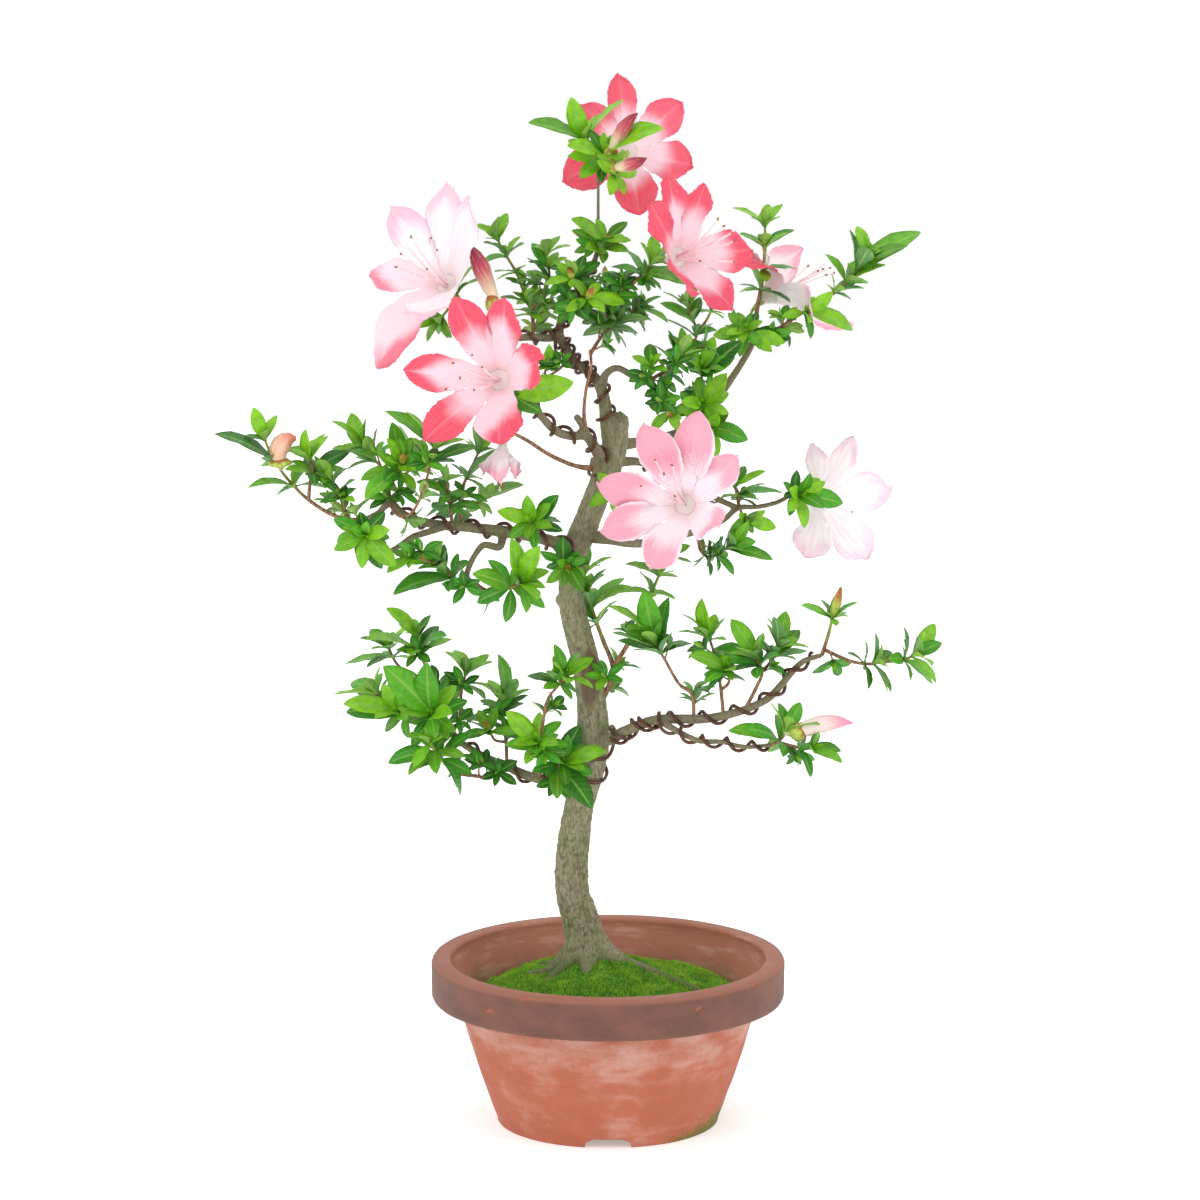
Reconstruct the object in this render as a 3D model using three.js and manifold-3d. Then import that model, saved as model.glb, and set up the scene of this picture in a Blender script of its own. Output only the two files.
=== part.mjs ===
// A satsuki azalea bonsai in its terracotta pot. Millimetres, +Z up, the front of the tree toward -Y.
import * as THREE from "three";
import Module from "manifold-3d";

const wasm = await Module();
wasm.setup();
const { Manifold, Mesh } = wasm;

const DEGREE = Math.PI / 180;

// ---- Driving dimensions ----

const GAP = 0.3; // air between two pieces that touch on the real tree
const SLIVER = 0.06; // edges shorter than this are closed up
const ROOM = 0.8; // from a leaf to the pieces beside its own spray

// Pot: a thick rolled rim band over a tapering body on a foot ring.
const POT_HEIGHT = 100;
const RIM_RADIUS = 105.4;
const RIM_BAND = 24.7;
const BODY_RADIUS = 89; // under the band
const FOOT_RADIUS = 66;
const FOOT_RING = 9; // width of the ring that it stands on
const FOOT_HEIGHT = 7;
const FLOOR_TOP = 16;
const DRAIN_RADIUS = 9;
const NOTCH_WIDTH = 29;
const NOTCH_HEIGHT = 6;
const POT_SIDES = 34;

// Soil: a low dome that the roots stand in. The moss lies over it.
const SOIL_EDGE = 70; // height at the wall
const SOIL_DOME = 11; // rise from the wall to the trunk
const SOIL_RADIUS = 84;
const MOSS_RADIUS = 82;
const MOSS_DEPTH = 6.5;
const MOSS_EDGE = 3; // depth at the wall
const MOSS_MOUND = 5; // further depth beside the trunk
const MOSS_MOUND_RADIUS = 34;
const MOSS_BUMP = 1;
const BED_RING = 56; // where soil and moss bend alike
const BED_SECTORS = 18;

// Tree
const BRANCH_REACH = 1.7; // how far the branches fan to the front and back, per mm of their listed depth
const LEAF_REACH = 1.15; // the same for the leaf tips
const TRUNK_SIDES = 9;
const TRUNK_FLUTE = 0.05; // depth of the ridges over the radius
const LEADER_SIDES = 5;
const LIMB_SIDES = 4;
const STEM_SIDES = 3;
const FORK_CLEAR = 2; // from the bark of a limb to the first fork of a spray
const WHORL_HEIGHT = 1.6; // of the swollen node that a whorl of leaves grows from
const WHORL_SWELL = 0.5;
const WHORL_SECTOR = 55 * DEGREE; // beside a leaf that has no near neighbour
const STALK_CLEAR = 1; // from a stem to the foot of a bloom or bud on it
const LEADER_SPREAD = 15; // a shoot with leaves over more than this bears them in threes, not at its end
const BLADE_THICK = 1.1;
const BLADE_BREADTH = 0.38; // breadth of a leaf over its length
const BLADE_ARCH = 0.07;
const BLADE_STATIONS = [0.42, 0.74]; // where the outline is widest, over the length
const BLADE_WIDTHS = [0.96, 0.82];

// Blooms
const TUBE_RADIUS = 2;
const THROAT_RADIUS = 9.5; // of the larger blooms
const OPENING_SHARE = 0.6; // of the reach of the shortest lobe, which a narrower throat keeps to
const TUBE_FOOT = 0.12; // where the tube starts to widen, over its length
const TUBE_FLOOR = 0.1; // the same for its floor inside
const TUBE_ROOT = 0.02; // the same for its lowest point outside
const NOTCH_REACH = 1.35; // from the axis to a notch between two lobes, over the throat's radius
const NOTCH_RISE = 2; // of a notch above the throat
const PETAL_THICK = 0.9;
const PETAL_WAVE = 1.1;
const LOBE_WIDEST = 0.42; // where a lobe is widest, over its length
const LOBE_SHOULDER = [0.8, 0.84]; // where it turns in to the tip, and its breadth there over the widest
const LOBE_BREADTH = 0.5; // half the breadth over the reach, at most
const LOBE_SPAN = 0.62; // half the breadth over the distance between its notches, at most
const LOBE_FLARE = 0.2; // added to the half breadth, over the throat's radius
const LOBE_ROOM = 0.46; // half the breadth over the distance to the next lobe, at most
const LOBE_CUP = 0.12; // how far its edges turn back, over half the breadth
const LOBE_BEND = [0.45, 0.3]; // outward and upward pull on its midrib, over its reach
const LOBE_EASE = 0.25; // how much of that pull is given up toward the tip
const STAMENS = 3;
const STAMEN_SPREAD = 2.6; // between the tips of two stamens
const STAMEN_RADII = [0.5, 0.9];
const STALK_RADII = [0.9, 1, 2.4];
const STALK_SIDES = 5;
const BUD_SIDES = 7;

// Training wire
const WIRE_RADIUS = 1.25;
const WIRE_CLEAR = 0.45; // from the bark to the wire
const WIRE_SIDES = 3;
const TURN_STEPS = 6;
const TURN_ANGLES = 24;
const CHORD_SAG = 1 - Math.cos(Math.PI / TURN_STEPS);

// The tree's points are listed as they are seen from a place in front of it: the column (to the right) and
// the row (down) of each, then how far in mm it lies behind the pot's axis.
const EYE = new THREE.Vector3(-4.8, -3475.6, 992.1);
const EYE_PITCH = 11 * DEGREE; // downward
const EYE_FOCUS = 6000;
const EYE_CENTRE = 600;

// ---- The tree's points ----

// Trunk and branches: column, row, width in columns, depth. The trunk and leader keep their listed depth.
const LIMBS = {
  trunk: [[592, 1003, 66, 8], [591, 986, 62, 8], [590, 968, 50, 8], [586, 945, 43, 8],
    [580, 920, 38, 8], [573, 895, 34, 7], [572, 868, 32, 7], [574, 838, 33, 6],
    [580, 803, 30, 5], [588, 770, 33, 4], [593, 740, 33, 3], [592, 702, 30, 2],
    [587, 670, 29, 2], [580, 640, 29, 2], [573, 610, 27, 2], [571, 580, 26, 1],
    [573, 558, 27, 1], [579, 541, 27, 1], [587, 522, 27, 1], [596, 500, 26, 1], [605, 477, 27, 1],
    [612, 455, 28, 1], [617, 434, 24, 1], [620, 416, 19, 1]],
  leader: [[611, 446, 18, -2], [607, 425, 14, -5], [605, 404, 13, -6], [600, 386, 12, -6],
    [590, 373, 11, -5], [575, 362, 10, -4], [565, 347, 10, -2], [559, 334, 10, 0], [562, 321, 9, 1],
    [569, 308, 9, 2], [577, 293, 8, 3], [586, 277, 7, 4], [594, 262, 6, 5], [598, 246, 5, 6],
    [598, 215, 4, 6], [598, 184, 3.6, 6]],
  upper_left: [[562, 335, 10, 0], [548, 338, 8, -3], [530, 337, 8, -6], [511, 338, 7, -9],
    [494, 333, 6, -9], [478, 322, 5, -8], [466, 308, 4.5, -6]],
  right_inner: [[602, 386, 11, -3.5], [606, 374, 8, -9], [617, 368, 7, -11], [631, 375, 7, -13],
    [643, 384, 7, -14]],
  left_lower: [[604, 466, 14, 0], [596, 450, 12, -8], [586, 436, 10, -12], [571, 436, 9, -16],
    [556, 431, 9, -20], [541, 416, 8, -25], [527, 399, 8, -29], [517, 389, 7, -31]],
  left_stub: [[588, 437, 9, -12], [583, 426, 8, -13], [576, 416, 7, -14]],
  long_twig: [[602, 469, 9, -2], [576, 466, 5, -12], [550, 455, 4.6, -20], [528, 441, 4.2, -26],
    [509, 431, 3.8, -30]],
  thin_twig: [[586, 434, 6, -12], [584, 412, 4, -15], [586, 390, 3.6, -16], [591, 366, 3.4, -15],
    [590, 350, 3, -14]],
  mid_right: [[592, 536, 14, -2], [612, 540, 10, -9], [628, 543, 9, -13], [645, 543, 9, -15],
    [672, 538, 8, -15], [700, 530, 7, -11], [722, 521, 6, -7], [738, 508, 6, -3], [757, 507, 5, 0],
    [775, 503, 5, 2], [786, 498, 4.6, 3]],
  mid_right_upper: [[614, 462, 12, 3], [640, 462, 8, 6], [668, 472, 7, 6], [692, 484, 7, 3],
    [708, 494, 7, 0], [724, 502, 6, -2], [738, 508, 6, -3]],
  right_upper: [[616, 445, 14, 4], [640, 442, 10, 13], [668, 436, 9, 20], [692, 425, 8, 25],
    [711, 408, 8, 28], [727, 385, 8, 32], [741, 364, 7, 36], [750, 348, 7, 38], [755, 336, 7, 39]],
  middle_left: [[577, 552, 18, -1], [559, 544, 13, -8], [540, 538, 12, -12], [520, 534, 12, -16],
    [500, 531, 12, -18], [483, 529, 11, -20], [465, 527, 10, -22], [440, 525, 10, -24],
    [416, 520, 9, -26], [401, 513, 9, -27], [390, 503, 8, -28], [378, 513, 6, -28],
    [364, 520, 5.5, -28]],
  middle_left_lower: [[443, 527, 8, -25], [428, 532, 7, -31], [413, 537, 7, -37], [401, 545, 6, -42],
    [391, 551, 5.5, -46]],
  middle_left_curl: [[503, 536, 9, -18], [499, 547, 8, -23], [484, 545, 7, -28], [475, 555, 6, -31],
    [469, 567, 6, -32], [467, 578, 6, -32], [476, 584, 5, -32]],
  lower_left: [[586, 789, 18, 1], [565, 786, 13, 3], [545, 780, 11, 6], [526, 775, 10, 8],
    [508, 767, 9, 10], [485, 757, 8, 12], [463, 744, 7, 14], [454, 734, 6, 15], [447, 723, 6, 16]],
  lower_right: [[593, 744, 18, 0], [612, 738, 13, -7], [630, 729, 11, -11], [655, 720, 10, -16],
    [680, 719, 10, -19], [702, 719, 9.5, -22], [722, 716, 9, -24], [741, 711, 8.5, -26],
    [756, 705, 8, -26], [770, 697, 8, -26], [782, 684, 7.5, -26], [792, 672, 7, -26], [804, 661, 6, -26],
    [822, 655, 5, -26]],
  lower_right_lower: [[660, 720, 9, -17], [672, 728, 7, -23], [685, 735, 6, -28], [700, 741, 6, -32],
    [722, 742, 5, -37], [745, 747, 5, -42], [772, 745, 4.4, -46]],
};

// Roots that show on the soil, in the same form.
const ROOTS = {
  root_right: [[600, 948, 24, 6], [622, 961, 17, 1], [650, 969, 11, -6], [680, 976, 8, -14],
    [706, 986, 6, -20]],
  root_left: [[580, 948, 24, 4], [561, 966, 15, -4], [544, 985, 10, -14], [528, 1002, 6, -22]],
  root_front: [[590, 952, 24, 2], [587, 976, 15, -12], [592, 997, 10, -24], [597, 1013, 6, -32]],
  root_back_left: [[580, 940, 24, 12], [559, 948, 13, 26], [538, 953, 7, 42]],
  root_back_right: [[596, 940, 24, 12], [616, 946, 13, 28], [637, 951, 7, 44]],
  root_side: [[578, 945, 24, 8], [552, 959, 13, 8], [527, 973, 7, 6]],
};

// Leafy sprays: the limb that carries each, how far its shoots fan to front and back, and its shoots. A
// shoot has radii at foot and end, the length at its end that bears leaves, the length of its end bud, the
// points of its stem and the leaf tips.
const SPRAYS = {
  apex: { on: "leader", fan: 1.4, shoots: [
    { radii: [1.3, 0.9], spread: 7, bud: 0,
      stem: [[598, 178, 6], [597, 167, 4], [591, 153, 1], [585, 139, -1]],
      tips: [[528, 123, -12], [571, 97, -4], [598, 108, 4], [625, 100, -10]] },
    { radii: [1.3, 0.9], spread: 8, bud: 0,
      stem: [[597, 167, 4], [602, 160, -1], [604, 153, -4]],
      tips: [[559, 155, -4], [567, 146, -18], [567, 175, -14], [630, 145, 10], [664, 129, -20],
        [609, 136, -8]] },
    { radii: [1.2, 0.9], spread: 4, bud: 0,
      stem: [[597, 167, 4], [608, 172, -4], [615, 174, -8]],
      tips: [[617, 201, -24], [637, 171, 6]] },
  ] },
  top_centre: { on: "leader", fan: 3, shoots: [
    { radii: [1.2, 0.8], spread: 8, bud: 5,
      stem: [[597, 254, 3], [603, 247, 1], [606, 240, 0]],
      tips: [[586, 240, -12], [564, 226, 4], [571, 219, -10], [645, 254, -12], [633, 217, 10],
        [588, 216, 12], [632, 243, -18]] },
  ] },
  top_front: { on: "leader", fan: 2.6, shoots: [
    { radii: [1.4, 0.9], spread: 7, bud: 10,
      stem: [[574, 301, 0], [577, 290, -5], [572, 277, -9]],
      tips: [[545, 285, -16], [556, 262, -6], [592, 270, -2], [585, 255, 2], [566, 259, -22],
        [600, 262, 6]] },
    { radii: [1.2, 0.8], spread: 6, bud: 12,
      stem: [[577, 290, -5], [585, 303, -10], [588, 297, -12]],
      tips: [[564, 293, -20], [566, 312, -18], [609, 312, -18], [625, 303, -6], [600, 283, -2]] },
    { radii: [1.6, 0.9], spread: 12, bud: 0,
      stem: [[574, 301, 0], [577, 306, -2], [590, 307, -4], [605, 301, -5], [620, 296, -5], [635, 282, -6],
        [645, 271, -6], [652, 263, -6]],
      tips: [[603, 265, 4], [696, 286, 6], [620, 268, -16], [688, 276, -16], [625, 249, 8],
        [640, 242, -10], [654, 235, 6], [669, 240, -10]] },
  ] },
  top_left: { on: "upper_left", fan: 2.6, shoots: [
    { radii: [1.5, 0.9], spread: 9, bud: 4,
      stem: [[533, 333, -6], [533, 322, -4], [531, 311, -3], [529, 302, -3]],
      tips: [[504, 321, -8], [541, 322, -14], [500, 298, -12], [512, 310, 6], [548, 291, -6],
        [518, 287, -10], [535, 285, 4]] },
    { radii: [1.2, 0.8], spread: 34, bud: 0,
      stem: [[531, 311, -3], [524, 292, 2], [516, 272, 3], [504, 252, 2], [497, 238, 1]],
      tips: [[540, 283, 10], [490, 272, -14], [523, 269, 10], [481, 262, 8], [524, 244, -8],
        [484, 243, -10], [507, 213, 10], [473, 225, -2], [499, 216, -10]] },
    { radii: [1.2, 0.8], spread: 26, bud: 0,
      stem: [[531, 311, -3], [543, 296, -2], [549, 278, -2], [548, 262, -3], [547, 251, -3]],
      tips: [[529, 271, -18], [562, 285, 6], [527, 258, -10], [567, 272, -12], [532, 243, 6],
        [571, 246, -6], [560, 236, 6], [546, 239, -14]] },
  ] },
  upper_left_end: { on: "upper_left", fan: 2.4, shoots: [
    { radii: [1.2, 0.8], spread: 8, bud: 0,
      stem: [[463, 303, -5], [458, 296, -3], [455, 288, -2]],
      tips: [[478, 262, 4], [446, 302, -12], [444, 283, -14], [490, 277, 8], [463, 258, 10]] },
    { radii: [1.2, 0.8], spread: 8, bud: 0,
      stem: [[458, 296, -3], [449, 308, -3], [441, 318, -4]],
      tips: [[400, 318, -16], [424, 341, -10], [417, 306, 8], [452, 338, -12], [438, 334, 6]] },
  ] },
  inner_right: { on: "thin_twig", fan: 2.2, shoots: [
    { radii: [1.4, 0.9], spread: 8, bud: 0,
      stem: [[594, 354, -13], [599, 340, -10], [609, 329, -8], [618, 322, -6]],
      tips: [[583, 336, -2], [600, 309, -2], [626, 348, -18], [613, 304, 6], [657, 318, -16],
        [638, 333, -22]] },
    { radii: [1.2, 0.8], spread: 9, bud: 0,
      stem: [[618, 322, -6], [630, 315, 0], [640, 308, 3]],
      tips: [[668, 323, 8], [628, 303, 12], [652, 321, -8], [618, 296, 8], [661, 297, 0],
        [641, 289, 10]] },
    { radii: [1.2, 0.8], spread: 8, bud: 8,
      stem: [[609, 329, -8], [606, 308, 2], [605, 290, 8], [605, 278, 10]],
      tips: [[585, 297, 16], [621, 292, 4], [590, 276, 4], [612, 263, 16], [622, 272, 4]] },
  ] },
  inner_left: { on: "leader", fan: 1.6, shoots: [
    { radii: [1.1, 0.8], spread: 6, bud: 0,
      stem: [[567, 360, -10], [558, 370, -12], [546, 376, -14], [546, 366, -16]],
      tips: [[535, 352, -8], [562, 352, -14], [549, 344, -20], [530, 372, -24]] },
  ] },
  right_inner_crown: { on: "right_inner", fan: 1.6, shoots: [
    { radii: [1.5, 0.9], spread: 9, bud: 4,
      stem: [[646, 385, -14], [662, 373, -14], [674, 366, -13], [681, 356, -12]],
      tips: [[701, 373, -20], [655, 346, -18], [697, 357, -4], [660, 364, -26], [668, 330, -14],
        [705, 343, 2], [690, 334, -20], [700, 331, 0]] },
    { radii: [1.2, 0.8], spread: 7, bud: 0,
      stem: [[650, 379, -15], [651, 372, -18], [652, 366, -20]],
      tips: [[632, 356, -16], [640, 369, -28], [633, 345, -10], [662, 354, -26], [668, 371, -26]] },
    { radii: [1.2, 0.8], spread: 26, bud: 0,
      stem: [[674, 366, -13], [690, 350, -6], [697, 332, -4], [692, 318, -4], [688, 305, -4]],
      tips: [[717, 330, 4], [662, 318, -6], [715, 322, -4], [660, 303, -2], [700, 297, 4],
        [663, 292, -8], [685, 288, -10], [696, 284, 4]] },
    { radii: [1.2, 0.8], spread: 14, bud: 0,
      stem: [[697, 332, -4], [706, 321, 0], [712, 309, 2]],
      tips: [[696, 312, -8], [724, 319, 6], [702, 298, 6], [720, 296, -2]] },
    { radii: [1.3, 0.9], spread: 7, bud: 6,
      stem: [[646, 385, -14], [656, 393, -15], [664, 402, -17], [668, 408, -20], [669, 412, -23]],
      tips: [[673, 432, -30], [650, 398, -18], [690, 409, -20], [644, 420, -22], [660, 390, -10]] },
  ] },
  right_upper_low: { on: "right_upper", fan: 2, shoots: [
    { radii: [1.4, 0.9], spread: 8, bud: 0,
      stem: [[707, 408, 21], [702, 402, 17], [699, 392, 13], [702, 376, 9], [703, 368, 7]],
      tips: [[684, 353, 2], [724, 370, 0], [735, 357, 10], [717, 328, 10], [742, 341, 14],
        [690, 372, -2]] },
    { radii: [1.3, 0.9], spread: 8, bud: 0,
      stem: [[702, 402, 17], [704, 408, 9], [704, 404, 3]],
      tips: [[730, 401, 2], [681, 382, -8], [727, 373, -6], [697, 377, 8], [729, 393, 10]] },
    { radii: [1.3, 0.9], spread: 8, bud: 0,
      stem: [[702, 402, 17], [703, 418, 12], [708, 428, 6]],
      tips: [[741, 445, 8], [718, 413, -8], [737, 420, -2], [734, 433, -8], [748, 440, 12],
        [722, 446, -8]] },
  ] },
  left_lower_end: { on: "left_lower", fan: 2, shoots: [
    { radii: [1.2, 0.9], spread: 7, bud: 0,
      stem: [[514, 387, -34], [511, 390, -37], [509, 394, -40]],
      tips: [[574, 382, -46], [530, 425, -40], [524, 438, -32], [500, 420, -34]] },
  ] },
  right_crown: { on: "right_upper", fan: 2, shoots: [
    { radii: [1.8, 0.8], spread: 70, bud: 0,
      stem: [[756, 331, 40], [757, 310, 40], [761, 288, 41], [764, 262, 42], [765, 240, 43],
        [765, 224, 43]],
      tips: [[739, 292, 48], [802, 303, 40], [747, 262, 34], [772, 282, 28], [797, 269, 50],
        [742, 245, 50], [795, 230, 52], [733, 230, 34], [788, 222, 34], [732, 208, 42], [783, 204, 50],
        [765, 204, 36]] },
    { radii: [1.6, 0.9], spread: 8, bud: 0,
      stem: [[756, 331, 40], [749, 336, 33], [746, 330, 29]],
      tips: [[785, 343, 34], [725, 328, 24], [790, 338, 44], [713, 335, 40], [728, 313, 34],
        [772, 352, 26], [762, 346, 18]] },
    { radii: [1.9, 0.9], spread: 14, bud: 0,
      stem: [[756, 331, 40], [775, 330, 38], [797, 316, 36], [806, 311, 35]],
      tips: [[853, 330, 46], [782, 317, 30], [815, 337, 30], [833, 291, 30]] },
    { radii: [1.5, 0.8], spread: 46, bud: 0,
      stem: [[806, 311, 35], [828, 297, 34], [843, 286, 34], [853, 275, 34], [861, 265, 34],
        [866, 256, 34]],
      tips: [[826, 284, 42], [883, 286, 28], [857, 281, 42], [886, 265, 28], [820, 247, 36],
        [848, 262, 24], [908, 246, 28], [921, 232, 40], [857, 226, 44], [885, 213, 36],
        [861, 232, 28]] },
  ] },
  mid_right_tip: { on: "mid_right", fan: 2.6, shoots: [
    { radii: [1.3, 0.9], spread: 9, bud: 0,
      stem: [[789, 495, 2], [794, 494, -1], [799, 496, -3]],
      tips: [[843, 503, 4], [783, 482, -4], [789, 516, -6], [806, 536, -10], [824, 508, -14],
        [822, 480, 4], [813, 467, -12], [797, 470, 4]] },
  ] },
  mid_right_mid: { on: "mid_right", fan: 2, shoots: [
    { radii: [1.3, 0.9], spread: 9, bud: 6,
      stem: [[739, 503, -4], [737, 494, -3], [734, 484, -3]],
      tips: [[756, 498, -14], [721, 497, -8], [783, 493, 4], [765, 484, -14], [718, 482, 6],
        [766, 471, -6], [738, 454, -4], [745, 466, 8]] },
    { radii: [1.1, 0.8], spread: 6, bud: 0,
      stem: [[739, 503, -4], [742, 514, -8], [746, 519, -10]],
      tips: [[776, 528, -6], [757, 514, -22], [730, 530, -20]] },
  ] },
  mid_right_low: { on: "mid_right", fan: 2, shoots: [
    { radii: [1.2, 0.8], spread: 22, bud: 0,
      stem: [[703, 534, -11], [699, 546, -12], [706, 556, -12], [717, 555, -13], [728, 547, -14]],
      tips: [[697, 530, -8], [704, 540, -20], [718, 575, -18], [734, 575, -10], [712, 540, -4],
        [726, 538, -22], [774, 537, -8], [773, 560, -20], [748, 521, -18]] },
  ] },
  fork: { on: "trunk", fan: 1.8, shoots: [
    { radii: [2.3, 0.8], spread: 40, bud: 0,
      stem: [[600, 716, 2], [606, 692, 1], [613, 668, -2], [603, 640, 2], [593, 612, 4], [588, 590, 5],
        [583, 572, 6]],
      tips: [[583, 636, 8], [572, 600, 10], [617, 601, -4], [568, 585, 2], [632, 587, -4],
        [625, 578, 14], [609, 571, -8], [566, 560, 14], [632, 546, 6], [607, 541, -2], [590, 540, 12]] },
    { radii: [1.9, 0.8], spread: 34, bud: 0,
      stem: [[613, 668, -2], [630, 640, -6], [646, 606, -8], [657, 580, -8], [668, 556, -8]],
      tips: [[612, 593, -2], [673, 597, 2], [643, 566, -16], [625, 564, -2], [676, 571, -12],
        [640, 549, 2], [692, 563, -12], [690, 545, 0], [672, 540, -14]] },
  ] },
  lower_right_near: { on: "lower_right", fan: 2, shoots: [
    { radii: [1.3, 0.9], spread: 9, bud: 8,
      stem: [[694, 713, -22], [692, 695, -22], [679, 684, -22], [665, 660, -22], [655, 643, -22]],
      tips: [[693, 644, -10], [618, 640, -12], [612, 633, -34], [606, 624, -20], [607, 606, -30],
        [669, 597, -14], [644, 590, -22], [664, 604, -32], [634, 650, -36]] },
  ] },
  lower_right_mid: { on: "lower_right", fan: 2, shoots: [
    { radii: [1.3, 0.9], spread: 8, bud: 0,
      stem: [[722, 711, -24], [721, 690, -23], [716, 660, -21], [709, 637, -20]],
      tips: [[670, 630, -28], [726, 640, -30], [681, 614, -20], [715, 614, -8], [702, 598, -24]] },
    { radii: [1.3, 0.9], spread: 7, bud: 0,
      stem: [[721, 690, -23], [729, 682, -25], [727, 668, -28]],
      tips: [[704, 683, -36], [748, 668, -30], [689, 655, -34], [705, 668, -22], [745, 652, -38]] },
  ] },
  lower_right_far: { on: "lower_right", fan: 2, shoots: [
    { radii: [1.5, 0.9], spread: 9, bud: 0,
      stem: [[744, 706, -27], [757, 686, -29], [762, 672, -30], [755, 656, -31]],
      tips: [[780, 655, -44], [757, 679, -46], [727, 652, -24], [731, 619, -24], [735, 636, -42],
        [765, 627, -40], [712, 650, -10]] },
    { radii: [1.3, 0.9], spread: 9, bud: 6,
      stem: [[762, 672, -30], [772, 660, -28], [779, 646, -28]],
      tips: [[808, 651, -20], [796, 660, -38], [800, 630, -16], [764, 610, -34], [775, 617, -42],
        [786, 611, -20], [813, 613, -34], [750, 640, -14]] },
  ] },
  lower_right_tip: { on: "lower_right", fan: 2, shoots: [
    { radii: [1.5, 0.9], spread: 8, bud: 18,
      stem: [[825, 654, -27], [828, 636, -27], [833, 616, -27]],
      tips: [[857, 601, -24], [818, 600, -22], [801, 605, -32], [836, 626, -38], [845, 612, -12]] },
    { radii: [1.4, 0.9], spread: 9, bud: 8,
      stem: [[825, 654, -27], [850, 661, -27], [870, 664, -28], [876, 662, -28]],
      tips: [[847, 653, -20], [863, 640, -26], [892, 652, -18], [868, 689, -34], [888, 694, -22],
        [911, 707, -34]] },
    { radii: [1.3, 0.9], spread: 9, bud: 4,
      stem: [[876, 662, -28], [893, 661, -28], [906, 659, -28], [914, 655, -29]],
      tips: [[888, 659, -40], [902, 645, -20], [933, 685, -18], [951, 700, -36], [963, 637, -28],
        [906, 618, -22], [932, 614, -36]] },
  ] },
  lower_right_lower: { on: "lower_right_lower", fan: 2, shoots: [
    { radii: [1.2, 0.9], spread: 9, bud: 0,
      stem: [[775, 744, -47], [782, 738, -48], [786, 731, -48]],
      tips: [[728, 731, -44], [744, 730, -62], [766, 695, -52], [804, 703, -42], [820, 725, -62],
        [768, 752, -34]] },
    { radii: [1.2, 0.9], spread: 8, bud: 0,
      stem: [[775, 744, -47], [793, 746, -49], [804, 749, -50], [811, 748, -51]],
      tips: [[798, 755, -40], [851, 740, -52], [818, 729, -44], [842, 763, -60], [813, 785, -60],
        [800, 738, -34]] },
  ] },
  lower_left_end: { on: "lower_left", fan: 1.6, shoots: [
    { radii: [1.4, 0.9], spread: 14, bud: 0,
      stem: [[447, 723, 16], [440, 696, 24], [428, 672, 26], [420, 652, 25], [417, 635, 24]],
      tips: [[395, 650, 34], [447, 636, 8], [365, 640, 8], [412, 619, 36], [439, 626, 36],
        [386, 608, 20], [431, 615, 24]] },
    { radii: [1.3, 0.9], spread: 9, bud: 0,
      stem: [[440, 696, 24], [415, 678, 31], [397, 664, 34], [388, 646, 34]],
      tips: [[345, 664, 38], [350, 674, 22], [412, 660, 46], [341, 632, 28], [367, 613, 38],
        [410, 625, 42], [392, 648, 14], [375, 660, 50]] },
    { radii: [1.4, 0.9], spread: 9, bud: 0,
      stem: [[447, 723, 16], [425, 718, 7], [403, 712, 4], [386, 703, 3], [375, 692, 3]],
      tips: [[355, 704, 14], [333, 695, -4], [394, 706, -10], [371, 673, 14], [400, 676, 0],
        [352, 682, 22]] },
    { radii: [1.3, 0.9], spread: 9, bud: 0,
      stem: [[425, 718, 7], [408, 717, -2], [398, 712, -7]],
      tips: [[408, 738, -4], [375, 719, -22], [343, 704, -14], [346, 712, 6], [405, 690, -16],
        [380, 735, 8]] },
  ] },
  lower_left_front: { on: "lower_left", fan: 2, shoots: [
    { radii: [1.4, 0.9], spread: 10, bud: 0,
      stem: [[450, 724, 12], [444, 722, 4], [437, 719, -5], [431, 713, -13]],
      tips: [[412, 748, -8], [392, 730, -28], [439, 753, -36], [469, 706, -24], [383, 666, -26],
        [463, 693, -6], [427, 662, -24], [448, 680, 0]] },
  ] },
  lower_left_under: { on: "lower_left", fan: 2, shoots: [
    { radii: [1.6, 0.9], spread: 22, bud: 0,
      stem: [[505, 773, 4], [490, 777, 0], [476, 776, -5], [457, 773, -10], [445, 764, -14],
        [436, 752, -17], [429, 742, -20]],
      tips: [[460, 796, -2], [484, 795, -16], [392, 790, -26], [388, 763, -12], [465, 757, -24],
        [410, 774, -34], [409, 738, -36]] },
  ] },
  lower_left_mid: { on: "lower_left", fan: 2, shoots: [
    { radii: [1.3, 0.9], spread: 9, bud: 0,
      stem: [[463, 739, 14], [460, 718, 17], [461, 695, 19], [466, 672, 20]],
      tips: [[432, 688, 28], [450, 702, 34], [498, 691, 12], [485, 700, 30], [436, 645, 14],
        [500, 659, 10], [479, 645, 24], [455, 650, 36]] },
  ] },
  lower_left_twin: { on: "lower_left", fan: 2, shoots: [
    { radii: [1.3, 0.9], spread: 9, bud: 0,
      stem: [[509, 762, 11], [506, 742, 13], [503, 720, 14], [504, 701, 14]],
      tips: [[480, 700, 24], [515, 722, 2], [539, 688, 4], [478, 683, 10], [512, 678, 30],
        [498, 654, 14], [520, 657, 4]] },
    { radii: [1.1, 0.8], spread: 7, bud: 9,
      stem: [[506, 742, 13], [495, 740, 9], [489, 730, 6]],
      tips: [[460, 738, 6], [520, 734, -2], [473, 722, -6], [497, 706, 6], [478, 710, 14]] },
  ] },
  lower_left_near: { on: "lower_left", fan: 2, shoots: [
    { radii: [1.5, 0.9], spread: 9, bud: 0,
      stem: [[540, 775, 2], [541, 762, -8], [539, 750, -14], [537, 741, -18]],
      tips: [[495, 742, -14], [508, 774, -32], [553, 735, -4], [506, 711, -22], [577, 709, -16],
        [529, 719, -30], [518, 735, 4]] },
    { radii: [1.2, 0.9], spread: 9, bud: 0,
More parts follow.
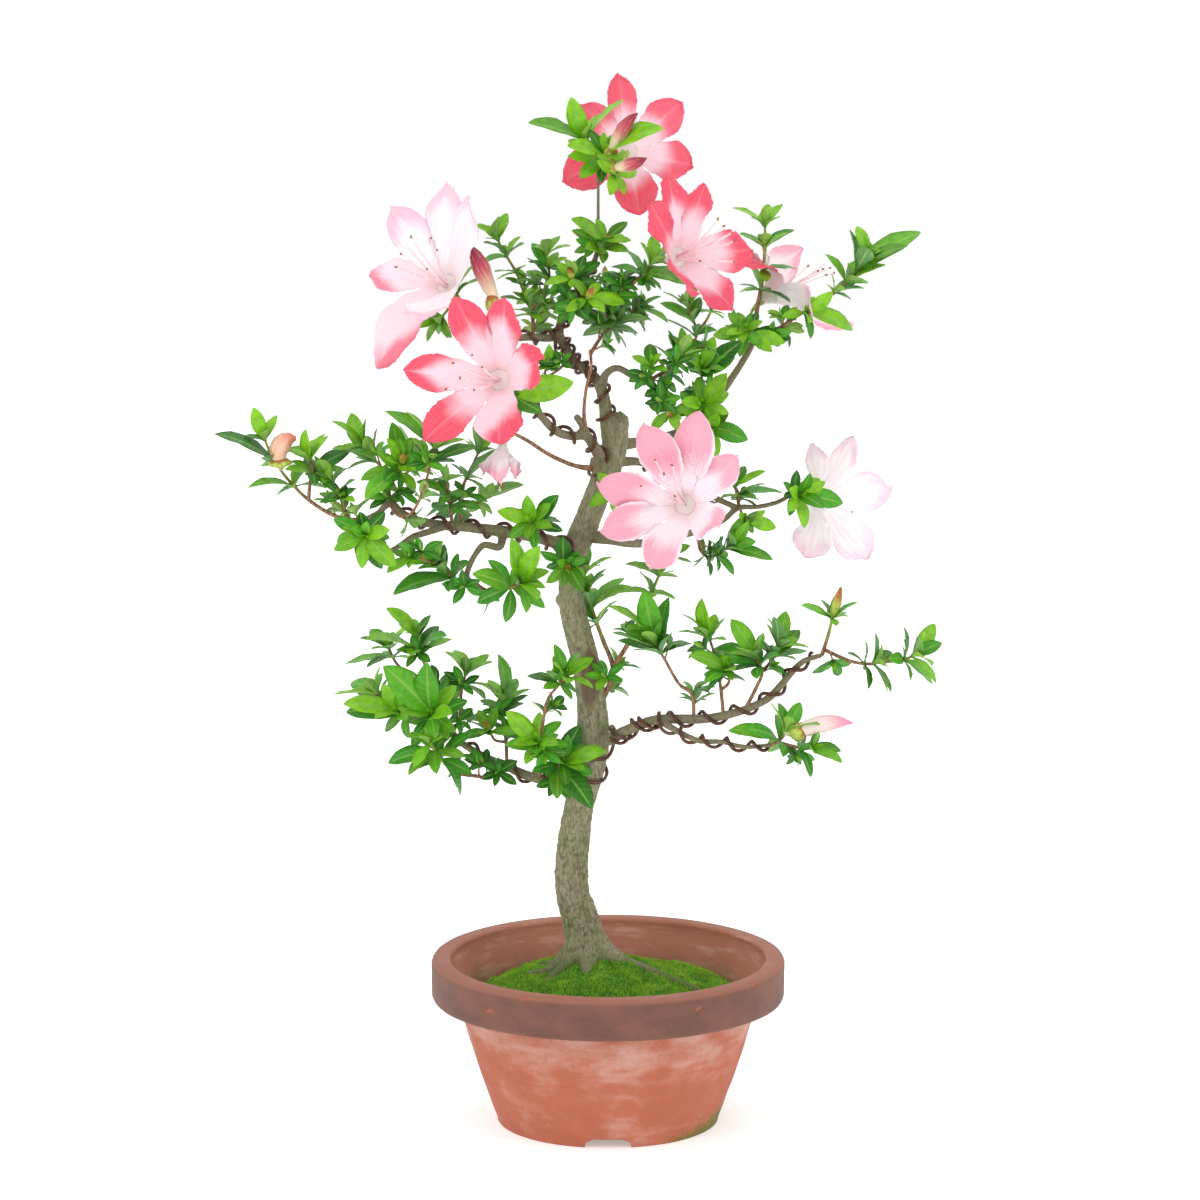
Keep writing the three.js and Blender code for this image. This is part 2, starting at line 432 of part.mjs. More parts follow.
      stem: [[539, 750, -14], [543, 722, -20], [548, 699, -23], [558, 686, -25], [566, 676, -27]],
      tips: [[527, 676, -18], [577, 694, -14], [611, 695, -38], [553, 656, -22], [601, 653, -20],
        [588, 647, -34]] },
  ] },
  lower_left_trunk: { on: "lower_left", fan: 1.5, shoots: [
    { radii: [1.6, 0.9], spread: 9, bud: 0,
      stem: [[557, 779, -8], [554, 772, -15], [558, 765, -21], [563, 761, -24]],
      tips: [[601, 776, -14], [557, 799, -34], [516, 776, -34], [580, 725, -14], [567, 791, -42],
        [592, 809, -34], [600, 734, -26], [607, 752, -36], [568, 738, -36]] },
  ] },
  middle_left_tip: { on: "middle_left", fan: 2, shoots: [
    { radii: [1.7, 0.8], spread: 48, bud: 0,
      stem: [[364, 520, -28], [345, 519, -26], [325, 511, -24], [305, 497, -22], [293, 485, -22],
        [282, 472, -22], [272, 456, -22], [264, 438, -22]],
      tips: [[325, 488, -12], [302, 461, -10], [248, 488, -30], [260, 466, -12], [214, 434, -26],
        [287, 435, -12], [241, 404, -26], [277, 415, -14], [262, 420, -10]] },
    { radii: [1.3, 0.8], spread: 13, bud: 0,
      stem: [[309, 499, -22], [310, 483, -24], [313, 470, -25], [309, 458, -25]],
      tips: [[345, 500, -34], [285, 470, -34], [355, 473, -30], [290, 440, -12], [350, 450, -14],
        [320, 438, -8], [340, 421, -30], [302, 433, -32]] },
    { radii: [1.2, 0.8], spread: 12, bud: 6,
      stem: [[349, 519, -26], [341, 500, -24], [338, 488, -24], [331, 480, -24]],
      tips: [[325, 504, -36], [352, 489, -14], [303, 475, -24], [347, 462, -14], [318, 460, -34],
        [355, 480, -32]] },
  ] },
  middle_left_front: { on: "middle_left", fan: 2, shoots: [
    { radii: [1.4, 0.9], spread: 9, bud: 0,
      stem: [[374, 517, -29], [366, 527, -40], [364, 536, -50]],
      tips: [[330, 545, -32], [310, 523, -44], [390, 530, -60], [315, 559, -56], [352, 506, -56],
        [369, 563, -60], [396, 567, -58], [341, 560, -70], [382, 569, -46], [385, 512, -36]] },
  ] },
  middle_left_knob: { on: "middle_left", fan: 2, shoots: [
    { radii: [1.4, 0.9], spread: 12, bud: 0,
      stem: [[388, 498, -28], [388, 483, -25], [382, 468, -22], [371, 457, -20], [364, 451, -20]],
      tips: [[323, 448, -26], [333, 440, -8], [351, 413, -8], [331, 421, -24], [378, 419, -10],
        [360, 420, -34], [347, 470, -24]] },
    { radii: [1.4, 0.9], spread: 12, bud: 10,
      stem: [[388, 483, -25], [397, 474, -32], [401, 463, -36]],
      tips: [[384, 482, -50], [352, 480, -36], [365, 499, -46], [428, 470, -42], [383, 432, -44],
        [392, 422, -26], [412, 437, -30]] },
    { radii: [1.2, 0.8], spread: 10, bud: 0,
      stem: [[388, 483, -25], [405, 474, -20], [416, 464, -15]],
      tips: [[436, 475, -6], [398, 425, -10], [443, 458, -16], [430, 440, -4], [417, 430, -18],
        [395, 448, 0]] },
    { radii: [1.2, 0.8], spread: 14, bud: 0,
      stem: [[388, 498, -28], [393, 510, -37], [403, 517, -40], [414, 510, -41], [424, 488, -41],
        [431, 462, -41], [436, 446, -41]],
      tips: [[455, 462, -52], [478, 447, -36], [412, 438, -50], [385, 411, -30], [405, 411, -42],
        [450, 428, -32]] },
  ] },
  middle_left_leader: { on: "middle_left", fan: 2, shoots: [
    { radii: [1.3, 0.8], spread: 34, bud: 0,
      stem: [[453, 519, -23], [450, 505, -26], [448, 490, -28], [446, 478, -28]],
      tips: [[500, 511, -34], [425, 518, -18], [432, 508, -40], [470, 497, -20], [408, 479, -30],
        [436, 479, -14], [459, 476, -18], [442, 466, -36]] },
  ] },
  middle_left_pair: { on: "middle_left", fan: 2, shoots: [
    { radii: [1.3, 0.8], spread: 32, bud: 0,
      stem: [[462, 521, -19], [460, 500, -16], [465, 481, -14], [474, 462, -12], [479, 451, -11]],
      tips: [[487, 495, -22], [459, 465, -24], [503, 448, -22], [463, 440, -4], [487, 430, 0],
        [473, 426, -16]] },
    { radii: [1.1, 0.8], spread: 8, bud: 0,
      stem: [[460, 500, -16], [470, 505, -12], [480, 502, -8]],
      tips: [[524, 485, -2], [466, 512, 2], [492, 514, -16], [494, 483, -12]] },
  ] },
  middle_left_low: { on: "middle_left_curl", fan: 1.8, shoots: [
    { radii: [1.2, 0.8], spread: 26, bud: 0,
      stem: [[472, 587, -33], [462, 585, -35], [452, 577, -37], [443, 566, -39], [436, 560, -41]],
      tips: [[393, 595, -46], [470, 562, -46], [458, 553, -30], [446, 550, -44], [411, 569, -50],
        [402, 561, -36], [427, 544, -34], [443, 541, -50]] },
    { radii: [1.1, 0.8], spread: 6, bud: 0,
      stem: [[443, 566, -39], [425, 560, -45], [412, 556, -50]],
      tips: [[387, 573, -58], [412, 538, -44], [400, 548, -60]] },
  ] },
  middle_left_curl_end: { on: "middle_left_curl", fan: 2, shoots: [
    { radii: [1.4, 0.9], spread: 11, bud: 0,
      stem: [[480, 586, -35], [488, 591, -38], [501, 590, -42], [513, 587, -45], [520, 582, -47]],
      tips: [[484, 600, -32], [545, 608, -46], [479, 626, -60], [526, 613, -60], [472, 574, -56],
        [557, 568, -44], [488, 560, -38], [540, 546, -54], [511, 538, -50], [537, 600, -68]] },
  ] },
  middle_left_near: { on: "middle_left", fan: 2, shoots: [
    { radii: [1.3, 0.9], spread: 9, bud: 0,
      stem: [[540, 531, -18], [536, 528, -26], [532, 522, -32]],
      tips: [[563, 531, -28], [502, 533, -46], [497, 511, -34], [545, 505, -18], [559, 495, -34],
        [526, 488, -42]] },
  ] },
  trunk_front: { on: "middle_left", fan: 1.3, shoots: [
    { radii: [1.3, 0.9], spread: 8, bud: 6,
      stem: [[561, 556, -19], [564, 561, -24], [567, 565, -28]],
      tips: [[541, 546, -26], [546, 583, -34], [586, 577, -26], [583, 592, -40], [563, 536, -36],
        [590, 561, -24]] },
  ] },
  trunk_right: { on: "trunk", fan: 1.3, shoots: [
    { radii: [1.2, 0.9], spread: 7, bud: 0,
      stem: [[617, 478, -13], [618, 486, -24], [616, 490, -34]],
      tips: [[572, 516, -44], [597, 473, -40], [632, 478, -30], [640, 503, -38]] },
  ] },
};

// Blooms: stalk and tube base, middle of the throat, end of the stamens and tip of each lobe.
const BLOOMS = {
  apex: { on: "apex", stalk: [[598, 173, 6], [607, 167, 11], [624, 155, 17]],
    throat: [628, 150, 34], anthers: [634, 140, 50],
    lobes: [[618, 73, 40], [681, 102, 44], [692, 165, 46], [639, 215, 40], [562, 181, 36],
      [580, 104, 38]] },
  upper_right: { on: "top_front", stalk: [[656, 262, -8], [659, 262, -9], [663, 261, -10]],
    throat: [684, 255, -24], anthers: [735, 240, -50],
    lobes: [[752, 250, -8], [705, 184, -22], [668, 177, -38], [650, 204, -56], [688, 285, -56],
      [733, 310, -30]] },
  right_back: { on: "right_crown", stalk: [[749, 322, 42], [751, 314, 44], [757, 304, 47]],
    throat: [775, 291, 54], anthers: [822, 270, 80],
    lobes: [[744, 262, 30], [768, 238, 72], [803, 248, 96], [852, 327, 84], [812, 316, 26]] },
  upper_left: { on: "upper_left", stalk: [[463, 301, -4], [459, 298, -4], [455, 294, -4]],
    throat: [443, 279, -18], anthers: [412, 258, -50],
    lobes: [[468, 198, -40], [446, 183, 0], [391, 207, 6], [370, 277, -6], [379, 369, -26],
      [416, 314, -64]] },
  left_front: { on: "left_lower", stalk: [[522, 394, -30], [513, 384, -35], [506, 381, -41]],
    throat: [496, 379, -62], anthers: [462, 376, -96],
    lobes: [[455, 297, -70], [505, 299, -82], [539, 360, -88], [500, 444, -80], [424, 441, -64],
      [403, 370, -58]] },
  centre_front: { on: "mid_right_upper", stalk: [[691, 487, -1], [690, 495, -20], [688, 502, -42]],
    throat: [684, 506, -66], anthers: [668, 488, -96],
    lobes: [[645, 424, -82], [700, 411, -78], [738, 457, -76], [716, 527, -80], [650, 567, -90],
      [601, 530, -86], [599, 483, -84]] },
  right_pale: { on: "mid_right_tip", stalk: [[797, 495, 3], [803, 498, 10], [811, 500, 18]],
    throat: [824, 501, 42], anthers: [846, 508, 66],
    lobes: [[812, 443, 52], [853, 436, 54], [889, 487, 56], [869, 557, 52], [806, 558, 46]] },
  nodding: { on: "long_twig", stalk: [[508, 432, -31], [505, 437, -31], [503, 442, -31]],
    throat: [502, 454, -32], anthers: [500, 485, -32],
    lobes: [[484, 475, -36], [498, 482, -44], [514, 478, -38], [516, 474, -26], [491, 475, -22]] },
};

// Large buds: points along the middle, with radii in mm.
const BUDS = {
  bud_upper_left: { on: "upper_left", radii: [1, 1.1, 2.4, 4, 5.2, 3.6, 0.4],
    line: [[494, 331, -9], [497, 314, -12], [495, 300, -12], [489, 287, -12], [481, 268, -14],
      [475, 255, -16], [469, 244, -17]] },
  buds_apex_a: { on: "apex", radii: [1.2, 1.4, 2.6, 3.6, 4, 2.6, 0.3],
    line: [[604, 164, -2], [609, 160, -8], [612, 151, -10], [617, 140, -13], [624, 128, -16],
      [631, 119, -18], [638, 113, -20]] },
  buds_apex_b: { on: "apex", radii: [1.2, 1.4, 2.6, 3.6, 3.9, 2.6, 0.3],
    line: [[606, 168, -2], [611, 168, -9], [617, 167, -13], [624, 166, -16], [632, 164, -19],
      [640, 161, -21], [647, 158, -22]] },
  bud_lower_right: { on: "lower_right_lower", radii: [1.2, 1.6, 3, 4.6, 5, 3.6, 0.4],
    line: [[787, 734, -49], [791, 734, -52], [797, 732, -53], [808, 728, -54], [822, 724, -55],
      [838, 722, -56], [853, 723, -57]] },
  bud_withered: { on: "middle_left_tip", radii: [1.2, 2, 4.2, 5.6, 5.6, 4.2, 1.2],
    line: [[280, 470, -22], [281, 466, -26], [279, 458, -27], [279, 450, -27], [283, 443, -27],
      [289, 439, -27], [296, 438, -27]] },
};

// ---- Points in space ----

// The point seen at a column and row, at this depth, and the size of one column there.
function seen(column, row, depth) {
  const across = column - EYE_CENTRE;
  const up = EYE_CENTRE - row;
  const forward = EYE_FOCUS * Math.cos(EYE_PITCH) + up * Math.sin(EYE_PITCH);
  const rise = up * Math.cos(EYE_PITCH) - EYE_FOCUS * Math.sin(EYE_PITCH);
  const scale = (depth - EYE.y) / forward;
  const at = new THREE.Vector3(EYE.x + scale * across, depth, EYE.z + scale * rise);
  return { at, scale, view: [column, row] };
}

// A limb's axis: points with their radii.
function limbLine(name) {
  const reach = name === "trunk" || name === "leader" || name in ROOTS ? 1 : BRANCH_REACH;
  return (LIMBS[name] ?? ROOTS[name]).map(([column, row, width, depth]) => {
    const point = seen(column, row, depth * reach);
    return { ...point, r: 0.5 * width * point.scale };
  });
}

// The point of these lines that is seen nearest to a column and row.
function footOn(lines, column, row) {
  let foot = null;
  for (const line of lines) {
    for (let i = 0; i + 1 < line.length; i++) {
      const [a, b] = [line[i], line[i + 1]];
      const run = [b.view[0] - a.view[0], b.view[1] - a.view[1]];
      const off = [column - a.view[0], row - a.view[1]];
      const along = (off[0] * run[0] + off[1] * run[1]) / (run[0] ** 2 + run[1] ** 2);
      const share = THREE.MathUtils.clamp(along, 0, 1);
      const away = Math.hypot(off[0] - share * run[0], off[1] - share * run[1]);
      if (foot && away >= foot.away) continue;
      const view = [a.view[0] + share * run[0], a.view[1] + share * run[1]];
      foot = { away, at: a.at.clone().lerp(b.at, share), view, carrierRadius: a.r + share * (b.r - a.r) };
    }
  }
  return foot;
}

// A stem that starts on one of these lines. Its depths are counted from that of its carrier.
function stemLine(lines, listed, radii, depthOf) {
  return listed.map(([column, row, depth], i) => {
    const r = radii.length > 2 ? radii[i] : radii[0] + ((radii[1] - radii[0]) * i) / (listed.length - 1);
    if (i === 0) return { ...footOn(lines, column, row), r };
    return { ...seen(column, row, depthOf(depth)), r };
  });
}

// A repeatable number from 0 to 1.
function draw(a, b, c) {
  const wide = Math.sin(a * 12.9898 + b * 78.233 + c * 37.719) * 43758.5453;
  return wide - Math.floor(wide);
}

// ---- Solids ----

// A closed solid from its corner points and triangles, turned to face out.
function closed(points, triangles) {
  const make = (faces) =>
    new Manifold(
      new Mesh({
        numProp: 3,
        vertProperties: new Float32Array(points.flatMap((p) => p.toArray())),
        triVerts: new Uint32Array(faces.flat()),
      }),
    );
  const solid = make(triangles);
  return solid.volume() >= 0 ? solid : make(triangles.map(([a, b, c]) => [a, c, b]));
}

// The largest of a solid's separate bodies, without the slivers that cuts leave.
function largest(solid) {
  const bodies = solid.simplify(SLIVER).decompose();
  return bodies.reduce((most, body) => (body.volume() > most.volume() ? body : most));
}

// A profile of [radius, height] points turned about the vertical axis. The profile doesn't close on itself.
function turned(profile, sides) {
  const points = [];
  const triangles = [];
  for (const [r, z] of profile) {
    for (let j = 0; j < sides; j++) {
      const angle = (2 * Math.PI * j) / sides;
      points.push(new THREE.Vector3(r * Math.cos(angle), r * Math.sin(angle), z));
    }
  }
  const count = profile.length;
  for (let i = 0; i < count; i++) {
    const next = (i + 1) % count;
    for (let j = 0; j < sides; j++) {
      const k = (j + 1) % sides;
      const [a, b, c, d] = [i * sides + j, i * sides + k, next * sides + k, next * sides + j];
      triangles.push([a, b, c], [a, c, d]);
    }
  }
  return closed(points, triangles);
}

// Directions along a line of points and square to it, carried along without twisting.
function frames(line) {
  const last = line.length - 1;
  let side = new THREE.Vector3(1, 0, 0);
  return line.map((_, i) => {
    const ahead = line[Math.min(i + 1, last)].at;
    const along = ahead.clone().sub(line[Math.max(i - 1, 0)].at).normalize();
    if (i === 0 && Math.abs(along.x) > 0.8) side.set(0, 1, 0);
    side = side.clone().addScaledVector(along, -side.dot(along)).normalize();
    return { along, side, cross: along.clone().cross(side) };
  });
}

// A round tube through points with radii. Grown, it keeps its flats that far outside the plain one.
function tube(line, sides, grow = 0, flute = 0) {
  const points = [];
  const triangles = [];
  const last = line.length - 1;
  const corner = (i, j) => i * sides + (j % sides);
  frames(line).forEach(({ along, side, cross }, i) => {
    const lengthen = i === 0 ? -grow : i === last ? grow : 0;
    const centre = line[i].at.clone().addScaledVector(along, lengthen);
    for (let j = 0; j < sides; j++) {
      const angle = (2 * Math.PI * (j + 0.5)) / sides;
      const swell = 1 + flute * Math.sin(3 * angle + 0.5 * i) + 0.6 * flute * Math.sin(5 * angle - 0.9 * i);
      const r = line[i].r * swell + grow / Math.cos(Math.PI / sides);
      const place = centre.clone().addScaledVector(side, Math.cos(angle) * r);
      points.push(place.addScaledVector(cross, Math.sin(angle) * r));
    }
  });
  for (let i = 0; i < last; i++) {
    for (let j = 0; j < sides; j++) {
      triangles.push([corner(i, j), corner(i, j + 1), corner(i + 1, j + 1)]);
      triangles.push([corner(i, j), corner(i + 1, j + 1), corner(i + 1, j)]);
    }
  }
  for (let j = 1; j + 1 < sides; j++) {
    triangles.push([corner(0, 0), corner(0, j + 1), corner(0, j)]);
    triangles.push([corner(last, 0), corner(last, j), corner(last, j + 1)]);
  }
  return closed(points, triangles);
}

// ---- Pot, soil and moss ----

const INNER_WALL = [
  [RIM_RADIUS - 9, POT_HEIGHT],
  [RIM_RADIUS - 11.4, POT_HEIGHT - 3.5],
  [RIM_RADIUS - 22.9, SOIL_EDGE],
  [FOOT_RADIUS - 2, FLOOR_TOP],
];

function makePot() {
  const band = POT_HEIGHT - RIM_BAND;
  const body = turned(
    [
      [FOOT_RADIUS, 0],
      [BODY_RADIUS, band - 2.3],
      [RIM_RADIUS - 2.4, band],
      [RIM_RADIUS, band + 3],
      [RIM_RADIUS, POT_HEIGHT - 3],
      [RIM_RADIUS - 3.4, POT_HEIGHT],
      ...INNER_WALL,
      [DRAIN_RADIUS, FLOOR_TOP],
      [DRAIN_RADIUS, FOOT_HEIGHT],
      [FOOT_RADIUS - FOOT_RING, FOOT_HEIGHT],
      [FOOT_RADIUS - FOOT_RING, 0],
    ],
    POT_SIDES,
  );
  const notches = [-90, 30, 150].map((angle) =>
    Manifold.cube([3 * FOOT_RING, NOTCH_WIDTH, 2 * NOTCH_HEIGHT], true)
      .translate([FOOT_RADIUS, 0, 0])
      .rotate([0, 0, angle]),
  );
  return notches.reduce((pot, notch) => pot.subtract(notch), body);
}

const domeAt = (r) => SOIL_EDGE + SOIL_DOME * (1 - (r / SOIL_RADIUS) ** 2);

// Radius of the inner wall at a height below the moss.
function wallAt(z) {
  const [upper, lower] = INNER_WALL.slice(2);
  return lower[0] + ((upper[0] - lower[0]) * (z - lower[1])) / (upper[1] - lower[1]);
}

// A disc over the dome with corners at these radii. Its upper and lower heights go by radius and angle.
function bed(radii, upper, lower) {
  const points = [];
  const triangles = [];
  const layer = (height, flip) => {
    const first = points.length;
    points.push(new THREE.Vector3(0, 0, height(0, 0)));
    for (const r of radii) {
      for (let j = 0; j < BED_SECTORS; j++) {
        const angle = (2 * Math.PI * j) / BED_SECTORS;
        points.push(new THREE.Vector3(r * Math.cos(angle), r * Math.sin(angle), height(r, angle)));
      }
    }
    const at = (i, j) => first + 1 + i * BED_SECTORS + (j % BED_SECTORS);
    const add = (a, b, c) => triangles.push(flip ? [a, c, b] : [a, b, c]);
    for (let j = 0; j < BED_SECTORS; j++) {
      add(first, at(0, j), at(0, j + 1));
      for (let i = 0; i + 1 < radii.length; i++) {
        add(at(i, j), at(i + 1, j), at(i + 1, j + 1));
        add(at(i, j), at(i + 1, j + 1), at(i, j + 1));
      }
    }
    return (j) => at(radii.length - 1, j);
  };
  const top = layer(upper, false);
  const under = layer(lower, true);
  for (let j = 0; j < BED_SECTORS; j++) {
    triangles.push([top(j), under(j), under(j + 1)], [top(j), under(j + 1), top(j + 1)]);
  }
  return closed(points, triangles);
}

// The filling follows the wall down to the pot's floor.
function makeSoil() {
  const floor = FLOOR_TOP + GAP;
  const foot = wallAt(floor) - 2 * GAP;
  const lean = (wallAt(SOIL_EDGE) - wallAt(floor)) / (SOIL_EDGE - floor);
  const height = SOIL_EDGE + SOIL_DOME - floor;
  const cone = Manifold.cylinder(height, foot, foot + lean * height, BED_SECTORS);
  const dome = bed([BED_RING, RIM_RADIUS], domeAt, () => 0);
  return cone.rotate([0, 0, 180 / BED_SECTORS]).translate([0, 0, floor]).intersect(dome);
}

function makeMoss() {
  const under = (r) => domeAt(r) + GAP;
  const fade = (r) => THREE.MathUtils.smoothstep(MOSS_RADIUS - r, 0, 12);
  const mound = (r) => MOSS_MOUND * Math.exp(-((r / MOSS_MOUND_RADIUS) ** 2));
  const bump = (r, angle) =>
    MOSS_BUMP * (Math.sin(0.21 * r + 3 * angle) + 0.7 * Math.sin(5 * angle - 0.13 * r));
  const depth = (r, angle) => (MOSS_DEPTH - MOSS_EDGE + bump(r, angle)) * fade(r) + MOSS_EDGE + mound(r);
  return bed([0.5 * BED_RING, BED_RING, MOSS_RADIUS], (r, angle) => under(r) + depth(r, angle), under);
}

// ---- Wood ----

const limbs = {};
for (const name of Object.keys({ ...LIMBS, ...ROOTS })) limbs[name] = limbLine(name);

function limbSolid(name, grow = 0) {
  if (name === "trunk") return tube(limbs.trunk, TRUNK_SIDES, grow, TRUNK_FLUTE);
  return tube(limbs[name], name === "leader" ? LEADER_SIDES : LIMB_SIDES, grow);
}

const wood = Manifold.union(Object.keys(limbs).map((name) => limbSolid(name))).simplify(SLIVER);
const clearOfWood = Manifold.union(Object.keys(limbs).map((name) => limbSolid(name, GAP + 0.05)));

// ---- Stems of the leafy sprays ----

// A line without its first stretch.
function beyond(line, far) {
  let left = far;
  for (let i = 1; i < line.length; i++) {
    const [a, b] = [line[i - 1], line[i]];
    const length = a.at.distanceTo(b.at);
    if (left < length || i + 1 === line.length) {
      const share = Math.min(left / length, 0.9);
      const view = a.view.map((value, axis) => value + share * (b.view[axis] - value));
      return [{ at: a.at.clone().lerp(b.at, share), r: a.r, view }, ...line.slice(i)];
    }
    left -= length;
  }
  return line;
}

// The first shoot of a spray starts on the limb, the others fork from it or from each other.
function sprayStems({ on, fan, shoots }) {
  let lines = [limbs[on]];
  const origin = footOn(lines, ...shoots[0].stem[0]).at.y;
  const depthOf = (depth) => origin + fan * (depth - shoots[0].stem[0][2]);
  return shoots.map((shoot) => {
    const line = stemLine(lines, shoot.stem, shoot.radii, depthOf);
    if (lines[0] === limbs[on]) lines = [beyond(line, line[0].carrierRadius + FORK_CLEAR)];
    else lines.push(line);
    const end = shoot.stem.at(-1)[2];
    const tips = shoot.tips.map(
      ([column, row, depth]) => seen(column, row, depthOf(end) + LEAF_REACH * (depth - end)).at,
    );
    return { ...shoot, line, tips };
  });
}

// ---- Leafy shoots ----

function lineLength(line) {
  return line.slice(1).reduce((sum, { at }, i) => sum + at.distanceTo(line[i].at), 0);
}

// The place, direction and radius of a line at a distance back from its end.
function backOn(line, back) {
  let left = back;
  for (let i = line.length - 1; ; i--) {
    const length = line[i].at.distanceTo(line[i - 1].at);
    if (left > length && i > 1) {
      left -= length;
      continue;
    }
    const at = line[i].at.clone().lerp(line[i - 1].at, Math.min(left / length, 1));
    const along = line[i].at.clone().sub(line[i - 1].at).normalize();
    return { at, along, r: line[i].r };
  }
}

// The rings of a shoot from its foot: one at each point of the stem below its leaves, two at each whorl,
// then its end.
function ringPlaces({ line, bud }, whorls) {
  const total = lineLength(line);
  const bare = total - Math.max(0, ...whorls.map(({ back }) => back + WHORL_HEIGHT));
  let s = 0;
  const plain = line.map((point, i) => {
    if (i > 0) s += point.at.distanceTo(line[i - 1].at);
    return { at: point.at, r: point.r, s };
  });
  const whorled = whorls.flatMap((whorl) =>
    [-0.5, 0.5].map((half) => {
      const { at, r } = backOn(line, whorl.back - half * WHORL_HEIGHT);
      return { at, r: r + WHORL_SWELL, whorl };
    }),
  );
  const rings = [...plain.filter((ring, i) => i === 0 || ring.s <= bare), ...whorled];
  const { at, along } = backOn(line, 0);
  if (bud > 0) rings.push({ at: at.clone().addScaledVector(along, 0.4 * bud), r: 0.9 + 0.07 * bud });
  rings.push({ at: at.clone().addScaledVector(along, bud || 1.2), r: 0 });
  return rings;
}

// The corners of a whorl's ring by angle. Each corner names the leaf that grows between it and the next.
function whorlCorners(leaves, { side, cross }, centre) {
  const around = leaves.map((leaf) => {
    const off = leaf.tip.clone().sub(centre);
    return { leaf, angle: Math.atan2(off.dot(cross), off.dot(side)) };
  });
  around.sort((a, b) => a.angle - b.angle);
  const corners = [];
  around.forEach(({ angle }, k) => {
    const next = around[(k + 1) % around.length];
    const gap = (next.angle - angle + 2 * Math.PI) % (2 * Math.PI) || 2 * Math.PI;
    const offsets = [0.5 * gap];
    if (gap > 3 * WHORL_SECTOR) offsets.splice(0, 1, WHORL_SECTOR, gap - WHORL_SECTOR);
    if (gap > 5 * WHORL_SECTOR) offsets.splice(1, 0, 0.5 * gap);
    corners.push(...offsets.map((offset) => ({ angle: angle + offset, leaf: null })));
    corners.at(-1).leaf = next.leaf;
  });
  return corners;
}

const PLAIN_CORNERS = [60, 180, 300].map((angle) => ({ angle: angle * DEGREE, leaf: null }));

// Triangles between two rings of corners with different angles.
function bridge(lower, upper) {
  const turn = (angle) => (((angle - lower[0].angle) % (2 * Math.PI)) + 2 * Math.PI) % (2 * Math.PI);
  const steps = [
    ...lower.map((corner) => ({ corner, low: true, ahead: turn(corner.angle + 1e-9) })),
    ...upper.map((corner) => ({ corner, low: false, ahead: turn(corner.angle) })),
  ].sort((a, b) => a.ahead - b.ahead);
  let low = steps.findLast((step) => step.low).corner;
  let high = steps.findLast((step) => !step.low).corner;
  return steps.map((step) => {
    const face = [low.index, step.corner.index, high.index];
    if (step.low) low = step.corner;
    else high = step.corner;
    return face;
  });
}

// The corner points of a blade: its right and left edges, the top of its midrib, and its tip.
function bladePoints(base, tip, up) {
  const run = tip.clone().sub(base);
  const length = run.length();
  const side = up.clone().cross(run).normalize();
  const face = run.clone().cross(side).normalize();
  const half = 0.5 * BLADE_BREADTH * length;
  const at = (t, wide, lift = 0) =>
    base
      .clone()
      .addScaledVector(run, t)
      .addScaledVector(side, wide * half)
      .addScaledVector(face, BLADE_ARCH * length * 4 * t * (1 - t) + lift);
  const outline = (sign) => BLADE_STATIONS.map((t, i) => at(t, sign * BLADE_WIDTHS[i]));
  return { side, right: outline(1), left: outline(-1), upper: at(0.44, 0, BLADE_THICK), tip };
}

// One leaf by itself, from its seat on the stem's axis.
function blade(base, tip, up) {
  const { right, left, upper } = bladePoints(base, tip, up);
  const outline = [base, ...right, tip, left[1], left[0]];
  const above = outline.map((_, i) => [i, (i + 1) % outline.length, outline.length]);
  const below = [
    [0, 5, 1],
    [1, 5, 4],
    [1, 4, 2],
    [2, 4, 3],
  ];
  return closed([...outline, upper], [...above, ...below]);
}

// A leafy shoot in one skin: the stem's rings, and a leaf out of each side of a whorl's node that bears one.
function shootSkin(shoot, whorls) {
  const rings = ringPlaces(shoot, whorls);
  const directions = frames(rings);
  const points = [];
  const triangles = [];
  const put = (point) => points.push(point) - 1;
  const corners = new Map(whorls.map((whorl) => [whorl, null]));
  const loops = rings.map(({ at, r, whorl }, i) => {
    if (r === 0) return [{ index: put(at) }];
    const { side, cross } = directions[i];
    if (whorl && !corners.get(whorl)) corners.set(whorl, whorlCorners(whorl.leaves, directions[i], at));
    return (whorl ? corners.get(whorl) : PLAIN_CORNERS).map((corner) => {
      const place = at.clone().addScaledVector(side, Math.cos(corner.angle) * r);
      return { ...corner, index: put(place.addScaledVector(cross, Math.sin(corner.angle) * r)) };
    });
  });
  for (let j = 1; j + 1 < loops[0].length; j++) {
    triangles.push([loops[0][0].index, loops[0][j + 1].index, loops[0][j].index]);
  }
  for (let i = 0; i + 1 < loops.length; i++) {
    const [low, high] = [loops[i], loops[i + 1]];
    const { along } = directions[i];
    if (high.length === 1) {
      low.forEach(({ index }, j) => triangles.push([index, low[(j + 1) % low.length].index, high[0].index]));
    } else if (rings[i].whorl && rings[i].whorl === rings[i + 1].whorl) {
      low.forEach(({ index, leaf }, j) => {
        const next = (j + 1) % low.length;
        const around = [low[next].index, high[next].index, high[j].index, index];
        if (leaf) growLeaf(leaf, rings[i].at, along, around, points, triangles);
        else triangles.push([index, around[0], around[1]], [index, around[1], around[2]]);
      });
    } else triangles.push(...bridge(low, high));
  }
  return { points, triangles };
}

// Whether an edge goes through a face.
function pierces([from, to], [a, b, c]) {
  const ray = new THREE.Ray(from, to.clone().sub(from).normalize());
  const hit = ray.intersectTriangle(a, b, c, false, new THREE.Vector3());
  return hit !== null && hit.distanceTo(from) < from.distanceTo(to);
}

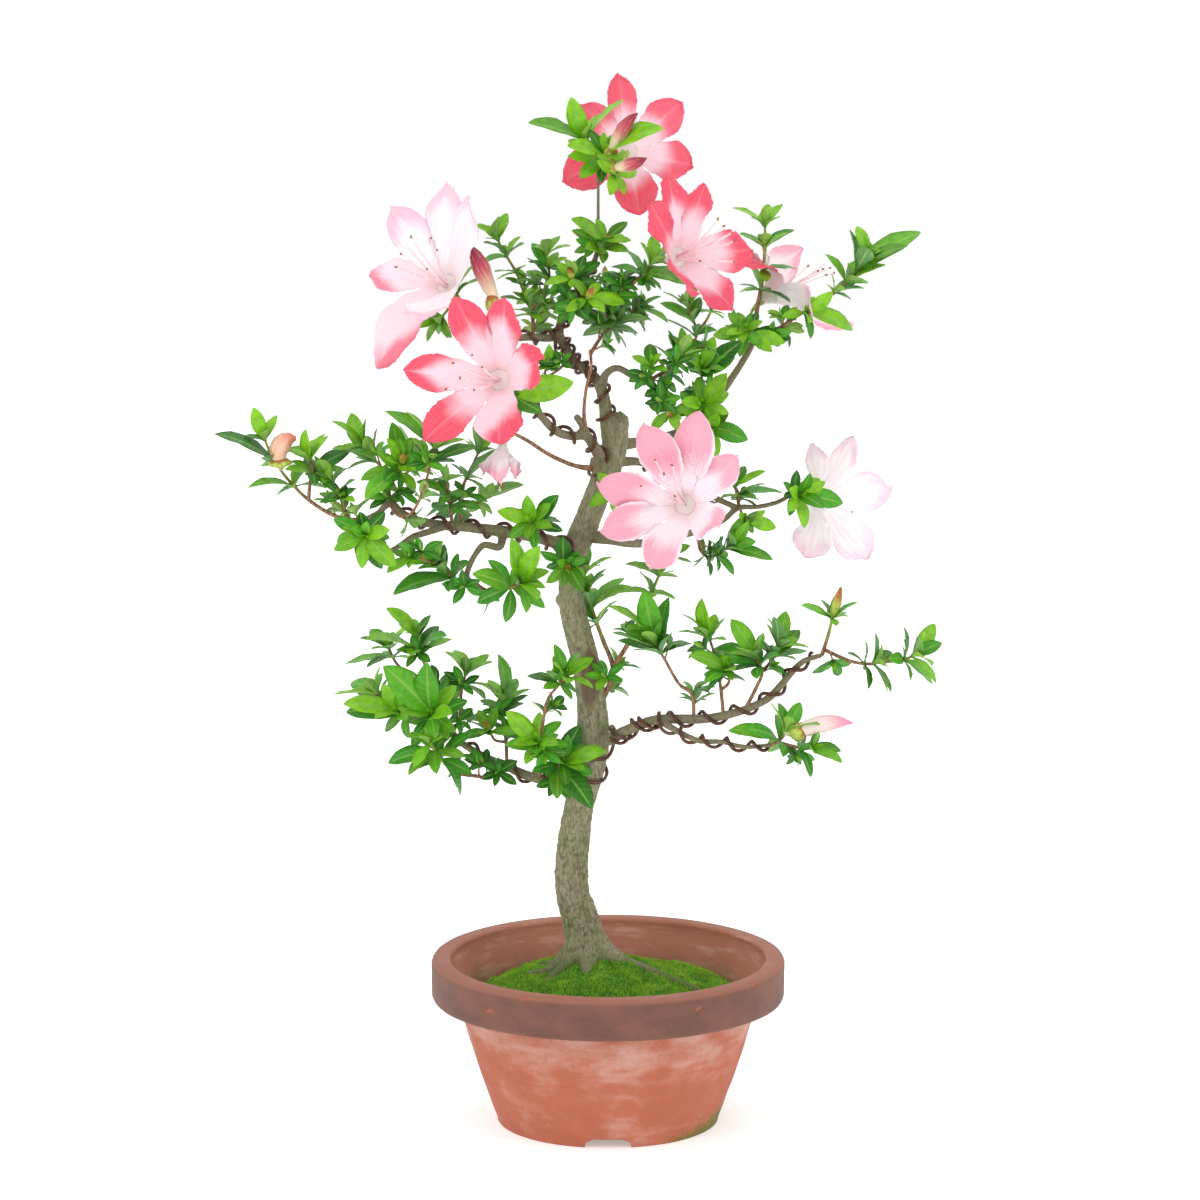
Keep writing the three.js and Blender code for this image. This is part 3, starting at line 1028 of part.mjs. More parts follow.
// Whether two of a skin's triangles cross. Those that share an edge can't.
function isTangled({ points, triangles }) {
  const faces = triangles.map((corners) => {
    const places = corners.map((index) => points[index]);
    return { corners, places, box: new THREE.Box3().setFromPoints(places) };
  });
  const crosses = (one, other) =>
    [0, 1, 2].some((k) => {
      const edge = [k, (k + 1) % 3];
      if (edge.some((end) => other.corners.includes(one.corners[end]))) return false;
      return pierces(edge.map((end) => one.places[end]), other.places);
    });
  return faces.some((one, i) =>
    faces.slice(i + 1).some((other) => {
      if (!one.box.intersectsBox(other.box)) return false;
      if (one.corners.filter((corner) => other.corners.includes(corner)).length > 1) return false;
      return crosses(one, other) || crosses(other, one);
    }),
  );
}

// Adds a leaf whose root is four corners of the stem: lower right, upper right, upper left, lower left.
function growLeaf({ tip, up }, seat, along, root, points, triangles) {
  const { side, right, left, upper } = bladePoints(seat, tip, up);
  const tangent = points[root[0]].clone().sub(points[root[3]]).normalize();
  const quarter = Math.round(Math.atan2(side.dot(along), side.dot(tangent)) / (0.5 * Math.PI)) + 4;
  const corner = (m) => root[(m + quarter) % 4];
  const put = (point) => points.push(point) - 1;
  const [near, far] = right.map(put);
  const [leftNear, leftFar] = left.map(put);
  const [top, end] = [upper, tip].map(put);
  const neck = [near, top, leftNear];
  neck.forEach((point, m) => {
    triangles.push([corner(m), corner(m + 1), point], [corner(m + 1), neck[(m + 1) % 3], point]);
  });
  triangles.push([corner(3), corner(0), near]);
  triangles.push([near, top, far], [far, top, end], [end, top, leftFar], [leftFar, top, leftNear]);
  triangles.push([leftNear, near, far], [leftNear, far, leftFar], [leftFar, far, end]);
}

const sprays = Object.entries(SPRAYS).map(([name, spray]) => ({ name, shoots: sprayStems(spray) }));
for (const spray of sprays) {
  for (const shoot of spray.shoots) {
    const { points, triangles } = shootSkin(shoot, []);
    shoot.bare = closed(points, triangles);
  }
  spray.clear = Manifold.union(spray.shoots.map(({ line }) => tube(line, STEM_SIDES, STALK_CLEAR)));
}
const sprayLines = (name) => sprays.find((spray) => spray.name === name).shoots.map(({ line }) => line);
const carrier = (name) => (name in SPRAYS ? sprayLines(name) : [limbs[name]]);
const clearOfStems = Manifold.union(sprays.map(({ clear }) => clear));

// ---- Blooms and buds ----

function hangingLine(on, listed, radii) {
  const lines = carrier(on);
  const shift = footOn(lines, ...listed[0]).at.y - listed[0][2];
  return stemLine(lines, listed, radii, (depth) => depth + shift);
}

// A corolla: a tube that opens into a throat, then waved lobes between shared notches.
function corolla(base, throat, tips, seed) {
  const axis = throat.clone().sub(base);
  const height = axis.length();
  axis.normalize();
  const side = new THREE.Vector3(0, 0, 1).addScaledVector(axis, -axis.z).normalize();
  const cross = axis.clone().cross(side);
  const angleOf = (tip) => {
    const off = tip.clone().sub(throat);
    return Math.atan2(off.dot(cross), off.dot(side));
  };
  const fromAxis = (tip) => tip.clone().sub(throat).cross(axis).length();
  const opening = Math.min(THROAT_RADIUS, OPENING_SHARE * Math.min(...tips.map(fromAxis)));
  const around = (angle, r, rise) =>
    base
      .clone()
      .addScaledVector(axis, rise)
      .addScaledVector(side, r * Math.cos(angle))
      .addScaledVector(cross, r * Math.sin(angle));
  const lobes = tips.map((tip) => ({ tip, angle: angleOf(tip) })).sort((a, b) => a.angle - b.angle);
  const count = lobes.length;
  const notchAngles = lobes.map(({ angle }, k) => {
    const next = lobes[(k + 1) % count].angle + (k + 1 === count ? 2 * Math.PI : 0);
    return 0.5 * (angle + next);
  });
  const points = [];
  const triangles = [];
  const put = (point) => points.push(point) - 1;
  const face = (a, b, c) => triangles.push([a, b, c]);

  // Throat rings inside and outside: a corner at each lobe's middle and at each notch.
  const rings = [
    [TUBE_RADIUS, TUBE_FOOT],
    [opening, 1],
  ];
  const angles = lobes.flatMap(({ angle }, k) => [angle, notchAngles[k]]);
  const wall = (thick) =>
    rings.map(([r, share]) => {
      const rise = share * height - 0.4 * thick;
      return angles.map((angle) => put(around(angle, r + thick, rise)));
    });
  const inner = wall(0);
  const outer = wall(PETAL_THICK);
  const columns = angles.length;
  const fill = ([low, high], flip) => {
    for (let j = 0; j < columns; j++) {
      const k = (j + 1) % columns;
      const quad = [low[j], high[j], high[k], low[k]];
      const [a, b, c, d] = flip ? quad.toReversed() : quad;
      face(a, b, c);
      face(a, c, d);
    }
  };
  fill(inner, false);
  fill(outer, true);
  const floor = put(around(0, 0, TUBE_FLOOR * height));
  const root = put(around(0, 0, TUBE_ROOT * height));
  for (let j = 0; j < columns; j++) {
    const k = (j + 1) % columns;
    face(floor, inner[0][j], inner[0][k]);
    face(root, outer[0][k], outer[0][j]);
  }

  // Lobes
  const notches = notchAngles.map((angle) => put(around(angle, NOTCH_REACH * opening, height + NOTCH_RISE)));
  const ribs = lobes.map(({ tip, angle }) => {
    const start = around(angle, opening, height);
    const reach = tip.distanceTo(start);
    const [outward, upward] = LOBE_BEND.map((share) => share * reach);
    const bend = around(angle, opening + outward, height + upward).lerp(tip, LOBE_EASE);
    const middle = (t) =>
      start
        .clone()
        .multiplyScalar((1 - t) ** 2)
        .addScaledVector(bend, 2 * t * (1 - t))
        .addScaledVector(tip, t * t);
    return { reach, middle, widest: middle(LOBE_WIDEST) };
  });
  lobes.forEach(({ tip, angle }, k) => {
    const before = notches[(k + count - 1) % count];
    const after = notches[k];
    const { reach, middle, widest } = ribs[k];
    const beside = [ribs[(k + count - 1) % count], ribs[(k + 1) % count]];
    const room = Math.min(...beside.map((rib) => rib.widest.distanceTo(widest)));
    const span = points[before].distanceTo(points[after]);
    const drawn = Math.min(LOBE_SPAN * span, LOBE_BREADTH * reach) + LOBE_FLARE * opening;
    const half = Math.min(drawn, LOBE_ROOM * room);
    const across = side.clone().multiplyScalar(-Math.sin(angle)).addScaledVector(cross, Math.cos(angle));
    let left = before;
    let right = after;
    let upper = inner.at(-1)[2 * k];
    let under = outer.at(-1)[2 * k];
    const throatSide = (ring, flip) => {
      const pair = [
        [ring[(2 * k + columns - 1) % columns], before, ring[2 * k]],
        [ring[2 * k], after, ring[2 * k + 1]],
      ];
      for (const [a, b, c] of pair) flip ? face(a, c, b) : face(a, b, c);
    };
    throatSide(inner.at(-1), false);
    throatSide(outer.at(-1), true);
    const stations = [[LOBE_WIDEST, 1], LOBE_SHOULDER];
    stations.forEach(([t, share], i) => {
      const centre = middle(t);
      const along = middle(t + 0.02).sub(middle(t - 0.02)).normalize();
      const normal = across.clone().cross(along).normalize();
      const wave = (s) => PETAL_WAVE * (2 * draw(seed, 7 * k + i, s) - 1);
      const edge = (sign) =>
        put(
          centre
            .clone()
            .addScaledVector(across, sign * half * share)
            .addScaledVector(normal, wave(sign) + LOBE_CUP * half),
        );
      const next = [edge(-1), edge(1)];
      const rib = (sign) => put(centre.clone().addScaledVector(normal, 0.5 * sign * PETAL_THICK));
      const [high, low] = [-1, 1].map(rib);
      triangles.push([left, next[0], high], [left, high, upper], [upper, high, next[1]]);
      triangles.push([upper, next[1], right], [left, low, next[0]], [left, under, low]);
      triangles.push([under, next[1], low], [under, right, next[1]]);
      [left, right, upper, under] = [next[0], next[1], high, low];
    });
    const end = put(tip.clone());
    triangles.push([left, end, upper], [upper, end, right], [left, under, end], [under, right, end]);
  });
  return closed(points, triangles);
}

function makeBloom({ on, stalk, throat, anthers, lobes }, seed) {
  const listed = [...stalk, throat, anthers, ...lobes];
  const places = hangingLine(on, listed, [1, 1]).map(({ at }) => at);
  const [foot, bend, base, mouth, bunch, ...tips] = places;
  const flower = corolla(base, mouth, tips, seed);
  const seat = base.clone().lerp(mouth, TUBE_FOOT);
  const stem = tube([foot, bend, seat].map((at, j) => ({ at, r: STALK_RADII[j] })), STALK_SIDES);
  const spread = mouth.clone().sub(base).cross(bunch.clone().sub(mouth)).normalize();
  const filaments = Array.from({ length: STAMENS }, (_, i) => {
    const turn = (i - 0.5 * (STAMENS - 1)) * STAMEN_SPREAD;
    const root = base.clone().lerp(mouth, TUBE_FLOOR).addScaledVector(spread, 0.1 * turn);
    const tip = mouth.clone().lerp(bunch, 0.75 + 0.3 * draw(seed, i, 5)).addScaledVector(spread, turn);
    return tube([root, tip].map((at, j) => ({ at, r: STAMEN_RADII[j] })), STEM_SIDES);
  });
  return Manifold.union([flower, stem, ...filaments]);
}

function makeBud({ on, radii, line }) {
  return tube(hangingLine(on, line, radii), BUD_SIDES);
}

const blooms = Object.entries(BLOOMS).map(([name, bloom], i) => ({
  name: "bloom_" + name,
  solid: largest(makeBloom(bloom, i + 1).subtract(clearOfWood).subtract(clearOfStems)),
}));
const budSolids = Object.fromEntries(Object.entries(BUDS).map(([name, bud]) => [name, makeBud(bud)]));
const buds = [
  { name: "bud_upper_left", solid: budSolids.bud_upper_left },
  { name: "buds_apex", solid: budSolids.buds_apex_a.add(budSolids.buds_apex_b) },
  { name: "bud_lower_right", solid: budSolids.bud_lower_right },
  { name: "bud_withered", solid: budSolids.bud_withered },
].map(({ name, solid }) => ({ name, solid: largest(solid.subtract(clearOfWood).subtract(clearOfStems)) }));

// ---- Training wire ----

// Each length of wire follows rows of these limbs, from one end to the other.
const WIRES = {
  wire_low: { pitch: 20, along: [["lower_left", 8, 1], ["trunk", 9, 10], ["lower_right", 1, 13]] },
  wire_low_fork: { pitch: 17, along: [["lower_right", 1, 2], ["lower_right_lower", 0, 6]] },
  wire_middle: { pitch: 20, along: [["middle_left", 10, 1], ["trunk", 16, 17], ["mid_right", 1, 10]] },
  wire_left_lower: { pitch: 17, along: [["left_lower", 7, 1], ["trunk", 20, 21]] },
  wire_leader: { pitch: 12, along: [["leader", 1, 12]] },
  wire_crown_pair: { pitch: 15, along: [["right_inner", 4, 1], ["leader", 4, 6], ["upper_left", 1, 6]] },
  wire_mid_upper: { pitch: 16, along: [["mid_right_upper", 1, 5]] },
};

// Distance from a point to the nearest surface of these tapering lines.
function clearance(point, lines) {
  let least = Infinity;
  for (const line of lines) {
    for (let i = 0; i + 1 < line.length; i++) {
      const [a, b] = [line[i], line[i + 1]];
      const run = b.at.clone().sub(a.at);
      const off = point.clone().sub(a.at);
      const share = THREE.MathUtils.clamp(off.dot(run) / run.lengthSq(), 0, 1);
      const away = off.addScaledVector(run, -share).length() - (a.r + share * (b.r - a.r));
      least = Math.min(least, away);
    }
  }
  return least;
}

// The limbs' axes joined, with stations at an even step and the corners rounded off.
function wireSpine(along, step) {
  const rows = along.flatMap(([name, from, to]) => {
    const part = limbs[name].slice(Math.min(from, to), Math.max(from, to) + 1);
    return from > to ? part.toReversed() : part;
  });
  const stations = [];
  let left = 0;
  for (let i = 0; i + 1 < rows.length; i++) {
    const length = rows[i].at.distanceTo(rows[i + 1].at);
    for (; left < length; left += step) {
      const share = left / length;
      stations.push({ at: rows[i].at.clone().lerp(rows[i + 1].at, share), r: rows[i].r });
    }
    left -= length;
  }
  return stations.map(({ r }, i) => {
    const near = stations.slice(Math.max(i - 2, 0), i + 3);
    const at = near.reduce((sum, one) => sum.add(one.at), new THREE.Vector3()).divideScalar(near.length);
    return { at, r };
  });
}

// Winds a wire round its limbs: of the free places about each station it takes those that turn most evenly.
function windWire({ pitch, along }, bark, obstacles) {
  const step = pitch / TURN_STEPS;
  const stations = wireSpine(along, step);
  const isNear = ({ at }) => stations.some((station) => station.at.distanceTo(at) < 60);
  const near = bark.filter((line) => line.some(isNear));
  const free = (point) => clearance(point, obstacles) > WIRE_RADIUS + 2 * GAP;
  const spots = frames(stations).map(({ side, cross }, i) =>
    Array.from({ length: TURN_ANGLES }, (_, j) => {
      const angle = (2 * Math.PI * j) / TURN_ANGLES;
      const out = side.clone().multiplyScalar(Math.cos(angle)).addScaledVector(cross, Math.sin(angle));
      const need = WIRE_RADIUS + WIRE_CLEAR + CHORD_SAG * (stations[i].r + WIRE_RADIUS);
      let r = 0.5 * stations[i].r + need;
      for (let tries = 0; tries < 20; tries++) {
        const point = stations[i].at.clone().addScaledVector(out, r);
        const short = need - clearance(point, near);
        if (short <= 0) return r < 2.2 * stations[i].r + 8 && free(point) ? point : null;
        r += short + 0.05;
      }
      return null;
    }),
  );
  const even = TURN_ANGLES / TURN_STEPS;
  const cost = [spots[0].map((point) => (point ? 0 : Infinity))];
  const from = [];
  for (let i = 1; i < spots.length; i++) {
    from.push([]);
    cost.push(
      spots[i].map((point, j) => {
        let least = Infinity;
        for (let turn = 0; point && turn <= 2 * even + 1; turn++) {
          const k = (j - turn + TURN_ANGLES) % TURN_ANGLES;
          const before = spots[i - 1][k];
          if (!before || cost[i - 1][k] === Infinity) continue;
          const far = before.distanceTo(point);
          const sum = cost[i - 1][k] + (turn - even) ** 2 + 0.04 * far ** 2;
          if (sum >= least || !free(before.clone().lerp(point, 0.5))) continue;
          least = sum;
          from[i - 1][j] = k;
        }
        return least;
      }),
    );
  }
  let j = cost.at(-1).indexOf(Math.min(...cost.at(-1)));
  if (cost.at(-1)[j] === Infinity) throw new Error("no free way for a wire");
  const path = [];
  for (let i = spots.length - 1; i >= 0; i--) {
    path.unshift({ at: spots[i][j], r: WIRE_RADIUS });
    if (i > 0) j = from[i - 1][j];
  }
  return path;
}

const obstacles = sprays.flatMap(({ shoots }) => shoots.map(({ line }) => line));
obstacles.push(...Object.values(BLOOMS).map(({ on, stalk }) => hangingLine(on, stalk, [1, 1])));
obstacles.push(...Object.values(BUDS).map(({ on, line, radii }) => hangingLine(on, line, radii)));
const wires = Object.entries(WIRES).map(([name, wire]) => {
  const path = windWire(wire, Object.values(limbs), obstacles);
  obstacles.push(path);
  return { name, solid: largest(tube(path, WIRE_SIDES).subtract(clearOfWood)) };
});

// ---- Leaves ----

// The leaves of a shoot by whorl, from the lowest. Each sways its own way from facing along the stem.
function whorlsOf({ line, tips, spread }, sprayIndex, shootIndex) {
  const count = tips.length;
  const end = backOn(line, 0);
  const leaves = tips.map((tip, i) => {
    const random = (channel) => 2 * draw(sprayIndex + 1, 17 * shootIndex + i, channel) - 1;
    return { tip, sway: new THREE.Vector3(0.3 * random(3), -0.3 + 0.3 * random(4), 0.4 + 0.3 * random(5)) };
  });
  const leader = spread > LEADER_SPREAD;
  const tiers = leader ? Math.ceil(count / 3) : count > 5 ? 2 : 1;
  const height = ({ tip }) => tip.clone().sub(end.at).normalize().dot(end.along);
  if (!leader) leaves.sort((a, b) => height(a) - height(b));
  const reach = Math.min(spread, 0.75 * lineLength(line));
  return Array.from({ length: tiers }, (_, k) => {
    const back = WHORL_HEIGHT + (reach * (tiers - 1 - k)) / Math.max(tiers - (leader ? 0 : 0.4), 1);
    const seat = backOn(line, back);
    const part = leaves.slice(Math.round((k * count) / tiers), Math.round(((k + 1) * count) / tiers));
    return { back, seat: seat.at, along: seat.along, leaves: part };
  });
}

// Ways to turn a leaf, in degrees about the vertical and upward, and to shorten it: the least turned first.
const TURNS = [1, 0.8, 0.62].flatMap((scale) =>
  [0, 14, 28, 42].flatMap((far) =>
    far === 0 ? [[0, 0, scale]] : [0, 180, 90, 270, 45, 225, 135, 315].map((toward) => {
      const yaw = far * Math.cos(toward * DEGREE);
      return [yaw, far * Math.sin(toward * DEGREE), scale];
    }),
  ),
);

function turnedRun(run, [yaw, pitch, scale]) {
  const length = run.length() * scale;
  const azimuth = Math.atan2(run.y, run.x) + yaw * DEGREE;
  const lift = Math.asin(run.z / run.length()) + pitch * DEGREE;
  const level = length * Math.cos(lift);
  return new THREE.Vector3(level * Math.cos(azimuth), level * Math.sin(azimuth), length * Math.sin(lift));
}

function boxOf(solid) {
  const { min, max } = solid.boundingBox();
  return new THREE.Box3(new THREE.Vector3(...min), new THREE.Vector3(...max)).expandByScalar(ROOM);
}

const withBox = (solid, owner) => ({ solid, owner, box: boxOf(solid) });

function isClear(solid, others, gap) {
  const box = boxOf(solid);
  return others.every((other) => !other.box.intersectsBox(box) || solid.minGap(other.solid, 2 * gap) > gap);
}

const pot = makePot();
const soil = makeSoil().subtract(clearOfWood);
const moss = makeMoss().subtract(clearOfWood);
const placed = [pot, moss, ...wires.map(({ solid }) => solid), ...blooms.map(({ solid }) => solid)]
  .concat(buds.map(({ solid }) => solid))
  .map((solid) => withBox(solid, null));
for (const { name, shoots } of sprays) placed.push(...shoots.map(({ bare }) => withBox(bare, name)));
const woodBox = withBox(wood, null);

sprays.forEach((spray, sprayIndex) => {
  const kin = [woodBox, ...spray.shoots.map(({ bare }) => withBox(bare, spray.name))];
  const foreign = placed.filter(({ owner }) => owner !== spray.name);
  const solids = spray.shoots.map((shoot, shootIndex) => {
    const grown = [];
    let skin = shootSkin(shoot, grown);
    for (const whorl of whorlsOf(shoot, sprayIndex, shootIndex)) {
      grown.push({ ...whorl, leaves: [] });
      const base = whorl.seat;
      for (const { tip: listed, sway } of whorl.leaves) {
        const up = whorl.along.clone().add(sway);
        const run = listed.clone().sub(base);
        for (const turn of TURNS) {
          const tip = base.clone().add(turnedRun(run, turn));
          const outer = blade(base.clone().lerp(tip, 0.25), tip, up);
          const whole = blade(base, tip, up);
          if (!isClear(outer, kin, GAP) || !isClear(whole, foreign, ROOM)) continue;
          const leaves = [...grown.at(-1).leaves, { tip, up }];
          const next = shootSkin(shoot, [...grown.slice(0, -1), { ...whorl, leaves }]);
          if (isTangled(next)) continue;
          skin = next;
          grown.at(-1).leaves = leaves;
          kin.push(withBox(outer, spray.name));
          placed.push(withBox(whole, spray.name));
          break;
        }
      }
      if (grown.at(-1).leaves.length === 0) grown.pop();
    }
    spray.leaves = (spray.leaves ?? 0) + grown.reduce((sum, { leaves }) => sum + leaves.length, 0);
    return closed(skin.points, skin.triangles);
  });
  spray.solid = largest(Manifold.union(solids).subtract(clearOfWood));
});

// ---- Assembly ----

const group = new THREE.Group();
group.name = "satsuki_azalea_bonsai";

function add(name, solid, color, roughness) {
  const { vertProperties, triVerts, numProp } = solid.getMesh();
  const geometry = new THREE.BufferGeometry();
  const interleaved = new THREE.InterleavedBuffer(vertProperties, numProp);
  geometry.setAttribute("position", new THREE.InterleavedBufferAttribute(interleaved, 3, 0));
  geometry.setIndex(new THREE.BufferAttribute(triVerts, 1));
  const mesh = new THREE.Mesh(geometry, new THREE.MeshStandardMaterial({ color, roughness }));
  mesh.name = name;
  group.add(mesh);
}

add("pot", pot, 0xb9694b, 0.85);
add("soil", largest(soil), 0x3a2a20, 1);
add("moss", largest(moss), 0x5a9a12, 0.95);
add("trunk", wood, 0x8c8a66, 0.9);
for (const { name, solid } of wires) add(name, solid, 0x5a3a30, 0.5);
for (const { name, solid } of blooms) add(name, solid, 0xf28aa0, 0.7);
for (const { name, solid } of buds) add(name, solid, 0xb02845, 0.6);
for (const { name, solid } of sprays) add("spray_" + name, solid, 0x3a8a1c, 0.5);

// The part's origin is under the middle of its box, on the plane that the pot stands on.
const box = new THREE.Box3().setFromObject(group);
const middle = box.getCenter(new THREE.Vector3());
group.position.set(-middle.x, -middle.y, 0);

export default group;
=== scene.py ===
"""Satsuki azalea bonsai in a terracotta pot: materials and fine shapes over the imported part.

Lengths are in mm, in the tree's own frame: the pot's axis is the vertical through the origin, the pot
stands on z = 0, x runs to the right and y to the back.
"""

import math
from functools import partial

import bmesh
import bpy
import numpy as np
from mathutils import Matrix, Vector, noise
from mathutils.kdtree import KDTree


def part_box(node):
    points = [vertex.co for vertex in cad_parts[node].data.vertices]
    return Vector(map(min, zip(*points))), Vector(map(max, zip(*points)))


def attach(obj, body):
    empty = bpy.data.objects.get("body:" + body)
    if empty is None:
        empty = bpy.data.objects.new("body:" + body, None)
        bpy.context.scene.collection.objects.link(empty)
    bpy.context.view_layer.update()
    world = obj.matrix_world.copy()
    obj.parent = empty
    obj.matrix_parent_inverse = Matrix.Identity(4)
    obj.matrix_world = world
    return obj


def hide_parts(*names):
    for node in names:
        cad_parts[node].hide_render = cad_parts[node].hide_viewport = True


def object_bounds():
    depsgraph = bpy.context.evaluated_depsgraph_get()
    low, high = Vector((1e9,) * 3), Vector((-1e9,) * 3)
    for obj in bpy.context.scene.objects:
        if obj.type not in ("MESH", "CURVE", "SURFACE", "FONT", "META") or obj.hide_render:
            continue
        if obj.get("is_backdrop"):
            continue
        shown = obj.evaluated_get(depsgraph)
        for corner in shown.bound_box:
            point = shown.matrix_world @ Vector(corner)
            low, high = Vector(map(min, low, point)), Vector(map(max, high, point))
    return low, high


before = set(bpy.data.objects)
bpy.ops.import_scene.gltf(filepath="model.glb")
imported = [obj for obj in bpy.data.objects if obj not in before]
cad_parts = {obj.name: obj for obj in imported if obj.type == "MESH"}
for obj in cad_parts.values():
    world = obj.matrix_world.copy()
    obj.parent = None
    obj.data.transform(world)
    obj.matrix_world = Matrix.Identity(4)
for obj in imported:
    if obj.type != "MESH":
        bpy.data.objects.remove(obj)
cad_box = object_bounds()

MM = 0.001
UP = np.array([0.0, 0.0, 1.0])


def middle_of(node):
    low, high = (np.array(corner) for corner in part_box(node))
    return 0.5 * (low + high) / MM


POT_AXIS = middle_of("pot") * (1, 1, 0)

# ---- Sizes ----

# Pot
POT_HEIGHT = 100
RIM_RADIUS = 105.4
RIM_BAND = 24.7
BODY_RADIUS = 89  # under the band
FOOT_RADIUS = 66
FOOT_RING = 9  # width of the ring that it stands on
FOOT_HEIGHT = 7
FLOOR_TOP = 16
DRAIN_RADIUS = 9
NOTCH_WIDTH = 29
NOTCH_HEIGHT = 6

# Soil and moss
SOIL_EDGE = 70
SOIL_DOME = 11
SOIL_RADIUS = 84
MOSS_RADIUS = 82
MOSS_DEPTH = 6.5
MOSS_EDGE = 3
MOSS_MOUND = 5
MOSS_MOUND_RADIUS = 34
MOSS_BUMP = 1

# Tree
BRANCH_REACH = 1.7  # how far the branches fan to the front and back, per mm of their listed depth
LEAF_REACH = 1.15
FORK_CLEAR = 2
WHORL_HEIGHT = 1.6
LEADER_SPREAD = 15
BLADE_BREADTH = 0.38
BLADE_ARCH = 0.07

# Blooms
TUBE_RADIUS = 2
THROAT_RADIUS = 9.5  # of the larger blooms
OPENING_SHARE = 0.6  # of the reach of the shortest lobe, which a narrower throat keeps to

# The tree's points are listed as they are seen from a place in front of it: the column (to the right) and
# the row (down) of each, then how far in mm it lies behind the pot's axis.
EYE = np.array([-4.8, -3475.6, 992.1])
EYE_PITCH = math.radians(11)  # downward
EYE_FOCUS = 6000
EYE_CENTRE = 600

# ---- The tree's points ----

LIMBS = {
  "trunk": [(592, 1003, 66, 8), (591, 986, 62, 8), (590, 968, 50, 8), (586, 945, 43, 8), (580, 920, 38, 8),
    (573, 895, 34, 7), (572, 868, 32, 7), (574, 838, 33, 6), (580, 803, 30, 5), (588, 770, 33, 4),
    (593, 740, 33, 3), (592, 702, 30, 2), (587, 670, 29, 2), (580, 640, 29, 2), (573, 610, 27, 2),
    (571, 580, 26, 1), (573, 558, 27, 1), (579, 541, 27, 1), (587, 522, 27, 1), (596, 500, 26, 1),
    (605, 477, 27, 1), (612, 455, 28, 1), (617, 434, 24, 1), (620, 416, 19, 1)],
  "leader": [(611, 446, 18, -2), (607, 425, 14, -5), (605, 404, 13, -6), (600, 386, 12, -6),
    (590, 373, 11, -5), (575, 362, 10, -4), (565, 347, 10, -2), (559, 334, 10, 0), (562, 321, 9, 1),
    (569, 308, 9, 2), (577, 293, 8, 3), (586, 277, 7, 4), (594, 262, 6, 5), (598, 246, 5, 6),
    (598, 215, 4, 6), (598, 184, 3.6, 6)],
  "upper_left": [(562, 335, 10, 0), (548, 338, 8, -3), (530, 337, 8, -6), (511, 338, 7, -9),
    (494, 333, 6, -9), (478, 322, 5, -8), (466, 308, 4.5, -6)],
  "right_inner": [(602, 386, 11, -3.5), (606, 374, 8, -9), (617, 368, 7, -11), (631, 375, 7, -13),
    (643, 384, 7, -14)],
  "left_lower": [(604, 466, 14, 0), (596, 450, 12, -8), (586, 436, 10, -12), (571, 436, 9, -16),
    (556, 431, 9, -20), (541, 416, 8, -25), (527, 399, 8, -29), (517, 389, 7, -31)],
  "left_stub": [(588, 437, 9, -12), (583, 426, 8, -13), (576, 416, 7, -14)],
  "long_twig": [(602, 469, 9, -2), (576, 466, 5, -12), (550, 455, 4.6, -20), (528, 441, 4.2, -26),
    (509, 431, 3.8, -30)],
  "thin_twig": [(586, 434, 6, -12), (584, 412, 4, -15), (586, 390, 3.6, -16), (591, 366, 3.4, -15),
    (590, 350, 3, -14)],
  "mid_right": [(592, 536, 14, -2), (612, 540, 10, -9), (628, 543, 9, -13), (645, 543, 9, -15),
    (672, 538, 8, -15), (700, 530, 7, -11), (722, 521, 6, -7), (738, 508, 6, -3), (757, 507, 5, 0),
    (775, 503, 5, 2), (786, 498, 4.6, 3)],
  "mid_right_upper": [(614, 462, 12, 3), (640, 462, 8, 6), (668, 472, 7, 6), (692, 484, 7, 3),
    (708, 494, 7, 0), (724, 502, 6, -2), (738, 508, 6, -3)],
  "right_upper": [(616, 445, 14, 4), (640, 442, 10, 13), (668, 436, 9, 20), (692, 425, 8, 25),
    (711, 408, 8, 28), (727, 385, 8, 32), (741, 364, 7, 36), (750, 348, 7, 38), (755, 336, 7, 39)],
  "middle_left": [(577, 552, 18, -1), (559, 544, 13, -8), (540, 538, 12, -12), (520, 534, 12, -16),
    (500, 531, 12, -18), (483, 529, 11, -20), (465, 527, 10, -22), (440, 525, 10, -24), (416, 520, 9, -26),
    (401, 513, 9, -27), (390, 503, 8, -28), (378, 513, 6, -28), (364, 520, 5.5, -28)],
  "middle_left_lower": [(443, 527, 8, -25), (428, 532, 7, -31), (413, 537, 7, -37), (401, 545, 6, -42),
    (391, 551, 5.5, -46)],
  "middle_left_curl": [(503, 536, 9, -18), (499, 547, 8, -23), (484, 545, 7, -28), (475, 555, 6, -31),
    (469, 567, 6, -32), (467, 578, 6, -32), (476, 584, 5, -32)],
  "lower_left": [(586, 789, 18, 1), (565, 786, 13, 3), (545, 780, 11, 6), (526, 775, 10, 8),
    (508, 767, 9, 10), (485, 757, 8, 12), (463, 744, 7, 14), (454, 734, 6, 15), (447, 723, 6, 16)],
  "lower_right": [(593, 744, 18, 0), (612, 738, 13, -7), (630, 729, 11, -11), (655, 720, 10, -16),
    (680, 719, 10, -19), (702, 719, 9.5, -22), (722, 716, 9, -24), (741, 711, 8.5, -26), (756, 705, 8, -26),
    (770, 697, 8, -26), (782, 684, 7.5, -26), (792, 672, 7, -26), (804, 661, 6, -26), (822, 655, 5, -26)],
  "lower_right_lower": [(660, 720, 9, -17), (672, 728, 7, -23), (685, 735, 6, -28), (700, 741, 6, -32),
    (722, 742, 5, -37), (745, 747, 5, -42), (772, 745, 4.4, -46)],
}

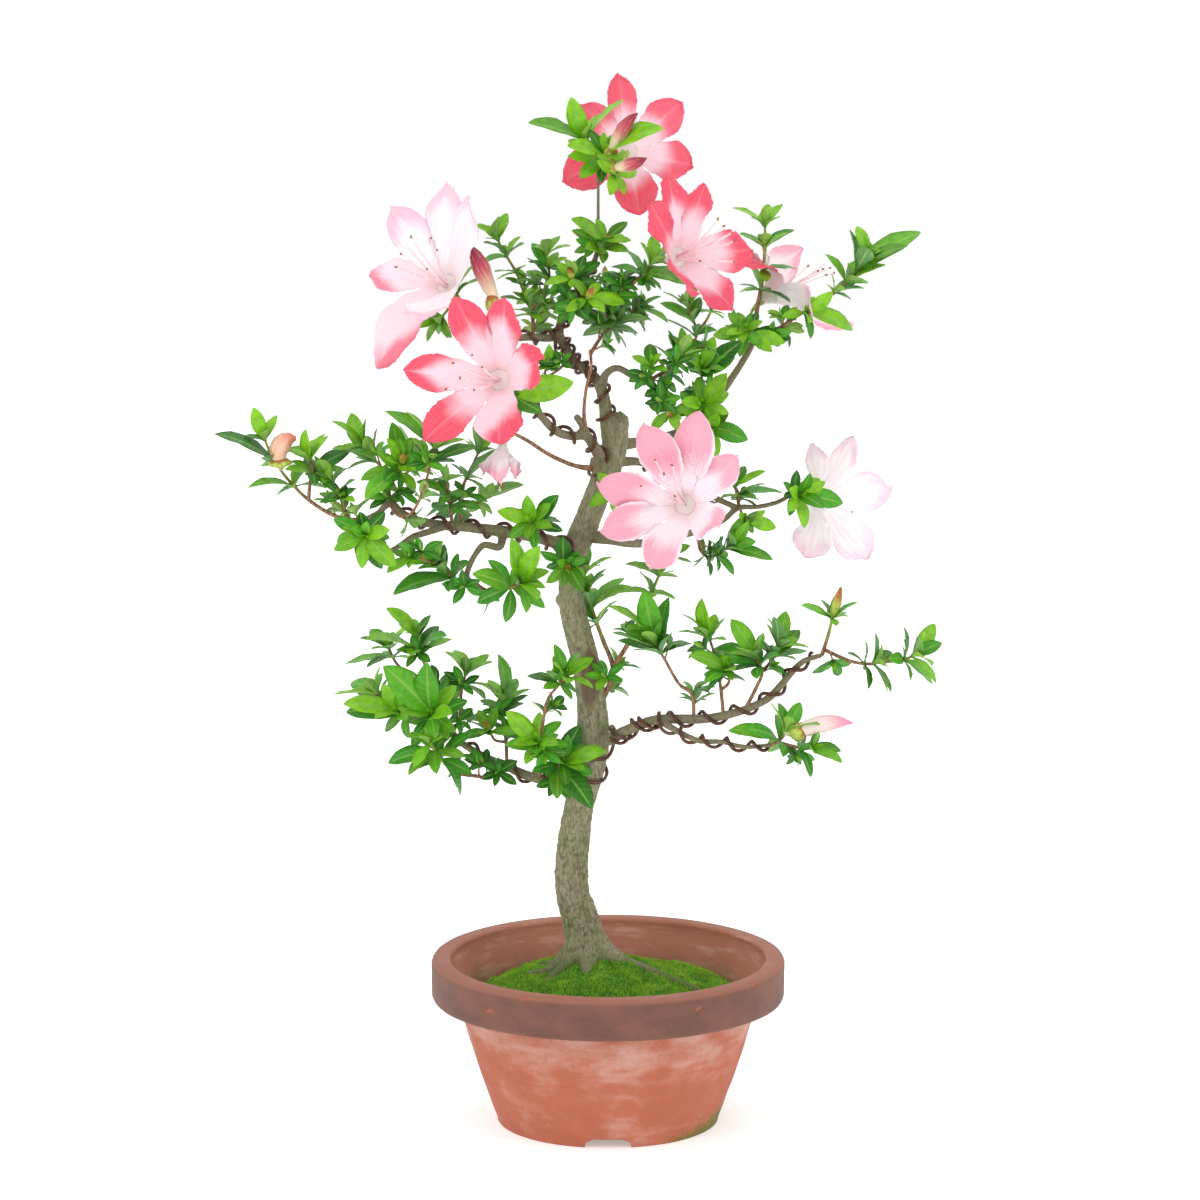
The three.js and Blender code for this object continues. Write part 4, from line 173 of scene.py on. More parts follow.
ROOTS = {
  "root_right": [(600, 948, 24, 6), (622, 961, 17, 1), (650, 969, 11, -6), (680, 976, 8, -14),
    (706, 986, 6, -20)],
  "root_left": [(580, 948, 24, 4), (561, 966, 15, -4), (544, 985, 10, -14), (528, 1002, 6, -22)],
  "root_front": [(590, 952, 24, 2), (587, 976, 15, -12), (592, 997, 10, -24), (597, 1013, 6, -32)],
  "root_back_left": [(580, 940, 24, 12), (559, 948, 13, 26), (538, 953, 7, 42)],
  "root_back_right": [(596, 940, 24, 12), (616, 946, 13, 28), (637, 951, 7, 44)],
  "root_side": [(578, 945, 24, 8), (552, 959, 13, 8), (527, 973, 7, 6)],
}

# Leafy sprays: what each grows on, how its depths fan out, how much of it is this year's light green
# growth, and its shoots. A shoot has its radii at foot and end, the spread of its whorls, its stem, the
# tips of its leaves and, where it has one, the length of its end bud.
SPRAY_ROWS = {
  "apex": ("leader", 1.4, 0.75, [
    (1.3, 0.9, 7, [(598, 178, 6), (597, 167, 4), (591, 153, 1), (585, 139, -1)],
     [(528, 123, -12), (571, 97, -4), (598, 108, 4), (625, 100, -10)]),
    (1.3, 0.9, 8, [(597, 167, 4), (602, 160, -1), (604, 153, -4)], [(559, 155, -4), (567, 146, -18),
     (567, 175, -14), (630, 145, 10), (664, 129, -20), (609, 136, -8)]),
    (1.2, 0.9, 4, [(597, 167, 4), (608, 172, -4), (615, 174, -8)], [(617, 201, -24), (637, 171, 6)])]),
  "top_centre": ("leader", 3, 0.45, [
    (1.2, 0.8, 8, [(597, 254, 3), (603, 247, 1), (606, 240, 0)], [(586, 240, -12), (564, 226, 4),
     (571, 219, -10), (645, 254, -12), (633, 217, 10), (588, 216, 12), (632, 243, -18)], 5)]),
  "top_front": ("leader", 2.6, 0.35, [
    (1.4, 0.9, 7, [(574, 301, 0), (577, 290, -5), (572, 277, -9)], [(545, 285, -16), (556, 262, -6),
     (592, 270, -2), (585, 255, 2), (566, 259, -22), (600, 262, 6)], 10),
    (1.2, 0.8, 6, [(577, 290, -5), (585, 303, -10), (588, 297, -12)], [(564, 293, -20), (566, 312, -18),
     (609, 312, -18), (625, 303, -6), (600, 283, -2)], 12),
    (1.6, 0.9, 12, [(574, 301, 0), (577, 306, -2), (590, 307, -4), (605, 301, -5), (620, 296, -5),
     (635, 282, -6), (645, 271, -6), (652, 263, -6)], [(603, 265, 4), (696, 286, 6), (620, 268, -16),
     (688, 276, -16), (625, 249, 8), (640, 242, -10), (654, 235, 6), (669, 240, -10)])]),
  "top_left": ("upper_left", 2.6, 0.6, [
    (1.5, 0.9, 9, [(533, 333, -6), (533, 322, -4), (531, 311, -3), (529, 302, -3)],
     [(504, 321, -8), (541, 322, -14), (500, 298, -12), (512, 310, 6), (548, 291, -6), (518, 287, -10),
     (535, 285, 4)], 4),
    (1.2, 0.8, 34, [(531, 311, -3), (524, 292, 2), (516, 272, 3), (504, 252, 2), (497, 238, 1)],
     [(540, 283, 10), (490, 272, -14), (523, 269, 10), (481, 262, 8), (524, 244, -8), (484, 243, -10),
     (507, 213, 10), (473, 225, -2), (499, 216, -10)]),
    (1.2, 0.8, 26, [(531, 311, -3), (543, 296, -2), (549, 278, -2), (548, 262, -3), (547, 251, -3)],
     [(529, 271, -18), (562, 285, 6), (527, 258, -10), (567, 272, -12), (532, 243, 6), (571, 246, -6),
     (560, 236, 6), (546, 239, -14)])]),
  "upper_left_end": ("upper_left", 2.4, 0.55, [
    (1.2, 0.8, 8, [(463, 303, -5), (458, 296, -3), (455, 288, -2)], [(478, 262, 4), (446, 302, -12),
     (444, 283, -14), (490, 277, 8), (463, 258, 10)]),
    (1.2, 0.8, 8, [(458, 296, -3), (449, 308, -3), (441, 318, -4)], [(400, 318, -16), (424, 341, -10),
     (417, 306, 8), (452, 338, -12), (438, 334, 6)])]),
  "inner_right": ("thin_twig", 2.2, 0.3, [
    (1.4, 0.9, 8, [(594, 354, -13), (599, 340, -10), (609, 329, -8), (618, 322, -6)],
     [(583, 336, -2), (600, 309, -2), (626, 348, -18), (613, 304, 6), (657, 318, -16), (638, 333, -22)]),
    (1.2, 0.8, 9, [(618, 322, -6), (630, 315, 0), (640, 308, 3)], [(668, 323, 8), (628, 303, 12),
     (652, 321, -8), (618, 296, 8), (661, 297, 0), (641, 289, 10)]),
    (1.2, 0.8, 8, [(609, 329, -8), (606, 308, 2), (605, 290, 8), (605, 278, 10)],
     [(585, 297, 16), (621, 292, 4), (590, 276, 4), (612, 263, 16), (622, 272, 4)], 8)]),
  "inner_left": ("leader", 1.6, 0.3, [
    (1.1, 0.8, 6, [(567, 360, -10), (558, 370, -12), (546, 376, -14), (546, 366, -16)],
     [(535, 352, -8), (562, 352, -14), (549, 344, -20), (530, 372, -24)])]),
  "right_inner_crown": ("right_inner", 1.6, 0.3, [
    (1.5, 0.9, 9, [(646, 385, -14), (662, 373, -14), (674, 366, -13), (681, 356, -12)],
     [(701, 373, -20), (655, 346, -18), (697, 357, -4), (660, 364, -26), (668, 330, -14), (705, 343, 2),
     (690, 334, -20), (700, 331, 0)], 4),
    (1.2, 0.8, 7, [(650, 379, -15), (651, 372, -18), (652, 366, -20)],
     [(632, 356, -16), (640, 369, -28), (633, 345, -10), (662, 354, -26), (668, 371, -26)]),
    (1.2, 0.8, 26, [(674, 366, -13), (690, 350, -6), (697, 332, -4), (692, 318, -4), (688, 305, -4)],
     [(717, 330, 4), (662, 318, -6), (715, 322, -4), (660, 303, -2), (700, 297, 4), (663, 292, -8),
     (685, 288, -10), (696, 284, 4)]),
    (1.2, 0.8, 14, [(697, 332, -4), (706, 321, 0), (712, 309, 2)], [(696, 312, -8), (724, 319, 6),
     (702, 298, 6), (720, 296, -2)]),
    (1.3, 0.9, 7, [(646, 385, -14), (656, 393, -15), (664, 402, -17), (668, 408, -20), (669, 412, -23)],
     [(673, 432, -30), (650, 398, -18), (690, 409, -20), (644, 420, -22), (660, 390, -10)], 6)]),
  "right_upper_low": ("right_upper", 2, 0.35, [
    (1.4, 0.9, 8, [(707, 408, 21), (702, 402, 17), (699, 392, 13), (702, 376, 9), (703, 368, 7)],
     [(684, 353, 2), (724, 370, 0), (735, 357, 10), (717, 328, 10), (742, 341, 14), (690, 372, -2)]),
    (1.3, 0.9, 8, [(702, 402, 17), (704, 408, 9), (704, 404, 3)], [(730, 401, 2), (681, 382, -8),
     (727, 373, -6), (697, 377, 8), (729, 393, 10)]),
    (1.3, 0.9, 8, [(702, 402, 17), (703, 418, 12), (708, 428, 6)], [(741, 445, 8), (718, 413, -8),
     (737, 420, -2), (734, 433, -8), (748, 440, 12), (722, 446, -8)])]),
  "left_lower_end": ("left_lower", 2, 0.3, [
    (1.2, 0.9, 7, [(514, 387, -34), (511, 390, -37), (509, 394, -40)],
     [(574, 382, -46), (530, 425, -40), (524, 438, -32), (500, 420, -34)])]),
  "right_crown": ("right_upper", 2, 0.6, [
    (1.8, 0.8, 70, [(756, 331, 40), (757, 310, 40), (761, 288, 41), (764, 262, 42), (765, 240, 43),
     (765, 224, 43)], [(739, 292, 48), (802, 303, 40), (747, 262, 34), (772, 282, 28), (797, 269, 50),
     (742, 245, 50), (795, 230, 52), (733, 230, 34), (788, 222, 34), (732, 208, 42), (783, 204, 50),
     (765, 204, 36)]),
    (1.6, 0.9, 8, [(756, 331, 40), (749, 336, 33), (746, 330, 29)], [(785, 343, 34), (725, 328, 24),
     (790, 338, 44), (713, 335, 40), (728, 313, 34), (772, 352, 26), (762, 346, 18)]),
    (1.9, 0.9, 14, [(756, 331, 40), (775, 330, 38), (797, 316, 36), (806, 311, 35)],
     [(853, 330, 46), (782, 317, 30), (815, 337, 30), (833, 291, 30)]),
    (1.5, 0.8, 46, [(806, 311, 35), (828, 297, 34), (843, 286, 34), (853, 275, 34), (861, 265, 34),
     (866, 256, 34)], [(826, 284, 42), (883, 286, 28), (857, 281, 42), (886, 265, 28), (820, 247, 36),
     (848, 262, 24), (908, 246, 28), (921, 232, 40), (857, 226, 44), (885, 213, 36), (861, 232, 28)])]),
  "mid_right_tip": ("mid_right", 2.6, 0.5, [
    (1.3, 0.9, 9, [(789, 495, 2), (794, 494, -1), (799, 496, -3)], [(843, 503, 4), (783, 482, -4),
     (789, 516, -6), (806, 536, -10), (824, 508, -14), (822, 480, 4), (813, 467, -12), (797, 470, 4)])]),
  "mid_right_mid": ("mid_right", 2, 0.4, [
    (1.3, 0.9, 9, [(739, 503, -4), (737, 494, -3), (734, 484, -3)], [(756, 498, -14), (721, 497, -8),
     (783, 493, 4), (765, 484, -14), (718, 482, 6), (766, 471, -6), (738, 454, -4), (745, 466, 8)], 6),
    (1.1, 0.8, 6, [(739, 503, -4), (742, 514, -8), (746, 519, -10)], [(776, 528, -6), (757, 514, -22),
     (730, 530, -20)])]),
  "mid_right_low": ("mid_right", 2, 0.3, [
    (1.2, 0.8, 22, [(703, 534, -11), (699, 546, -12), (706, 556, -12), (717, 555, -13), (728, 547, -14)],
     [(697, 530, -8), (704, 540, -20), (718, 575, -18), (734, 575, -10), (712, 540, -4), (726, 538, -22),
     (774, 537, -8), (773, 560, -20), (748, 521, -18)])]),
  "fork": ("trunk", 1.8, 0.5, [
    (2.3, 0.8, 40, [(600, 716, 2), (606, 692, 1), (613, 668, -2), (603, 640, 2), (593, 612, 4), (588, 590, 5),
     (583, 572, 6)], [(583, 636, 8), (572, 600, 10), (617, 601, -4), (568, 585, 2), (632, 587, -4),
     (625, 578, 14), (609, 571, -8), (566, 560, 14), (632, 546, 6), (607, 541, -2), (590, 540, 12)]),
    (1.9, 0.8, 34, [(613, 668, -2), (630, 640, -6), (646, 606, -8), (657, 580, -8), (668, 556, -8)],
     [(612, 593, -2), (673, 597, 2), (643, 566, -16), (625, 564, -2), (676, 571, -12), (640, 549, 2),
     (692, 563, -12), (690, 545, 0), (672, 540, -14)])]),
  "lower_right_near": ("lower_right", 2, 0.3, [
    (1.3, 0.9, 9, [(694, 713, -22), (692, 695, -22), (679, 684, -22), (665, 660, -22), (655, 643, -22)],
     [(693, 644, -10), (618, 640, -12), (612, 633, -34), (606, 624, -20), (607, 606, -30), (669, 597, -14),
     (644, 590, -22), (664, 604, -32), (634, 650, -36)], 8)]),
  "lower_right_mid": ("lower_right", 2, 0.3, [
    (1.3, 0.9, 8, [(722, 711, -24), (721, 690, -23), (716, 660, -21), (709, 637, -20)],
     [(670, 630, -28), (726, 640, -30), (681, 614, -20), (715, 614, -8), (702, 598, -24)]),
    (1.3, 0.9, 7, [(721, 690, -23), (729, 682, -25), (727, 668, -28)],
     [(704, 683, -36), (748, 668, -30), (689, 655, -34), (705, 668, -22), (745, 652, -38)])]),
  "lower_right_far": ("lower_right", 2, 0.3, [
    (1.5, 0.9, 9, [(744, 706, -27), (757, 686, -29), (762, 672, -30), (755, 656, -31)],
     [(780, 655, -44), (757, 679, -46), (727, 652, -24), (731, 619, -24), (735, 636, -42), (765, 627, -40),
     (712, 650, -10)]),
    (1.3, 0.9, 9, [(762, 672, -30), (772, 660, -28), (779, 646, -28)],
     [(808, 651, -20), (796, 660, -38), (800, 630, -16), (764, 610, -34), (775, 617, -42), (786, 611, -20),
     (813, 613, -34), (750, 640, -14)], 6)]),
  "lower_right_tip": ("lower_right", 2, 0.3, [
    (1.5, 0.9, 8, [(825, 654, -27), (828, 636, -27), (833, 616, -27)],
     [(857, 601, -24), (818, 600, -22), (801, 605, -32), (836, 626, -38), (845, 612, -12)], 18),
    (1.4, 0.9, 9, [(825, 654, -27), (850, 661, -27), (870, 664, -28), (876, 662, -28)],
     [(847, 653, -20), (863, 640, -26), (892, 652, -18), (868, 689, -34), (888, 694, -22),
     (911, 707, -34)], 8),
    (1.3, 0.9, 9, [(876, 662, -28), (893, 661, -28), (906, 659, -28), (914, 655, -29)],
     [(888, 659, -40), (902, 645, -20), (933, 685, -18), (951, 700, -36), (963, 637, -28), (906, 618, -22),
     (932, 614, -36)], 4)]),
  "lower_right_lower": ("lower_right_lower", 2, 0.3, [
    (1.2, 0.9, 9, [(775, 744, -47), (782, 738, -48), (786, 731, -48)],
     [(728, 731, -44), (744, 730, -62), (766, 695, -52), (804, 703, -42), (820, 725, -62), (768, 752, -34)]),
    (1.2, 0.9, 8, [(775, 744, -47), (793, 746, -49), (804, 749, -50), (811, 748, -51)],
     [(798, 755, -40), (851, 740, -52), (818, 729, -44), (842, 763, -60), (813, 785, -60),
     (800, 738, -34)])]),
  "lower_left_end": ("lower_left", 1.6, 0.45, [
    (1.4, 0.9, 14, [(447, 723, 16), (440, 696, 24), (428, 672, 26), (420, 652, 25), (417, 635, 24)],
     [(395, 650, 34), (447, 636, 8), (365, 640, 8), (412, 619, 36), (439, 626, 36), (386, 608, 20),
     (431, 615, 24)]),
    (1.3, 0.9, 9, [(440, 696, 24), (415, 678, 31), (397, 664, 34), (388, 646, 34)],
     [(345, 664, 38), (350, 674, 22), (412, 660, 46), (341, 632, 28), (367, 613, 38), (410, 625, 42),
     (392, 648, 14), (375, 660, 50)]),
    (1.4, 0.9, 9, [(447, 723, 16), (425, 718, 7), (403, 712, 4), (386, 703, 3), (375, 692, 3)],
     [(355, 704, 14), (333, 695, -4), (394, 706, -10), (371, 673, 14), (400, 676, 0), (352, 682, 22)]),
    (1.3, 0.9, 9, [(425, 718, 7), (408, 717, -2), (398, 712, -7)], [(408, 738, -4), (375, 719, -22),
     (343, 704, -14), (346, 712, 6), (405, 690, -16), (380, 735, 8)])]),
  "lower_left_front": ("lower_left", 2, 0.3, [
    (1.4, 0.9, 10, [(450, 724, 12), (444, 722, 4), (437, 719, -5), (431, 713, -13)],
     [(412, 748, -8), (392, 730, -28), (439, 753, -36), (469, 706, -24), (383, 666, -26), (463, 693, -6),
     (427, 662, -24), (448, 680, 0)])]),
  "lower_left_under": ("lower_left", 2, 0.3, [
    (1.6, 0.9, 22, [(505, 773, 4), (490, 777, 0), (476, 776, -5), (457, 773, -10), (445, 764, -14),
     (436, 752, -17), (429, 742, -20)], [(460, 796, -2), (484, 795, -16), (392, 790, -26), (388, 763, -12),
     (465, 757, -24), (410, 774, -34), (409, 738, -36)])]),
  "lower_left_mid": ("lower_left", 2, 0.3, [
    (1.3, 0.9, 9, [(463, 739, 14), (460, 718, 17), (461, 695, 19), (466, 672, 20)],
     [(432, 688, 28), (450, 702, 34), (498, 691, 12), (485, 700, 30), (436, 645, 14), (500, 659, 10),
     (479, 645, 24), (455, 650, 36)])]),
  "lower_left_twin": ("lower_left", 2, 0.3, [
    (1.3, 0.9, 9, [(509, 762, 11), (506, 742, 13), (503, 720, 14), (504, 701, 14)],
     [(480, 700, 24), (515, 722, 2), (539, 688, 4), (478, 683, 10), (512, 678, 30), (498, 654, 14),
     (520, 657, 4)]),
    (1.1, 0.8, 7, [(506, 742, 13), (495, 740, 9), (489, 730, 6)], [(460, 738, 6), (520, 734, -2),
     (473, 722, -6), (497, 706, 6), (478, 710, 14)], 9)]),
  "lower_left_near": ("lower_left", 2, 0.4, [
    (1.5, 0.9, 9, [(540, 775, 2), (541, 762, -8), (539, 750, -14), (537, 741, -18)],
     [(495, 742, -14), (508, 774, -32), (553, 735, -4), (506, 711, -22), (577, 709, -16), (529, 719, -30),
     (518, 735, 4)]),
    (1.2, 0.9, 9, [(539, 750, -14), (543, 722, -20), (548, 699, -23), (558, 686, -25), (566, 676, -27)],
     [(527, 676, -18), (577, 694, -14), (611, 695, -38), (553, 656, -22), (601, 653, -20),
     (588, 647, -34)])]),
  "lower_left_trunk": ("lower_left", 1.5, 0.3, [
    (1.6, 0.9, 9, [(557, 779, -8), (554, 772, -15), (558, 765, -21), (563, 761, -24)],
     [(601, 776, -14), (557, 799, -34), (516, 776, -34), (580, 725, -14), (567, 791, -42), (592, 809, -34),
     (600, 734, -26), (607, 752, -36), (568, 738, -36)])]),
  "middle_left_tip": ("middle_left", 2, 0.6, [
    (1.7, 0.8, 48, [(364, 520, -28), (345, 519, -26), (325, 511, -24), (305, 497, -22), (293, 485, -22),
     (282, 472, -22), (272, 456, -22), (264, 438, -22)], [(325, 488, -12), (302, 461, -10), (248, 488, -30),
     (260, 466, -12), (214, 434, -26), (287, 435, -12), (241, 404, -26), (277, 415, -14), (262, 420, -10)]),
    (1.3, 0.8, 13, [(309, 499, -22), (310, 483, -24), (313, 470, -25), (309, 458, -25)],
     [(345, 500, -34), (285, 470, -34), (355, 473, -30), (290, 440, -12), (350, 450, -14), (320, 438, -8),
     (340, 421, -30), (302, 433, -32)]),
    (1.2, 0.8, 12, [(349, 519, -26), (341, 500, -24), (338, 488, -24), (331, 480, -24)],
     [(325, 504, -36), (352, 489, -14), (303, 475, -24), (347, 462, -14), (318, 460, -34),
     (355, 480, -32)], 6)]),
  "middle_left_front": ("middle_left", 2, 0.3, [
    (1.4, 0.9, 9, [(374, 517, -29), (366, 527, -40), (364, 536, -50)],
     [(330, 545, -32), (310, 523, -44), (390, 530, -60), (315, 559, -56), (352, 506, -56), (369, 563, -60),
     (396, 567, -58), (341, 560, -70), (382, 569, -46), (385, 512, -36)])]),
  "middle_left_knob": ("middle_left", 2, 0.45, [
    (1.4, 0.9, 12, [(388, 498, -28), (388, 483, -25), (382, 468, -22), (371, 457, -20), (364, 451, -20)],
     [(323, 448, -26), (333, 440, -8), (351, 413, -8), (331, 421, -24), (378, 419, -10), (360, 420, -34),
     (347, 470, -24)]),
    (1.4, 0.9, 12, [(388, 483, -25), (397, 474, -32), (401, 463, -36)],
     [(384, 482, -50), (352, 480, -36), (365, 499, -46), (428, 470, -42), (383, 432, -44), (392, 422, -26),
     (412, 437, -30)], 10),
    (1.2, 0.8, 10, [(388, 483, -25), (405, 474, -20), (416, 464, -15)],
     [(436, 475, -6), (398, 425, -10), (443, 458, -16), (430, 440, -4), (417, 430, -18), (395, 448, 0)]),
    (1.2, 0.8, 14, [(388, 498, -28), (393, 510, -37), (403, 517, -40), (414, 510, -41), (424, 488, -41),
     (431, 462, -41), (436, 446, -41)], [(455, 462, -52), (478, 447, -36), (412, 438, -50), (385, 411, -30),
     (405, 411, -42), (450, 428, -32)])]),
  "middle_left_leader": ("middle_left", 2, 0.3, [
    (1.3, 0.8, 34, [(453, 519, -23), (450, 505, -26), (448, 490, -28), (446, 478, -28)],
     [(500, 511, -34), (425, 518, -18), (432, 508, -40), (470, 497, -20), (408, 479, -30), (436, 479, -14),
     (459, 476, -18), (442, 466, -36)])]),
  "middle_left_pair": ("middle_left", 2, 0.3, [
    (1.3, 0.8, 32, [(462, 521, -19), (460, 500, -16), (465, 481, -14), (474, 462, -12), (479, 451, -11)],
     [(487, 495, -22), (459, 465, -24), (503, 448, -22), (463, 440, -4), (487, 430, 0), (473, 426, -16)]),
    (1.1, 0.8, 8, [(460, 500, -16), (470, 505, -12), (480, 502, -8)], [(524, 485, -2), (466, 512, 2),
     (492, 514, -16), (494, 483, -12)])]),
  "middle_left_low": ("middle_left_curl", 1.8, 0.3, [
    (1.2, 0.8, 26, [(472, 587, -33), (462, 585, -35), (452, 577, -37), (443, 566, -39), (436, 560, -41)],
     [(393, 595, -46), (470, 562, -46), (458, 553, -30), (446, 550, -44), (411, 569, -50), (402, 561, -36),
     (427, 544, -34), (443, 541, -50)]),
    (1.1, 0.8, 6, [(443, 566, -39), (425, 560, -45), (412, 556, -50)],
     [(387, 573, -58), (412, 538, -44), (400, 548, -60)])]),
  "middle_left_curl_end": ("middle_left_curl", 2, 0.3, [
    (1.4, 0.9, 11, [(480, 586, -35), (488, 591, -38), (501, 590, -42), (513, 587, -45), (520, 582, -47)],
     [(484, 600, -32), (545, 608, -46), (479, 626, -60), (526, 613, -60), (472, 574, -56), (557, 568, -44),
     (488, 560, -38), (540, 546, -54), (511, 538, -50), (537, 600, -68)])]),
  "middle_left_near": ("middle_left", 2, 0.3, [
    (1.3, 0.9, 9, [(540, 531, -18), (536, 528, -26), (532, 522, -32)],
     [(563, 531, -28), (502, 533, -46), (497, 511, -34), (545, 505, -18), (559, 495, -34),
     (526, 488, -42)])]),
  "trunk_front": ("middle_left", 1.3, 0.15, [
    (1.3, 0.9, 8, [(561, 556, -19), (564, 561, -24), (567, 565, -28)],
     [(541, 546, -26), (546, 583, -34), (586, 577, -26), (583, 592, -40), (563, 536, -36),
     (590, 561, -24)], 6)]),
  "trunk_right": ("trunk", 1.3, 0.7, [
    (1.2, 0.9, 7, [(617, 478, -13), (618, 486, -24), (616, 490, -34)],
     [(572, 516, -44), (597, 473, -40), (632, 478, -30), (640, 503, -38)])]),
}
SHOOT_KEYS = ("radii", "spread", "stem", "tips", "bud")
SPRAYS = {
    name: {"on": on, "fan": fan, "young": young, "shoots": [
        dict(zip(SHOOT_KEYS, ((foot, end), *rest, 0))) for foot, end, *rest in shoots]}
    for name, (on, fan, young, shoots) in SPRAY_ROWS.items()
}

# Blooms: what each grows on, its stalk, its throat, the middle of its anthers, the anthers and the lobes.
# A lobe has its tip, then its colouring: the share of its length that stays white along its
# clockwise edge, its middle and its other edge, and its hue, from 0, mauve, over 0.5, pink, to 1, coral.
BLOOM_ROWS = {
  "apex": ("apex", [(598, 173, 6), (607, 167, 11), (624, 155, 17)], (628, 150, 34),
    (634, 140, 50), [(634, 140, 50), (640, 132, 52), (628, 130, 54), (645, 145, 50), (632, 150, 55)],
    [(618, 73, 40, 0.28, 0.42, 0.3, 0.92), (681, 102, 44, 0.3, 0.45, 0.3, 0.9),
     (692, 165, 46, 0.35, 0.5, 0.32, 0.92), (639, 215, 40, 0.2, 0.45, 0.25, 0.98),
     (562, 181, 36, 0.15, 0.25, 0.2, 0.98), (580, 104, 38, 0.2, 0.35, 0.25, 0.9)]),
  "upper_right": ("top_front", [(656, 262, -8), (659, 262, -9), (663, 261, -10)], (684, 255, -24),
    (735, 240, -50), [(718, 219, -44), (732, 233, -50), (734, 241, -52), (734, 262, -50), (700, 261, -58),
     (724, 226, -40)],
    [(752, 250, -8, 0.42, 0.55, 0.4, 1), (705, 184, -22, 0.4, 0.5, 0.36, 1),
     (668, 177, -38, 0.3, 0.62, 0.34, 1), (650, 204, -56, 0.05, 0.2, 0.1, 1),
     (688, 285, -56, 0.05, 0.15, 0.1, 1), (733, 310, -30, 0.3, 0.55, 0.4, 1)]),
  "right_back": ("right_crown", [(749, 322, 42), (751, 314, 44), (757, 304, 47)], (775, 291, 54),
    (822, 270, 80), [(808, 266, 74), (818, 271, 78), (823, 269, 82), (830, 268, 84), (834, 273, 80),
     (826, 275, 74)],
    [(744, 262, 30, 0.5, 0.4, 0.3, 0.95), (768, 238, 72, 0.6, 0.8, 0.5, 0.45),
     (803, 248, 96, 0.55, 0.9, 0.45, 0.4), (852, 327, 84, 0.35, 0.6, 0.35, 0.5),
     (812, 316, 26, 0.5, 0.8, 0.5, 0.3)]),
  "upper_left": ("upper_left", [(463, 301, -4), (459, 298, -4), (455, 294, -4)], (443, 279, -18),
    (412, 258, -50), [(411, 237, -46), (431, 238, -44), (437, 250, -42), (396, 267, -56), (427, 269, -54),
     (401, 254, -52)],
    [(468, 198, -40, 0.6, 0.85, 0.55, 0.2), (446, 183, 0, 0.5, 0.75, 0.5, 0.25),
     (391, 207, 6, 0.4, 0.7, 0.45, 0.3), (370, 277, -6, 0.9, 0.8, 0.45, 0.75),
     (379, 369, -26, 0.95, 0.85, 0.35, 0.8), (416, 314, -64, 0.6, 0.8, 0.5, 0.25)]),
  "left_front": ("left_lower", [(522, 394, -30), (513, 384, -35), (506, 381, -41)], (496, 379, -62),
    (462, 376, -96), [(472, 355, -96), (453, 363, -92), (482, 367, -98), (460, 378, -98), (446, 389, -90),
     (474, 390, -96)],
    [(455, 297, -70, 0.3, 0.48, 0.34, 1), (505, 299, -82, 0.28, 0.66, 0.42, 1),
     (539, 360, -88, 0.38, 0.58, 0.34, 1), (500, 444, -80, 0.85, 0.55, 0.25, 1),
     (424, 441, -64, 0.34, 0.42, 0.3, 1), (403, 370, -58, 0.34, 0.78, 0.36, 1)]),
  "centre_front": ("mid_right_upper", [(691, 487, -1), (690, 495, -20), (688, 502, -42)], (684, 506, -66),
    (668, 488, -96), [(655, 460, -98), (672, 465, -98), (641, 486, -98), (675, 496, -92), (664, 474, -96)],
    [(645, 424, -82, 0.2, 0.25, 0.2, 0.6), (700, 411, -78, 0.35, 0.4, 0.2, 0.58),
     (738, 457, -76, 0.35, 0.55, 0.3, 0.55), (716, 527, -80, 0.45, 0.6, 0.4, 0.5),
     (650, 567, -90, 0.45, 0.5, 0.3, 0.56), (601, 530, -86, 0.25, 0.5, 0.35, 0.6),
     (599, 483, -84, 0.2, 0.4, 0.25, 0.62)]),
  "right_pale": ("mid_right_tip", [(797, 495, 3), (803, 498, 10), (811, 500, 18)], (824, 501, 42),
    (846, 508, 66), [(846, 508, 66), (840, 500, 68), (852, 512, 64), (838, 512, 66), (846, 498, 70)],
    [(812, 443, 52, 0.4, 0.85, 0.45, 0.05), (853, 436, 54, 0.4, 0.9, 0.4, 0.1),
     (889, 487, 56, 0.45, 0.85, 0.4, 0.1), (869, 557, 52, 0.4, 0.85, 0.45, 0.08),
     (806, 558, 46, 0.4, 0.8, 0.4, 0.1)]),
  "nodding": ("long_twig", [(508, 432, -31), (505, 437, -31), (503, 442, -31)], (502, 454, -32),
    (500, 485, -32), [(500, 485, -32), (503, 484, -30), (498, 483, -34), (501, 487, -36)],
    [(484, 475, -36, 0.5, 0.7, 0.4, 0.4), (498, 482, -44, 0.5, 0.65, 0.45, 0.45),
     (514, 478, -38, 0.5, 0.7, 0.4, 0.5), (516, 474, -26, 0.5, 0.7, 0.5, 0.4),
     (491, 475, -22, 0.4, 0.7, 0.5, 0.4)]),
}
BLOOM_KEYS = ("on", "stalk", "throat", "bunch", "anthers", "lobes")
BLOOMS = {name: dict(zip(BLOOM_KEYS, row)) for name, row in BLOOM_ROWS.items()}

